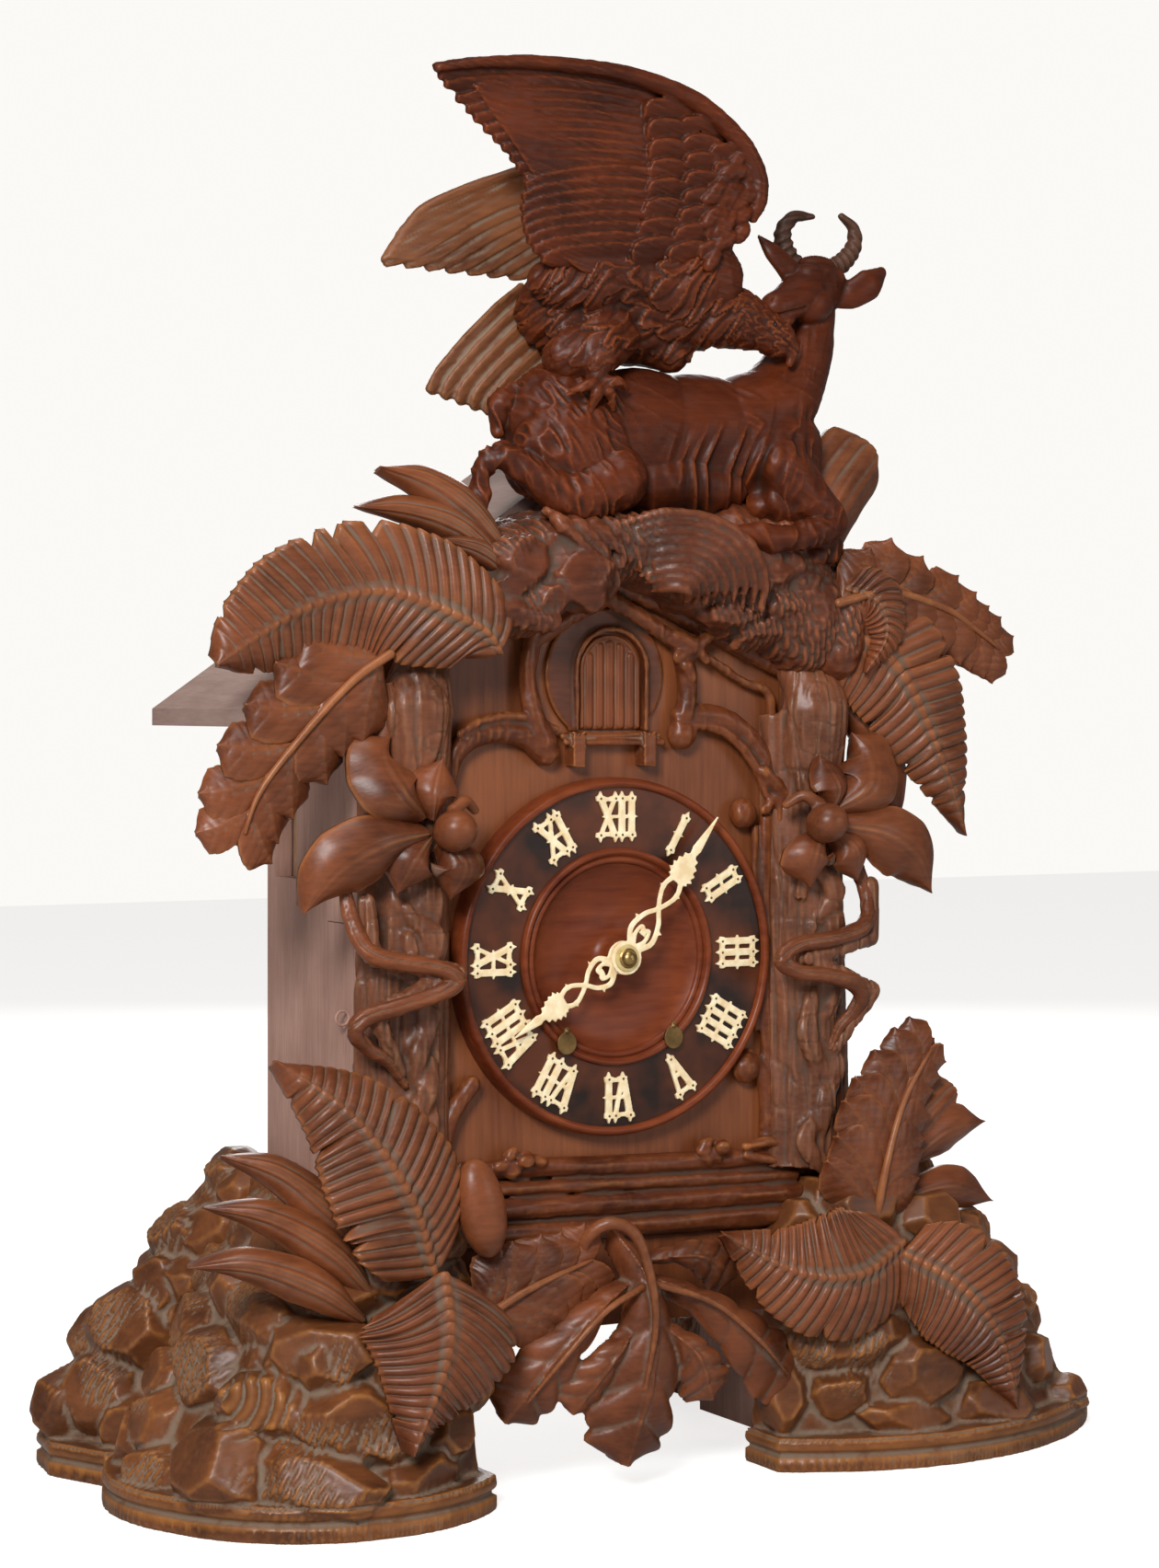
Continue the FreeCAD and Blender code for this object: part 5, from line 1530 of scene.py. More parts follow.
# ---- crest --------------------------------------------------------------------------------------
@dataclass
class Crest:
    """The rocky hill on the gable, with its grass swirl."""

    seed: int = 21
    voxel: float = 1.5
    back: float = -74.0

    def build(self) -> None:
        """Carves the hill."""
        random = np.random.default_rng(self.seed)
        lumps = self._ground(random) + self._stones(random) + self._grass()
        hill = MAKER.carve("crest_hill", lumps, self.voxel, 1, self._relief)
        points, _ = MAKER.read(hill)
        points[:, 1] = np.minimum(points[:, 1], self.back)
        MAKER.write(hill, points)
        MAKER.finish(hill, CREST_WOOD, "carved_walnut", nodes=["crest_rocks"])

    def _ground(self, random: np.random.Generator) -> list[Lump]:
        """The lumpy earth under everything.

        Args:
            random: source of the small shifts.

        Returns:
            Two shells for each top.
        """
        tops = ((-118, 586, 24), (-96, 606, 26), (-72, 622, 28), (-44, 630, 30), (-12, 630, 30),
                (20, 636, 30), (52, 640, 28), (86, 642, 28), (104, 640, 26), (122, 628, 26), (142, 610, 24),
                (158, 598, 18))
        lumps = []
        for x, top, size in tops:
            low = 592 - 0.42 * abs(x + 4)
            middle, half = (top + low) / 2, (top - low) / 2 + 4
            lumps.append(egg((x, -122, middle), (size * 1.3, 46, half)))
            lumps.append(egg((x + random.uniform(-8, 8), -136, middle - 2), (size * 1.25, 33, half - 2)))
        return lumps

    def _stones(self, random: np.random.Generator) -> list[Lump]:
        """Faceted stones and broken wood round the hill's foot.

        Args:
            random: source of the tilts and facets.

        Returns:
            Their shells.
        """
        out = np.array([-0.15, -0.96, 0.22])
        spots = ((-86, 597, 24, 19, -168), (-99, 577, 18, 13, -166), (-43, 590, 27, 25, -170),
                 (-68, 574, 20, 14, -168), (-95, 565, 34, 11, -164), (100, 594, 30, 17, -166),
                 (118, 576, 22, 14, -162), (84, 612, 18, 9, -160), (136, 590, 18, 20, -154),
                 (150, 600, 14, 12, -146), (-118, 600, 16, 14, -150), (-108, 616, 15, 10, -142),
                 (74, 566, 22, 10, -158), (104, 556, 24, 9, -154), (134, 556, 20, 11, -150),
                 (-10, 604, 20, 10, -166), (26, 600, 22, 9, -164), (110, 616, 22, 14, -160),
                 (136, 608, 18, 13, -154), (92, 600, 20, 11, -166))
        lumps = []
        for x, z, wide, tall, y in spots:
            way = unit(out + random.uniform(-0.25, 0.25, 3))
            lumps.append(stone(np.array([x, y + 6.0, z]), way, (tall * 1.1, wide * 1.1, 20), random))
        for k in range(12):
            spot = np.array([-110 + 23 * k, random.uniform(-110, -96), random.uniform(596, 612)])
            lumps.append(stone(spot, np.array([0, 0.3, 1.0]), (16, 20, 12), random))
        lumps.append(limb([(-68, -168, 560), (-96, -168, 566), (-124, -164, 576)], (9, 9, 5), 0.8))
        return lumps

    @staticmethod
    def _grass() -> list[Lump]:
        """A swirl of long blades that arch to the right and bend down, over a shorter tuft."""
        blades = []
        middle = np.array([16.0, 0.0, 570.0])
        for k in range(9):
            reach, line = 13 + 6.2 * k, []
            for step in range(7):
                angle = math.radians(128 - 20 * step - 1.5 * k)
                lift = -166 - 16 * math.sin(math.pi * step / 6) - 0.5 * k
                line.append(middle + (1.15 * reach * math.cos(angle), lift, 0.95 * reach * math.sin(angle)))
            blades.append(limb(line, (1.8, 3.6, 4.2, 4.2, 3.8, 3.0, 1.2), 1.1, 12))
        for k in range(6):
            x = -66 + 12 * k
            blades.append(limb([(x, -158, 630), (x + 8, -168, 620), (x + 22, -172, 606), (x + 26, -172, 594)],
                               (3, 5, 4, 1.6), 0.9, 12))
        return blades

    def _relief(self, points: np.ndarray, normals: np.ndarray) -> np.ndarray:
        """Gouge marks all over the rough ground.

        Args:
            points: places in millimetres.
            normals: ways out of the surface there; not used.

        Returns:
            One height for each point.
        """
        marks = chisel(points, np.array([0.35, 0.1, -0.93]), np.array([0.93, 0.1, 0.35]), 4.4)
        rough = np.clip(value_noise(points, 24.0, 4) * 2 + 0.5, 0, 1)
        calm = np.clip((-170 - points[:, 1]) / 6, 0, 1)
        lumpy = 2.0 * fractal(points, 24.0, 8) + 1.2 * fractal(points, 7.0, 9, 2)
        return lumpy * (1 - 0.7 * calm) + rough * (1 - 0.8 * calm) * (marks - 0.5) * 2.4


# ---- trunks --------------------------------------------------------------------------------------
@dataclass
class Trunk:
    """A bark-covered trunk beside the dial, with its bent twig."""

    side: int
    twig: tuple[Point, ...]
    twig_radii: tuple[float, ...] = (5.0, 5.6, 6.2, 5.6, 5.4, 6.4, 5.4, 5.4, 6.2, 5.8, 5.0, 4.0, 2.2)

    def build(self) -> None:
        """Carves the trunk and its twig."""
        name = "left_trunk" if self.side < 0 else "right_trunk"
        trunk = MAKER.carve(f"{name}_bark", [node_lump(name)] + self._burls(), 1.5, 3, self._bark)
        MAKER.finish(trunk, BARK, "carved_walnut", nodes=[name])
        twig = MAKER.carve(f"{name}_twig", [limb(self.twig, self.twig_radii, 0.85, 18)], 0.9, 1, self._rind)
        MAKER.finish(twig, WALNUT, "carved_walnut")

    def _burls(self) -> list[Lump]:
        """Rounded swellings down the trunk and over its broken top."""
        random = np.random.default_rng(40 + self.side)
        middle = self.side * 149
        lumps = [limb([(middle, -134, 470), (middle, -138, 505), (middle - self.side * 8, -132, 534)],
                      (24, 25, 17), 0.85)]
        for k in range(13):
            z = 214 + 24 * k
            lumps.append(limb([(middle + random.uniform(-17, 17), -136 - random.uniform(4, 10), z - 26),
                               (middle + random.uniform(-17, 17), -140 - random.uniform(4, 9), z),
                               (middle + random.uniform(-17, 17), -136 - random.uniform(4, 10), z + 26)],
                              (5, random.uniform(6, 9), 5), 0.6, 14))
        return lumps

    @staticmethod
    def _rind(points: np.ndarray, normals: np.ndarray) -> np.ndarray:
        """A long groove and small knots in the twig.

        Args:
            points: places in millimetres.
            normals: ways out of the surface there.

        Returns:
            One height for each point.
        """
        groove = -np.clip(0.2 - np.abs(normals[:, 2] - 0.15), 0, 1) * 5.0 * (normals[:, 1] < 0)
        return 0.45 * fractal(points, (14, 6, 6), 4) + groove

    @staticmethod
    def _bark(points: np.ndarray, normals: np.ndarray) -> np.ndarray:
        """Split upright bark with scratches and a few cross cracks.

        Args:
            points: places in millimetres.
            normals: ways out of the surface there; not used.

        Returns:
            One height for each point.
        """
        plates = fractal(points, (8, 8, 60), 3)
        cracks = -np.clip(0.2 - np.abs(value_noise(points, (8, 8, 70), 9)), 0, 1) * 10
        cross = -np.clip(0.06 - np.abs(value_noise(points, (34, 34, 16), 6)), 0, 1) * 12
        fine = value_noise(points, (2.6, 2.6, 26), 7)
        return 0.9 * plates + 0.7 * cracks + 0.8 * cross + 0.6 * fine


TRUNKS = (Trunk(-1, ((-202, -146, 394), (-198, -152, 368), (-188, -158, 352), (-166, -162, 346),
                     (-144, -164, 342), (-133, -164, 334), (-146, -164, 326), (-172, -162, 319),
                     (-193, -158, 313), (-199, -156, 304), (-190, -152, 294), (-174, -150, 284),
                     (-160, -146, 268))),
          Trunk(1, ((180, -146, 396), (184, -152, 372), (176, -158, 358), (152, -162, 351), (122, -164, 348),
                    (108, -164, 339), (120, -164, 330), (146, -162, 326), (168, -158, 320), (176, -156, 311),
                    (172, -152, 300), (164, -148, 290), (158, -146, 276))))


# ---- animals ---------------------------------------------------------------------------------------
def plumage(points: np.ndarray, flow: np.ndarray, length: float, width: float, height: float,
            seed: int = 0) -> np.ndarray:
    """Overlapping feathers or tufts that rise towards their tips and end in a step.

    Args:
        points: places in millimetres.
        flow: the way that the feathers point, a single direction.
        length: feather length.
        width: feather width.
        height: step at the tip.
        seed: picks another layout.

    Returns:
        One height for each point.
    """
    along, across, over = axes_about(flow, (0, -1, 0))
    bend = fractal(points, 24.0, seed, 2)
    t = (points @ across + 0.3 * (points @ over)) / width + 0.6 * bend
    column = np.floor(t)
    share = t - column
    s = points @ along / length + 0.5 * (column % 2) + 0.35 * np.sin(column * 7.1) + 0.5 * bend
    round_tip = 0.45 * (2 * share - 1) ** 2
    rise = (s + round_tip) % 1
    shaft = -0.25 * np.exp(-(((share - 0.5) / 0.09) ** 2))
    return height * (rise**1.3 + shaft - 0.5) * (0.55 + 0.45 * np.sin(math.pi * share))


def fur(points: np.ndarray, flow: Sequence[float], pitch: float, stretch: float, depth: float,
        seed: int = 0) -> np.ndarray:
    """Fur strokes that run along a direction.

    Args:
        points: places in millimetres.
        flow: the way that the fur lies.
        pitch: size of a stroke across.
        stretch: how many times longer it is than wide.
        depth: height of the strokes.
        seed: picks another layout.

    Returns:
        One height for each point.
    """
    along, across, over = axes_about(flow, (0, -1, 0))
    local = np.column_stack([points @ along / stretch, points @ across, points @ over * 0.6])
    return depth * (1 - 2 * np.abs(value_noise(local, pitch, seed)))


@dataclass
class Chamois:
    """The resting chamois with its head turned back."""

    voxel: float = 1.25

    def build(self) -> None:
        """Carves the body, then adds the eyes and the horns."""
        body = MAKER.carve("chamois_body", self.body() + self.legs() + self.head(), self.voxel, 5, self._coat)
        MAKER.finish(body, ANIMAL, "carved_walnut", nodes=["chamois"])
        self.horns()

    def body(self) -> list[Lump]:
        """Ribcage, belly, haunch, chest and neck."""
        return [egg((60, -130, 682), (64, 34, 43), (1, 0, 0.02)), egg((-30, -128, 686), (50, 34, 45)),
                egg((-38, -144, 672), (44, 24, 36), (1, 0, 0.35)), egg((16, -130, 682), (60, 33, 45)),
                egg((112, -134, 678), (38, 31, 42), (0.5, 0, 1)),
                egg((110, -148, 668), (26, 20, 34), (0.2, 0, 1)),
                limb([(92, -130, 690), (122, -131, 708), (141, -132, 736), (150, -132, 762),
                      (153, -132, 784)], (34, 29, 22, 17, 15)), egg((36, -136, 652), (60, 28, 24)),
                egg((-60, -140, 660), (24, 18, 22)),
                limb([(-74, -126, 706), (-84, -128, 698), (-86, -130, 682)], (8, 8, 4), sides=12)]

    def legs(self) -> list[Lump]:
        """The bent hind leg and the folded forelegs."""
        hind = limb([(-14, -156, 652), (-44, -158, 640), (-72, -156, 652), (-94, -152, 664)],
                    (21, 16, 11, 8.5))
        shank = limb([(-94, -152, 665), (-103, -150, 662), (-108, -148, 650), (-108, -148, 638)],
                     (8.5, 7, 6, 6))
        hoof = limb([(-108, -148, 640), (-112, -148, 629)], (7, 6), sides=14)
        upper = limb([(110, -152, 664), (126, -160, 646), (144, -166, 630)], (22, 17, 11))
        lower = limb([(146, -167, 627), (120, -172, 618), (92, -173, 616), (66, -172, 618)], (10, 9, 8, 5.5))
        second = limb([(104, -154, 640), (132, -156, 626), (152, -154, 610), (124, -156, 602),
                       (96, -158, 600)], (13, 10, 8, 7, 5))
        return [hind, shank, hoof, upper, lower, second]

    def head(self) -> list[Lump]:
        """Skull, muzzle, cheeks, brow and ears."""
        skull = [egg((153, -134, 787), (20, 18, 18), (-0.8, -0.3, -0.3)),
                 limb([(150, -138, 787), (132, -146, 780), (118, -151, 773), (109, -153, 770)],
                      (17, 14.5, 12, 10.5)), egg((144, -145, 776), (18, 14, 14), (-0.8, -0.4, -0.45)),
                 egg((108, -153, 773), (7, 7.5, 6.5)),
                 egg((116, -153, 762), (10, 7.5, 5.5), (-0.8, -0.4, -0.4)),
                 egg((147, -150, 794), (9, 4.5, 3.6), (-0.8, -0.2, -0.4)), egg((164, -138, 793), (9, 10, 9)),
                 egg((152, -136, 801), (15, 11, 8)), egg((141, -144, 790), (13, 12, 12))]
        ears = [limb([(138, -138, 786), (127, -142, 797), (115, -140, 809), (107, -136, 819)],
                     (6, 8.5, 6.5, 1.6), 0.6, 16), limb([(162, -136, 779), (176, -142, 783), (190, -144, 791),
                                                         (203, -140, 800)], (5, 10, 11, 4.5), 0.6, 16)]
        return skull + ears

    def _coat(self, points: np.ndarray, normals: np.ndarray) -> np.ndarray:
        """Fur on the body, long strands under the belly, mouth and eye cuts in the face.

        Args:
            points: places in millimetres.
            normals: ways out of the surface there; not used.

        Returns:
            One height for each point.
        """
        x, z = points[:, 0], points[:, 2]
        face = np.clip((z - 755) / 12, 0, 1) * np.clip((x - 95) / 10, 0, 1)
        smooth_neck = np.clip((z - 715) / 25, 0, 1)
        rump = np.clip((10 - x) / 30, 0, 1)
        belly = np.clip((694 - z) / 26, 0, 1) * np.clip((x - 4) / 18, 0, 1) * np.clip((118 - x) / 14, 0, 1)
        chest = np.clip((x - 96) / 20, 0, 1) * np.clip((720 - z) / 20, 0, 1)
        height = fur(points, (1, 0, -0.5), 5.0, 3.5, 0.4, 1) * (1 - belly) * (1 - smooth_neck * 0.6)
        height += rump * fur(points, (0.5, 0, -1), 4.6, 3.0, 1.4, 2)
        wave = points.copy()
        wave[:, 0] += 15 * np.sin((z - 612) / 24)
        height += belly * fur(wave, (0.1, 0, -1), 9.5, 9.0, 3.2, 3)
        height += chest * fur(points, (-0.2, 0, -1), 5.5, 4.0, 1.4, 4)
        height += smooth_neck * (1 - face) * fur(points, (-0.3, 0, -1), 4.0, 5.0, 0.5, 5)
        height *= 1 - 0.85 * face
        mouth = np.abs((z - 764) - (x - 108) * 0.28) + np.clip(x - 130, 0, 50) + np.clip(94 - x, 0, 9)
        height -= 1.8 * np.exp(-((mouth / 1.3) ** 2)) * (points[:, 1] < -140)
        eye = np.linalg.norm((points - np.array([147, -152, 784.5])) * np.array([0.8, 0.6, 1.2]), axis=1)
        height -= 2.2 * np.exp(-((eye / 3.2) ** 2))
        nostril = np.linalg.norm(points - np.array([103, -158, 774]), axis=1)
        return height - 2.0 * np.exp(-((nostril / 1.9) ** 2))

    def horns(self) -> None:
        """Two hooked horns with rings."""
        lines = (((142, -133, 796), (132, -131, 810), (130, -130, 824), (138, -130, 834), (153, -130, 836)),
                 ((158, -133, 798), (174, -131, 804), (186, -130, 816), (187, -130, 829), (177, -130, 838)))
        horns = [limb(line, (7.4, 6.8, 5.8, 4.6, 2.4), sides=18) for line in lines]
        bases = [np.array(line[0]) for line in lines]

        def rings(points: np.ndarray, normals: np.ndarray) -> np.ndarray:
            """Rings that fade towards the tips."""
            away = np.min([np.linalg.norm(points - base, axis=1) for base in bases], axis=0)
            return 0.75 * np.clip(1.2 - away / 52, 0, 1) * np.sin(away * 2 * math.pi / 5.2)

        piece = MAKER.carve("chamois_horn_pair", horns, 0.9, 2, rings)
        MAKER.finish(piece, HORN_WOOD, "horn", nodes=["chamois_horns"])
        eye = MAKER.carve("chamois_eye", [egg((147.5, -151.6, 784.5), (3.1, 2.6, 2.6))], 0.6, 1)
        MAKER.finish(eye, EYE, "carved_walnut")


@dataclass
class Eagle:
    """The eagle that holds the chamois: torso, head, tail and two spread wings."""

    voxel: float = 1.3

    def build(self) -> None:
        """Carves the bird part by part."""
        self.torso()
        self.tail()
        self.near_wing()
        self.far_wing()

    def torso(self) -> None:
        """Body, neck, hooked beak and feathered legs with talons."""
        lumps = [egg((14, -124, 766), (60, 32, 37), (1, 0, 0.03)),
                 egg((-28, -120, 764), (38, 30, 31), (1, 0, 0.3)), egg((58, -132, 774), (36, 30, 32)),
                 egg((-14, -142, 782), (56, 20, 24), (1, 0, 0.1)),
                 egg((40, -148, 784), (42, 20, 26), (1, 0, 0.1)),
                 egg((-30, -142, 734), (30, 20, 20), (1, 0, 0.3)),
                 limb([(50, -134, 768), (78, -144, 763), (98, -150, 756), (110, -154, 749)],
                      (30, 22, 16, 13)),
                 limb([(110, -156, 748), (119, -158, 742), (117, -159, 732)], (8.5, 6, 2.4), sides=14),
                 limb([(-14, -140, 746), (-26, -154, 732), (-31, -160, 716)], (23, 16, 7)),
                 limb([(30, -128, 746), (40, -134, 738)], (20, 14))]
        foot = (-31, -163, 712)
        for dx, dz in ((-22, -8), (-6, -20), (12, -16), (24, -2)):
            knuckle = (foot[0] + dx * 0.5, foot[1] - 4, foot[2] + dz * 0.45 + 2)
            lumps.append(limb([foot, knuckle, (foot[0] + dx, foot[1] + 2, foot[2] + dz)], (4.6, 4.0, 1.6),
                              sides=12))
        body = MAKER.carve("eagle_body", lumps, self.voxel, 2, self._tufts)
        MAKER.finish(body, ANIMAL, "carved_walnut", nodes=["eagle"])
        eye = MAKER.carve("eagle_eye", [egg((101, -164, 757), (3.0, 2.4, 2.6))], 0.6, 1)
        MAKER.finish(eye, EYE, "carved_walnut")

    @staticmethod
    def _tufts(points: np.ndarray, normals: np.ndarray) -> np.ndarray:
        """Long curved tufts on the body, fine ones on the neck.

        Args:
            points: places in millimetres.
            normals: ways out of the surface there; not used.

        Returns:
            One height for each point.
        """
        x, z = points[:, 0], points[:, 2]
        neck = np.clip((x - 66) / 16, 0, 1)
        beak = np.clip((x - 112) / 6, 0, 1)
        legs = np.clip((738 - z) / 10, 0, 1)
        turn = points.copy()
        turn[:, 2] += 10 * np.sin(x / 26)
        body = plumage(turn, np.array([-0.8, 0, -0.6]), 31.0, 11.0, 3.8, 3)
        fine = plumage(points, np.array([-0.9, 0, 0.25]), 12.0, 5.5, 1.7, 5)
        height = body * (1 - neck) * (1 - 0.7 * legs) + fine * neck * (1 - beak)
        height += 0.5 * fractal(points, 7.0, 6) * (1 - beak)
        gape = np.abs((z - 742) + (x - 118) * 0.55) + np.clip(108 - x, 0, 9)
        return height - 1.3 * np.exp(-((gape / 1.0) ** 2)) * (points[:, 1] < -150)

    def tail(self) -> None:
        """A fan of straight tail feathers."""
        feathers = []
        for k in range(6):
            tip = (-119 + 9.6 * k, -100 - 1.2 * k, 707 - 3.0 * k)
            root = (-50 + 6.0 * k, -104 - 1.2 * k, 778 - 8.5 * k)
            middle = tuple((a + b) / 2 + c for a, b, c in zip(root, tip, (-2, -4, 2)))
            feathers.append(Leaf((root, middle, tip), 17, LeafKind.FEATHER, lean=-20, thick=5.5).lump())
        tail = MAKER.carve("eagle_tail_fan", feathers, 1.2, 1, lambda p,
                           n: fur(p, (-0.7, 0, -0.7), 2.8, 9.0, 0.3, 3))
        MAKER.finish(tail, FEATHERS, "carved_walnut")

    def feather(self, root: Sequence[float], tip: Sequence[float], width: float, lean: float, bow: float,
                thick: float = 4.0) -> Lump:
        """One wing feather that bows slightly upwards.

        Args:
            root: where it starts.
            tip: where it ends.
            width: its width.
            lean: how far its face is turned, in degrees.
            bow: how far its middle is raised.
            thick: its thickness.

        Returns:
            The closed shell.
        """
        a, b = np.array(root, dtype=float), np.array(tip, dtype=float)
        middle = (a + b) / 2 + np.array([0, -2.0, bow])
        return Leaf((tuple(a), tuple(middle), tuple(b)), width, LeafKind.FEATHER, lean=lean,
                    thick=thick).lump()

    def near_wing(self) -> None:
        """The big raised wing: rim, flight feathers, and rows of coverts."""
        trailing = curve_through([(-144, 905), (-137, 895), (-123, 882), (-112, 872), (-99, 861), (-89, 851),
                                  (-80, 840)], 60)
        inner = curve_through([(-80, 838), (-83, 824), (-82, 810), (-77, 798), (-66, 787)], 40)
        outline = [(-118, 896), (-79, 911), (-42, 912), (-6, 909), (30, 901), (55, 891), (72, 872), (84, 854),
                   (87, 838), (82, 820), (70, 804), (56, 780), (10, 774), (-40, 784), (-70, 800), (-72, 838),
                   (-90, 862)]
        lumps = [prism(outline, -160, -152)]
        count = 12
        for k in range(count):
            share = k / (count - 1)
            x, z = trailing[int(share * 59)]
            root = (52 - 10 * share, -156.5, 900 - 56 * share)
            lumps.append(self.feather(root, (x, -157, z), 14.0, -27, 9 - 7 * share, 5.5))
        for k in range(8):
            share = (k + 0.4) / 7.6
            x, z = inner[int(share * 39)]
            root = (46 - 10 * share, -159, 846 - 50 * share)
            lumps.append(self.feather(root, (x, -159, z), 15.0, -27, 7 - 4 * share, 5.5))
        for row, (tip_x, root_x, high, low,
                  size) in enumerate(((2, 44, 893, 796, 15), (28, 66, 884, 796, 13), (50, 80, 868, 800, 11))):
            steps = int((high - low) / (size * 0.8))
            for k in range(steps):
                share = (k + 0.5) / steps
                z = high - share * (high - low)
                bend = 10 * math.sin(math.pi * share)
                root = (root_x - 12 * share, -161.5 - 2.0 * row, z - 2)
                tip = (tip_x + bend - 10 * share, -163.5 - 2.0 * row, z + 2 - 10 * share)
                lumps.append(self.feather(root, tip, size * 1.2, -24, 3, 5.5))
        random = np.random.default_rng(31)
        for k in range(34):
            x, z = random.uniform(50, 86), random.uniform(792, 864)
            if x > 87 - 0.55 * max(0.0, 838 - z) or x > 87 - 0.8 * max(0.0, z - 850):
                continue
            lumps.append(egg((x, -168, z), (9, 4.4, 5), (-0.8, 0, random.uniform(-1.2, -0.3))))
        lumps.append(limb([(-143, -159, 905), (-112, -161, 911), (-79, -162, 914), (-42, -163, 914),
                           (-6, -165, 911), (28, -166, 903), (51, -167, 892), (71, -168, 876),
                           (82, -168, 862), (87, -168, 849), (87, -167, 836), (84, -166, 826)],
                          (2.4, 3.6, 4.4, 5.0, 5.6, 6.0, 6.2, 6.4, 6.4, 6.4, 6.0, 3.6), 1.1, 16))
        lumps.append(limb([(56, -152, 786), (34, -146, 780), (6, -140, 772)], (26, 28, 26), 0.55))
        wing = MAKER.carve("eagle_near_wing_feathers", lumps, 1.0, 0, self._barbs)
        MAKER.finish(wing, ANIMAL, "carved_walnut", nodes=["eagle_near_wing"])

    @staticmethod
    def _barbs(points: np.ndarray, normals: np.ndarray) -> np.ndarray:
        """Fine barbs and knife marks along the feathers.

        Args:
            points: places in millimetres.
            normals: ways out of the surface there; not used.

        Returns:
            One height for each point.
        """
        return fur(points, (-1, 0, 0.25), 2.6, 7.0, 0.28, 6) + 0.25 * fractal(points, 9.0, 3)

    def far_wing(self) -> None:
        """The lower wing behind: eight long fanned feathers under a rim."""
        lumps = [prism([(-148, 793), (-132, 816), (-110, 833), (-44, 858), (10, 865), (8, 804), (-48, 794),
                        (-110, 792)], -96, -89)]
        for k in range(8):
            share = k / 7
            tip = (-149 + 104 * share, -93 - 0.4 * k, 791 - 4 * share)
            root = (-8 + 20 * share, -93 - 0.4 * k, 858 - 40 * share)
            lumps.append(self.feather(root, tip, 18.0, 24, 9 - 6 * share, 5))
        lumps.append(limb([(-149, -92, 793), (-132, -92, 815), (-110, -92, 832), (-44, -92, 857),
                           (10, -92, 864)], (2, 3.2, 4, 4.6, 5), 1.1, 14))
        wing = MAKER.carve("eagle_far_wing_feathers", lumps, 1.3, 1, lambda p,
                           n: fur(p, (-1, 0, -0.5), 2.8, 9.0, 0.3, 8))
        MAKER.finish(wing, FEATHERS, "carved_walnut", nodes=["eagle_far_wing"])


def cuckoo_bird() -> None:
    """The little painted cuckoo: body, head, folded wings, tail and open bill."""
    lumps = [limb([(0, -70, 503), (0, -82, 507), (0, -92, 513)], (4.5, 8, 7)),
             egg((0, -96, 517), (6.6, 6.6, 6.6)),
             limb([(0, -101, 518.5), (0, -108, 519.5)], (2.0, 0.7), sides=10),
             limb([(0, -101, 515.5), (0, -107, 513.5)], (1.8, 0.7), sides=10),
             egg((-6.6, -82, 508), (10, 2.4, 5), (0, 1, -0.35)),
             egg((6.6, -82, 508), (10, 2.4, 5), (0, 1, -0.35)),
             limb([(0, -70, 503), (0, -62, 500)], (3.6, 1.6), 0.5)]
    bird = MAKER.carve("cuckoo_bird", lumps, 0.6, 1, lambda p, n: 0.25 * fractal(p, (3, 3, 3), 4))
    MAKER.finish(bird, FEATHER_PAINT, "bird_paint", body="cuckoo", feel=False)


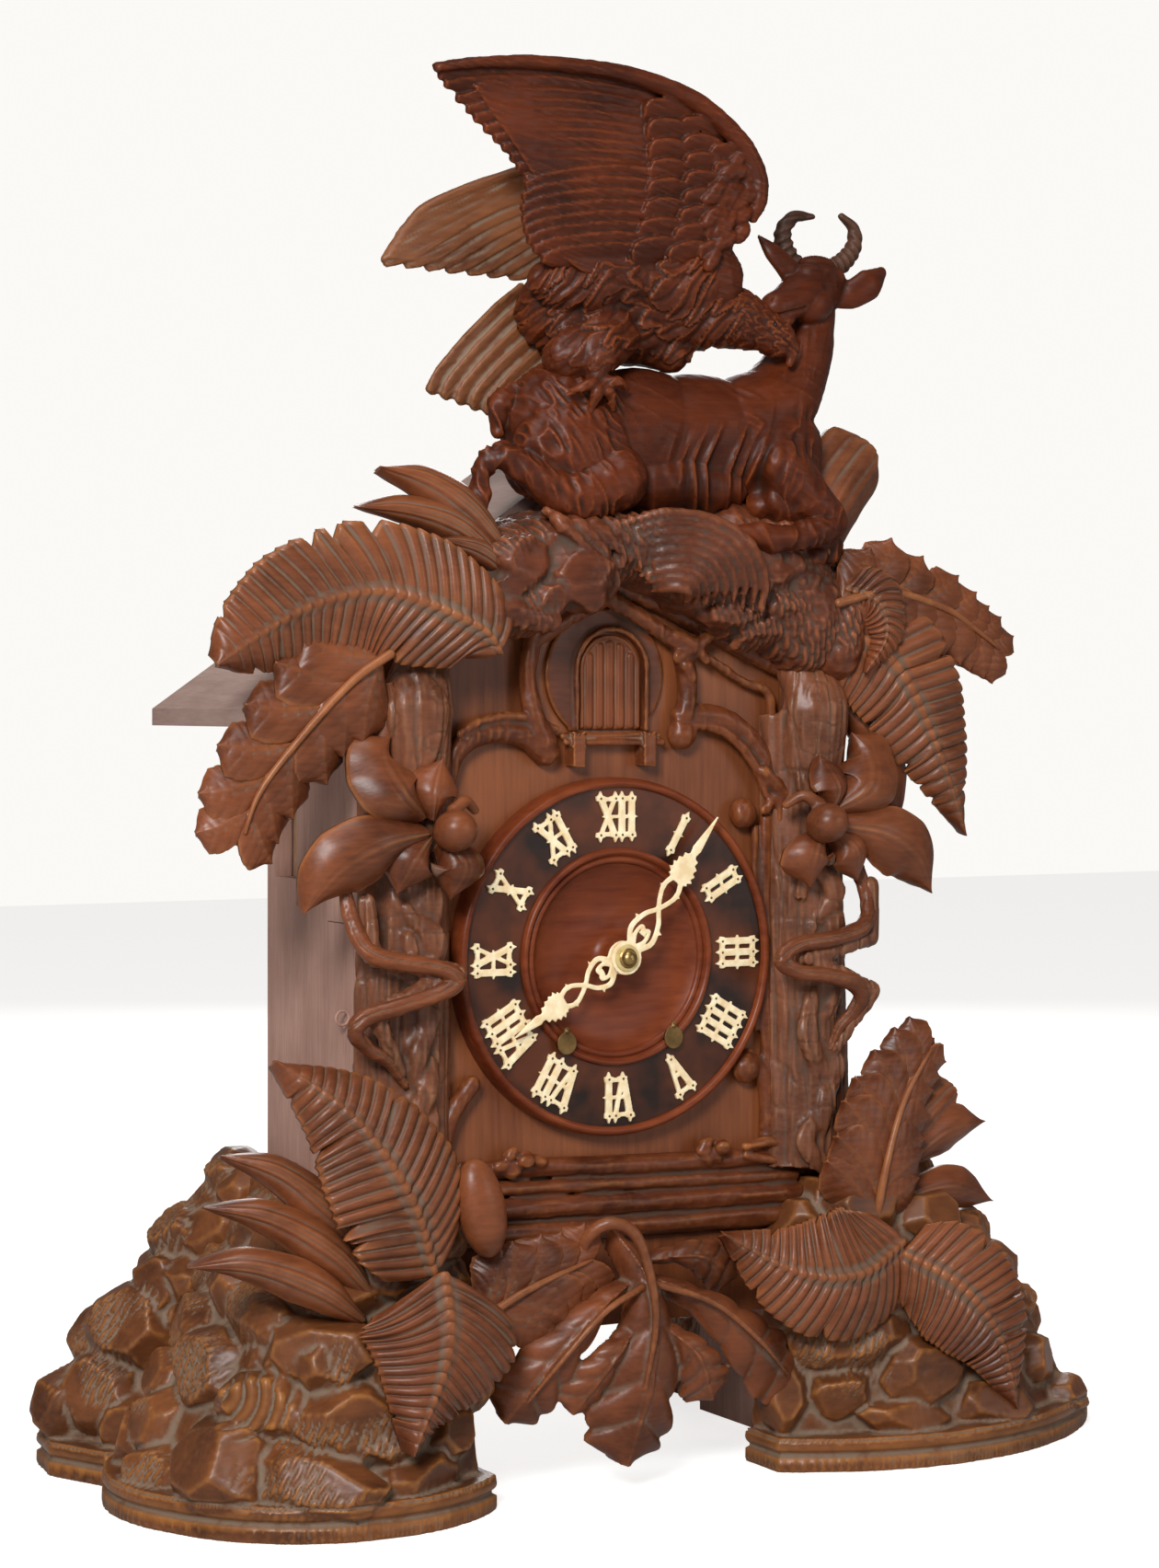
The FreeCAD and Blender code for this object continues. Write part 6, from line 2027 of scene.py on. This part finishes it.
# ---- front ---------------------------------------------------------------------------------------
@dataclass
class FrontCarving:
    """The little gabled house, the arches, the stiles and the rails round the dial."""

    plate_back: float = -119.0
    voxel: float = 1.25

    def build(self) -> None:
        """Carves the frame with its knobs in one piece, then the sill."""
        frame_piece = MAKER.carve("front_frame_logs", self.logs() + self.house() + self.rails(), self.voxel,
                                  2, self._bark)
        MAKER.finish(frame_piece, FRAME_WOOD, "carved_walnut", nodes=["front_frame"])
        self.sill()

    def log(self, points: Sequence[Sequence[float]], radii: Sequence[float], y: float = -124.0,
            flat: float = 0.9) -> Lump:
        """A log that lies against the board, through (x, z) points."""
        return limb([(x, y, z) for x, z in points], radii, flat, 16)

    def logs(self) -> list[Lump]:
        """Gable logs, arch logs, posts and their knots."""
        lumps = [self.log(((-4, 588), (-40, 571), (-80, 556), (-118, 541)), (6.5, 7, 7.5, 7), -128),
                 self.log(((-6, 577), (-34, 563), (-56, 549)), (6, 5.5, 5), -131),
                 self.log(((-4, 588), (40, 572), (84, 552), (134, 530)), (6.5, 7, 7.5, 7), -127),
                 self.log(((-6, 577), (22, 562), (50, 545)), (6, 5.5, 5), -131),
                 self.log(((-60, 552), (-64, 526), (-60, 500), (-52, 482)), (6.5, 5.5, 7.5, 9), -129),
                 self.log(((-50, 476), (-66, 487), (-90, 489), (-110, 481), (-121, 462), (-123, 434)),
                          (9.5, 8, 7.5, 7, 6.5, 5.5), -127),
                 self.log(((52, 545), (56, 520), (54, 500)), (8, 7, 7), -129),
                 self.log(((52, 499), (78, 499), (100, 489), (116, 470), (124, 446)), (7.5, 7.5, 7, 6.5, 6),
                          -127),
                 self.log(((48, 493), (74, 492), (93, 482), (108, 464), (116, 446)), (3.5, 3.5, 3.5, 3.5, 3),
                          -131),
                 self.log(((-44, 491), (-70, 499), (-96, 497), (-114, 488)), (2.5, 3, 3, 2.5), -131)]
        lumps += [self.log(((44, 552), (58, 546), (70, 552)), (4, 6, 4), -134),
                  self.log(((46, 538), (58, 544), (68, 536)), (4, 5, 3), -134),
                  self.log(((52, 532), (56, 524)), (5, 3.5), -134), egg((52, -128, 487), (10.5, 8, 10.5))]
        lumps += [self.log(((67, 541), (100, 522), (120, 513), (122, 480)), (3, 3, 3.5, 3), -128),
                  self.log(((133, 524), (133, 490), (132, 462)), (4.5, 4.2, 4.2), -128),
                  self.log(((143, 518), (143, 488), (142, 462)), (3.6, 3.4, 3.4), -127)]
        lumps += [self.log(((112, 462), (128, 448), (144, 438)), (4, 5.5, 3.5), -134),
                  self.log(((146, 462), (130, 450), (114, 436)), (3.5, 5, 3.5), -132),
                  self.log(((128, 466), (127, 448), (126, 430)), (3, 5, 3), -133),
                  egg((100, -127, 434), (9.5, 9, 10)), egg((102, -127, 264), (10, 9, 10.5)),
                  self.log(((104, 272), (114, 262), (119, 244), (119, 214)), (5, 6, 5, 5), -126),
                  self.log(((-124, 226), (-118, 246), (-104, 264)), (5.5, 6.5, 6), -128)]
        return lumps

    def house(self) -> list[Lump]:
        """The horseshoe panel and the ring round the little door."""
        middle, reach, foot, hinge = -4.0, 44.0, 489.0, (0.0, 530.0)
        panel = arc((middle, 526), reach, -52, 232, 40)
        ring = [(27.5, foot)] + arc(hinge, 27.5) + [(-27.5, foot), (-24.6, foot)]
        ring += arc(hinge, 24.6, 180, 0) + [(24.6, foot)]
        wall = [(-31, foot), (-24.8, foot)] + arc(hinge, 24.8)[::-1] + [(24.8, foot), (25, foot)]
        right = [p for p in panel if p[0] > middle]
        left = [p for p in panel if p[0] < middle + 0.02 * reach]
        return [prism(wall + right + left, -124.6, self.plate_back), prism(ring, -128.0, self.plate_back)]

    def rails(self) -> list[Lump]:
        """The bottom log rails with their knotted lumps, and the bark stile on the right."""
        random = np.random.default_rng(5)
        lumps = [self.log(((-104, 209), (-40, 207), (30, 204), (136, 202)), (6, 6.5, 6.5, 6), -126),
                 self.log(((-108, 196), (-30, 194), (40, 192), (140, 190)), (4.5, 4.5, 4.5, 4.5), -127),
                 self.log(((-110, 182), (-30, 181), (40, 179), (142, 178)), (7, 7, 7, 7), -127),
                 self.log(((-112, 166), (0, 165), (142, 164)), (7.5, 7.5, 7.5), -126),
                 self.log(((119, 430), (118, 360), (119, 290), (119, 214)), (4.6, 4.2, 4.4, 4.6), -126),
                 self.log(((111, 424), (111, 350), (112, 290)), (2.6, 2.6, 2.6), -125),
                 self.log(((100, 212), (118, 214), (138, 208)), (3.5, 3.5, 3), -132),
                 self.log(((100, 205), (118, 202), (138, 200)), (3, 3, 3), -132)]
        for x in (-70, 78):
            for _ in range(7):
                spot = random.normal(size=2) * (8, 4)
                lumps.append(egg((x + spot[0], -131, 211 + spot[1]), (6, 4, 4),
                                 (1, 0, random.uniform(-1, 1))))
            lumps.append(egg((x + 2, -135, 213), (5.5, 4, 4.5)))
        lumps.append(prism([(-116, 214), (142, 208), (142, 158), (-116, 158)], -122.5, self.plate_back))
        return lumps

    @staticmethod
    def _bark(points: np.ndarray, normals: np.ndarray) -> np.ndarray:
        """Light bark: long scratches along the logs and small dents.

        Args:
            points: places in millimetres.
            normals: ways out of the surface there; not used.

        Returns:
            One height for each point.
        """
        flat = np.clip((-125.0 - points[:, 1]) / 2, 0, 1)
        upright = value_noise(points, (3.0, 3.0, 18.0), 3)
        level = value_noise(points, (22.0, 3.0, 3.0), 4)
        share = np.clip((240 - points[:, 2]) / 20, 0, 1)
        return flat * (0.5 * (upright * (1 - share) + level * share) + 0.4 * fractal(points, 9.0, 5))

    def sill(self) -> None:
        """The crossbar under the door and its two stubs."""
        bars = [((-38, 486.2), (34, 486.6), 2.0, -129), ((-36, 482.4), (36, 481.6), 2.2, -130)]
        lumps = [self.log((a, b), (r, r), y) for a, b, r, y in bars]
        for x in (-28, 25):
            lumps.append(prism([(x - 4.6, 486), (x + 4.6, 486), (x + 4.2, 466), (x - 4.4, 466.5)], -134,
                               -119))
            lumps.append(prism([(x - 5.5, 489), (x - 3, 489), (x + 5.5, 479), (x + 3, 479)], -133.4, -122))
            lumps.append(prism([(x + 5.5, 489), (x + 3, 489), (x - 5.5, 479), (x - 3, 479)], -133.4, -122))
        bar = MAKER.carve("little_house_sill", lumps, 0.8, 1, lambda p, n: 0.3 * value_noise(p, (9, 2, 2), 4))
        MAKER.finish(bar, SLAT_WOOD, "carved_walnut")


@dataclass
class CuckooDoor:
    """The little slatted door."""

    half: float = 22.6
    sill: float = 490.4
    spring: float = 530.0
    front: float = -125.2
    back: float = -121.4

    def build(self) -> None:
        """Makes the leaf of the door and its five raised slats."""
        middle, rim_reach = (0.0, self.spring), 20.9
        arch = arc(middle, self.half)
        lumps = [prism([(self.half, self.sill)] + arch + [(-self.half, self.sill)], self.front + 1.8,
                       self.back)]
        for k in range(5):
            x = -15.6 + 7.8 * k
            top = self.spring + math.sqrt(19.0**2 - x * x) - 1
            ends = [(x, self.front + 1.4, z) for z in (self.sill + 3, top - 2)]
            lumps.append(limb(ends, (2.9, 2.9), 0.55, 12))
        rim = [(rim_reach, self.sill + 2)] + arc(middle, rim_reach) + [(-rim_reach, self.sill + 2)]
        lumps.append(limb([(x, self.front + 1.7, z) for x, z in rim], (1.5, 1.5), 1.0, 10))
        door = MAKER.carve("cuckoo_door_slats", lumps, 0.55, 1, lambda p,
                           n: 0.12 * value_noise(p, (2, 2, 14), 4))
        MAKER.finish(door, SLAT_WOOD, "carved_walnut", body="cuckoo_door", nodes=["cuckoo_door"])


# ---- dial ----------------------------------------------------------------------------------------
def turned(name: str, profile: Sequence[tuple[float, float]], centre: tuple[float, float], steps: int = 144,
           closed: bool = False) -> bpy.types.Object:
    """Spins a profile of (radius, y) points about an axis through the dial plane.

    Args:
        name: the piece's name.
        profile: the points; one that is not closed starts and ends on the axis.
        centre: the axis, as (x, z).
        steps: divisions round the axis.
        closed: whether the profile is a loop away from the axis.

    Returns:
        The piece.
    """
    verts = np.array([(centre[0] + r, y, centre[1]) for r, y in profile])
    mesh = bpy.data.meshes.new(name)
    edges = [(k, k + 1) for k in range(len(profile) - 1)] + ([(len(profile) - 1, 0)] if closed else [])
    mesh.from_pydata(LAYOUT.to_frame(verts).tolist(), edges, [])
    made = bpy.data.objects.new(name, mesh)
    bpy.context.collection.objects.link(made)
    clear_selection()
    made.select_set(True)
    bpy.context.view_layer.objects.active = made
    bpy.ops.object.mode_set(mode="EDIT")
    bpy.ops.mesh.select_all(action="SELECT")
    middle = LAYOUT.to_frame(np.array([centre[0], 0, centre[1]]))
    bpy.ops.mesh.spin(steps=steps, angle=2 * math.pi, center=tuple(middle), axis=(0, 1, 0))
    bpy.ops.mesh.select_all(action="SELECT")
    bpy.ops.mesh.remove_doubles(threshold=0.00002)
    bpy.ops.mesh.normals_make_consistent(inside=False)
    bpy.ops.object.mode_set(mode="OBJECT")
    return made


@dataclass
class Dial:
    """The turned dial: moulded rims, a dark chapter ring and a polished dish."""

    centre: tuple[float, float] = LAYOUT.dial_centre
    back: float = -121.2

    def build(self) -> None:
        """Turns the four rings, drills the winding holes and dresses them."""
        ring = turned("chapter_ring", ((69, self.back), (69, -133), (90, -133.3), (111.5, -133),
                                       (111.5, self.back)), self.centre, closed=True)
        outer = turned("outer_rim",
                       ((110.5, self.back), (110.5, -134), (111.3, -136), (112.6, -137), (114.2, -136.9),
                        (115.6, -135.8), (116.4, -134), (117, -131), (117, self.back)), self.centre,
                       closed=True)
        inner = turned("inner_rim",
                       ((61, self.back), (61, -132.6), (62.2, -134), (63.6, -134.6), (65, -134),
                        (65.7, -133.4), (66.3, -134.6), (67.4, -136.4), (68.8, -137), (70.2, -136.4),
                        (71, -134.6), (71.2, -132), (71.2, self.back)), self.centre, closed=True)
        dish = turned("polished_dish",
                      ((0, self.back), (61.4, self.back), (61.4, -132.4), (58, -130.2), (52, -128),
                       (44, -126.6), (34, -126), (24, -126.4), (17, -127.8), (14, -129.2), (12.6, -130.8),
                       (10, -131.2), (0, -131.2)), self.centre)
        self.drill(ring, inner)
        rings = ((ring, EBONY), (outer, TURNED), (inner, TURNED), (dish, TURNED))
        for piece, finish in rings:
            MAKER.finish(piece, finish, "dial_black", nodes=["dial"], sharp=50, feel=False)

    def drill(self, *pieces: bpy.types.Object) -> None:
        """Cuts the two winding holes."""
        for x in (-40, 40):
            clear_selection()
            place = LAYOUT.to_frame(np.array([x, -128, 288]))
            bpy.ops.mesh.primitive_cylinder_add(vertices=40, radius=5.4 * MM, depth=40 * MM,
                                                location=tuple(place), rotation=(math.pi / 2, 0, 0))
            drill = bpy.context.object
            for piece in pieces:
                MAKER.modify(piece, "BOOLEAN", operation="DIFFERENCE", object=drill, solver="EXACT")
            bpy.data.objects.remove(drill)


Stroke = tuple[tuple[float, float], tuple[float, float], float]


@dataclass
class Numerals:
    """Twelve fretted bone numerals with their feet to the centre."""

    centre: tuple[float, float] = LAYOUT.dial_centre
    radius: float = 91.5
    front: float = -135.2
    back: float = -132.6
    half_height: float = 12.8
    pitch: float = 7.4
    bar: float = 4.6
    voxel: float = 0.55

    def build(self) -> None:
        """Cuts each numeral and sets it on the chapter ring."""
        signs = ("XII", "I", "II", "III", "IIII", "V", "VI", "VII", "VIII", "IX", "X", "XI")
        pins = []
        for hour, text in enumerate(signs):
            angle = math.radians(30 * hour)
            up = np.array([math.sin(angle), math.cos(angle)])
            right = np.array([up[1], -up[0]])
            middle = np.array(self.centre) + up * self.radius
            plates, holes = self.shape(text)
            lumps = [prism([middle + right * x + up * y for x, y in outline], self.front,
                           self.back) for outline in plates]
            piece = MAKER.carve(f"numeral_{text}", lumps, self.voxel, 1)
            MAKER.modify(piece, "DECIMATE", decimate_type="DISSOLVE", angle_limit=math.radians(6))
            MAKER.modify(piece, "TRIANGULATE")
            MAKER.finish(piece, BONE, "bone", nodes=["numerals"], sharp=35, feel=False)
            for x, y in holes:
                spot = middle + right * x + up * y
                pins.append(Lump(SMALL_PIN.verts * (0.85, 0.5, 0.85) + (spot[0], self.front, spot[1]),
                                 SMALL_PIN.faces))
        lump = merged(pins)
        heads = MAKER.mesh_piece("numeral_pins", lump.verts, lump.faces)
        MAKER.finish(heads, PIN, "brass", feel=False)

    def shape(self, text: str) -> tuple[list[list[tuple[float, float]]], list[tuple[float, float]]]:
        """Outlines and pin places of a numeral, about its middle.

        Args:
            text: its letters.

        Returns:
            The plates' outlines and the pins' places, in millimetres across and up.
        """
        widths = {"I": self.pitch, "V": 13.6, "X": 13.6}
        at = -sum(widths[letter] for letter in text) / 2
        plates: list[list[tuple[float, float]]] = []
        pins: list[tuple[float, float]] = []
        places = []
        for letter in text:
            x = at + widths[letter] / 2
            at += widths[letter]
            places.append(x)
            more, ends = self.letter(letter, x)
            plates += more
            for px, py in ends:
                plates += self.finial(px, 1 if py > 0 else -1)
                pins.append((px, py * 0.93))
        left, right = places[0], places[-1]
        lean = {"I": 0.0, "V": 5.6, "X": 5.6}
        h = self.half_height
        for side in (1, -1):
            spread_l = lean[text[0]] if (side > 0 or text[0] == "X") else 0
            spread_r = lean[text[-1]] if (side > 0 or text[-1] == "X") else 0
            if len(text) > 1 or text in ("V", "X") and side > 0 or text == "X":
                low, high = side * h * 0.78, side * h * 1.0
                plates.append([(left - spread_l, low), (right + spread_r, low), (right + spread_r, high),
                               (left - spread_l, high)])
        if len(text) > 1:
            plates.append([(left, -1.1), (right, -1.1), (right, 1.1), (left, 1.1)])
        for x, side in ((left, -1), (right, 1)):
            reach = self.bar / 2 if text[0 if side < 0 else -1] == "I" else 2.2
            plates.append([(x, 1.5), (x + side * (reach + 1.9), 0.2), (x + side * (reach + 1.9), -0.2),
                           (x, -1.5)])
        return plates, pins

    def letter(self, letter: str, x: float) -> tuple[list[list[tuple[float, float]]],
                                                     list[tuple[float, float]]]:
        """Strokes and stroke ends of one letter.

        Args:
            letter: I, V or X.
            x: its middle, across the numeral.

        Returns:
            The strokes' outlines and the places of their ends.
        """
        h, wide, thin, lean = self.half_height, self.bar, 3.0, 5.6
        strokes: list[Stroke]
        if letter == "I":
            strokes, ends = [((x, h), (x, -h), wide)], [(x, h), (x, -h)]
        elif letter == "V":
            strokes = [((x - lean, h), (x - 0.6, -h), wide), ((x + lean, h), (x + 0.6, -h), thin)]
            ends = [(x - lean, h), (x + lean, h), (x, -h)]
        else:
            strokes = [((x - lean, h), (x + lean, -h), wide), ((x + lean, h), (x - lean, -h), thin)]
            ends = [(x - lean, h), (x + lean, h), (x - lean, -h), (x + lean, -h)]
        return [self.stroke(*one) for one in strokes], ends

    @staticmethod
    def stroke(a: tuple[float, float], b: tuple[float, float], width: float) -> list[tuple[float, float]]:
        """A straight bar whose ends are square to the numeral."""
        half = width / 2
        return [(a[0] - half, a[1]), (b[0] - half, b[1]), (b[0] + half, b[1]), (a[0] + half, a[1])]

    def finial(self, x: float, side: int) -> list[list[tuple[float, float]]]:
        """A pointed end with two small thorns.

        Args:
            x: the stroke's middle, across the numeral.
            side: 1 for its top and -1 for its foot.

        Returns:
            The outline, in a list.
        """
        h = self.half_height
        tip = [(x - 2.9, side * (h - 2.6)), (x - 3.3, side * (h + 0.6)), (x - 1.5, side * (h + 0.9)),
               (x, side * (h + 4.2)), (x + 1.5, side * (h + 0.9)), (x + 3.3, side * (h + 0.6)),
               (x + 2.9, side * (h - 2.6))]
        return [tip if side < 0 else tip[::-1]]


SMALL_PIN = primitive_lump(bpy.ops.mesh.primitive_ico_sphere_add, subdivisions=2, radius=1.0)


@dataclass
class Hand:
    """A pierced bone hand: two crossed scrolls, a vine leaf and a spear."""

    body: str
    length: float
    angle: float
    front: float
    back: float
    scroll: float
    leaf: float
    leaf_half: float
    hub: float = 11.0
    centre: tuple[float, float] = LAYOUT.dial_centre
    voxel: float = 0.5

    def build(self) -> None:
        """Cuts the hand and sets it on its arbor."""
        turn = math.radians(self.angle)
        along = np.array([math.sin(turn), math.cos(turn)])
        across = np.array([along[1], -along[0]])
        lumps = []
        for outline in self.outlines():
            points = [np.array(self.centre) + along * s + across * t for s, t in outline]
            lumps.append(prism(points, self.front, self.back))
        piece = MAKER.carve(f"{self.body}_fretwork", lumps, self.voxel, 2)
        MAKER.finish(piece, BONE, "bone", body=self.body, nodes=[self.body], feel=False)

    def outlines(self) -> list[list[tuple[float, float]]]:
        """Flat outlines along and across the hand."""
        a, m, c = self.hub - 1, self.scroll * 0.62, self.scroll
        ring = np.linspace(0, 2 * math.pi, 48, endpoint=False)
        shapes = [[(self.hub * math.cos(t), self.hub * math.sin(t)) for t in ring]]
        for side in (1, -1):
            outer = [(a - 1, side * 4.2), (a + (m - a) * 0.30, side * 9.6), (a + (m - a) * 0.72, side * 6.6),
                     (m, side * 0.8), (m + (c - m) * 0.32, side * -3.6), (m + (c - m) * 0.68, side * -6.2),
                     (c + 2, side * -3.2)]
            shapes.append(self.strip(outer, (3.4, 3.6, 3.2, 3.0, 3.0, 3.0, 3.6)))
            curl = [(a, side * 1.2), (a + (m - a) * 0.22, side * 4.4), (a + (m - a) * 0.46, side * 3.6),
                    (a + (m - a) * 0.44, side * 1.0), (a + (m - a) * 0.30, side * 1.2)]
            shapes.append(self.strip(curl, (3.0, 2.6, 2.2, 2.2, 2.6)))
            shapes.append([(a + (m - a) * 0.48, side * 8.2), (a + (m - a) * 0.60, side * 12.4),
                           (a + (m - a) * 0.66, side * 6.8)])
            shapes.append([(m + (c - m) * 0.46, side * 4.0), (m + (c - m) * 0.66, side * 9.2),
                           (m + (c - m) * 0.72, side * 4.4)])
        half = self.leaf_half
        leaf = []
        start, end = self.scroll - 1, self.leaf
        for share, reach in ((0, 0.3), (0.10, 0.86), (0.16, 0.7), (0.26, 1.06), (0.33, 0.8), (0.46, 0.98),
                             (0.52, 0.72), (0.66, 0.84), (0.72, 0.52), (0.86, 0.6), (0.9, 0.3), (1, 0.22)):
            leaf.append((start + (end - start) * share, half * reach))
        shapes.append(leaf + [(s, -t) for s, t in leaf[::-1]])
        spear = [(end - 3, 1.6), (end + (self.length - end) * 0.12, 3.4), (self.length, 0.35)]
        shapes.append(spear + [(s, -t) for s, t in spear[::-1]])
        return shapes

    @staticmethod
    def strip(line: Sequence[tuple[float, float]], widths: Sequence[float]) -> list[tuple[float, float]]:
        """The outline of a curved strip.

        Args:
            line: points along its middle.
            widths: widths along it.

        Returns:
            The outline's points.
        """
        path = curve_through(line, 30)
        half = np.interp(np.linspace(0, 1, 30), np.linspace(0, 1, len(widths)), widths)[:, None] / 2
        heading = unit(np.gradient(path, axis=0))
        side = np.column_stack([-heading[:, 1], heading[:, 0]])
        return [tuple(p) for p in np.vstack([path + side * half, (path - side * half)[::-1]])]


@dataclass
class Fittings:
    """Brass hand nut with its bone collar, and the two keyhole covers."""

    centre: tuple[float, float] = LAYOUT.dial_centre

    def build(self) -> None:
        """Turns the nut and collar and stamps the covers."""
        collar = turned("hand_collar", ((2.2, -144.0), (8.8, -144.0), (9.2, -146.0), (8.6, -147.4),
                                        (6.4, -147.9), (2.2, -147.9)), self.centre, 64, True)
        MAKER.finish(collar, BONE_AGED, "bone", body="minute_hand", sharp=50, feel=False)
        nut = turned("hand_nut_dome",
                     ((0, -146.8), (6.2, -146.8), (6.5, -148.4), (5.9, -149.0), (5.3, -149.2), (4.9, -150.6),
                      (3.6, -152.0), (1.8, -152.8), (0.7, -152.9), (0, -152.2)), self.centre, 64)
        MAKER.finish(nut, BRASS, "brass", body="minute_hand", nodes=["hand_nut"], sharp=50, feel=False)
        for x, name in ((-40, "left"), (40, "right")):
            cover = MAKER.carve(f"{name}_keyhole_disc", self.cover(x), 0.4, 2)
            MAKER.finish(cover, BRASS_AGED, "brass", body=f"{name}_keyhole_cover",
                         nodes=[f"{name}_keyhole_cover"], feel=False)

    @staticmethod
    def cover(x: float) -> list[Lump]:
        """A thin disc with an ear and its pin.

        Args:
            x: the disc's middle.

        Returns:
            The three shells.
        """
        ring = [(x + 7 * math.cos(t), 288 + 7.4 * math.sin(t)) for t in np.linspace(0, 2 * math.pi, 40,
                                                                                    endpoint=False)]
        ear = [(x - 2.4, 292), (x + 2.4, 292), (x + 2.0, 297.4), (x, 298.6), (x - 2.0, 297.4)]
        return [prism(ring, -138.7, -137.3), prism(ear, -138.7, -137.3),
                egg((x, -138.8, 295.6), (1.4, 1.0, 1.4))]


# ---- stage -----------------------------------------------------------------------------------
@dataclass
class Studio:
    """Floor, lights and camera."""

    heading: float = HEADING
    camera_place: Point = (-1098.5, -2064.4, 510.0)
    lens: float = 78.17
    shift: float = -0.054
    surround: float = 0.17
    backdrop: float = 0.97

    def build(self) -> None:
        """Makes the studio."""
        self.floor()
        self.lights()
        self.camera()

    def floor(self) -> None:
        """A plain pale floor."""
        clear_selection()
        bpy.ops.mesh.primitive_plane_add(size=12.0, location=(0, 0, 0))
        floor = bpy.context.object
        floor.name = "floor"
        shade = bpy.data.materials.new("pale_floor")
        shade.use_nodes = True
        shader = shade.node_tree.nodes["Principled BSDF"]
        for label, value in (("Base Color", (0.55, 0.55, 0.54, 1)), ("Roughness", 0.95),
                             ("Specular IOR Level", 0.1), ("Emission Color", (0.76, 0.75, 0.74, 1))):
            shader.inputs[label].default_value = value
        seen = add_node(shade.node_tree.nodes, "LightPath")
        shade.node_tree.links.new(seen.outputs["Is Camera Ray"], shader.inputs["Emission Strength"])
        floor.data.materials.append(shade)

    def lights(self) -> None:
        """Soft light from the left front, weaker lamps in front, above and behind, and a pale surround."""
        world = bpy.data.worlds.new("pale_surround")
        world.use_nodes = True
        nodes, link = world.node_tree.nodes, world.node_tree.links.new
        shade = nodes["Background"]
        shade.inputs["Color"].default_value = (1.0, 0.98, 0.95, 1)
        seen = add_node(nodes, "LightPath")
        level = add_node(nodes, "MapRange", {"To Min": self.surround, "To Max": self.backdrop})
        link(seen.outputs["Is Camera Ray"], level.inputs["Value"])
        link(level.outputs["Result"], shade.inputs["Strength"])
        bpy.context.scene.world = world
        bpy.context.scene.view_settings.view_transform = "Standard"
        lamps = (("key", (-1.9, -2.2, 1.7), 0.75, 82.0), ("fill", (1.5, -2.5, 0.9), 1.2, 10.0),
                 ("top", (-0.6, -0.9, 2.7), 1.0, 20.0), ("back", (1.4, 2.6, 1.5), 1.4, 34.0))
        for name, place, size, power in lamps:
            data = bpy.data.lights.new(name, "AREA")
            data.shape = "SQUARE"
            data.size = size
            data.energy = power
            lamp = bpy.data.objects.new(name, data)
            lamp.location = place
            lamp.rotation_euler = (Vector((0, -0.05, 0.5)) - Vector(place)).to_track_quat("-Z",
                                                                                          "Y").to_euler()
            bpy.context.collection.objects.link(lamp)

    def camera(self) -> None:
        """A long lens at dial height, turned to see the clock's left side."""
        data = bpy.data.cameras.new("camera")
        data.sensor_width = 36.0
        data.lens = self.lens
        data.shift_y = self.shift
        camera = bpy.data.objects.new("camera", data)
        camera.location = LAYOUT.to_frame(np.array(self.camera_place))
        camera.rotation_euler = (math.pi / 2, 0, -math.radians(self.heading))
        bpy.context.collection.objects.link(camera)
        bpy.context.scene.camera = camera


def dress_frame_nodes() -> None:
    """Gives every CAD node that still shows its finish."""
    by_slot = {"carved_walnut": WALNUT, "stained_board": BOARD, "plank": PLANK, "dial_black": EBONY,
               "bone": BONE, "horn": HORN_WOOD, "brass": BRASS, "steel": STEEL, "pale_wood": PALE,
               "bird_paint": FEATHER_PAINT}
    slots = {part["node"]: part["material_slot"] for part in frame["record"]["subparts"]}
    for name, node in frame["nodes"].items():
        finish = ROOF if name.startswith("roof") else by_slot[slots[name]]
        node.data.materials.clear()
        node.data.materials.append(finish.material())


def main() -> None:
    """Builds the clock's looks, one sub-assembly after another."""
    logging.basicConfig(level=logging.INFO, format="%(message)s")
    dress_frame_nodes()
    Studio().build()
    Foliage().build()
    for foot in FEET:
        foot.build()
    Crest().build()
    for trunk in TRUNKS:
        trunk.build()
    Chamois().build()
    Eagle().build()
    cuckoo_bird()
    FrontCarving().build()
    CuckooDoor().build()
    Dial().build()
    Numerals().build()
    Hand("minute_hand", 114.0, 37.5, -146.5, -144.6, 62.0, 84.0, 10.0).build()
    Hand("hour_hand", 93.0, 238.5, -141.4, -139.6, 51.0, 70.0, 9.5).build()
    Fittings().build()


if __name__ == "__main__":
    main()
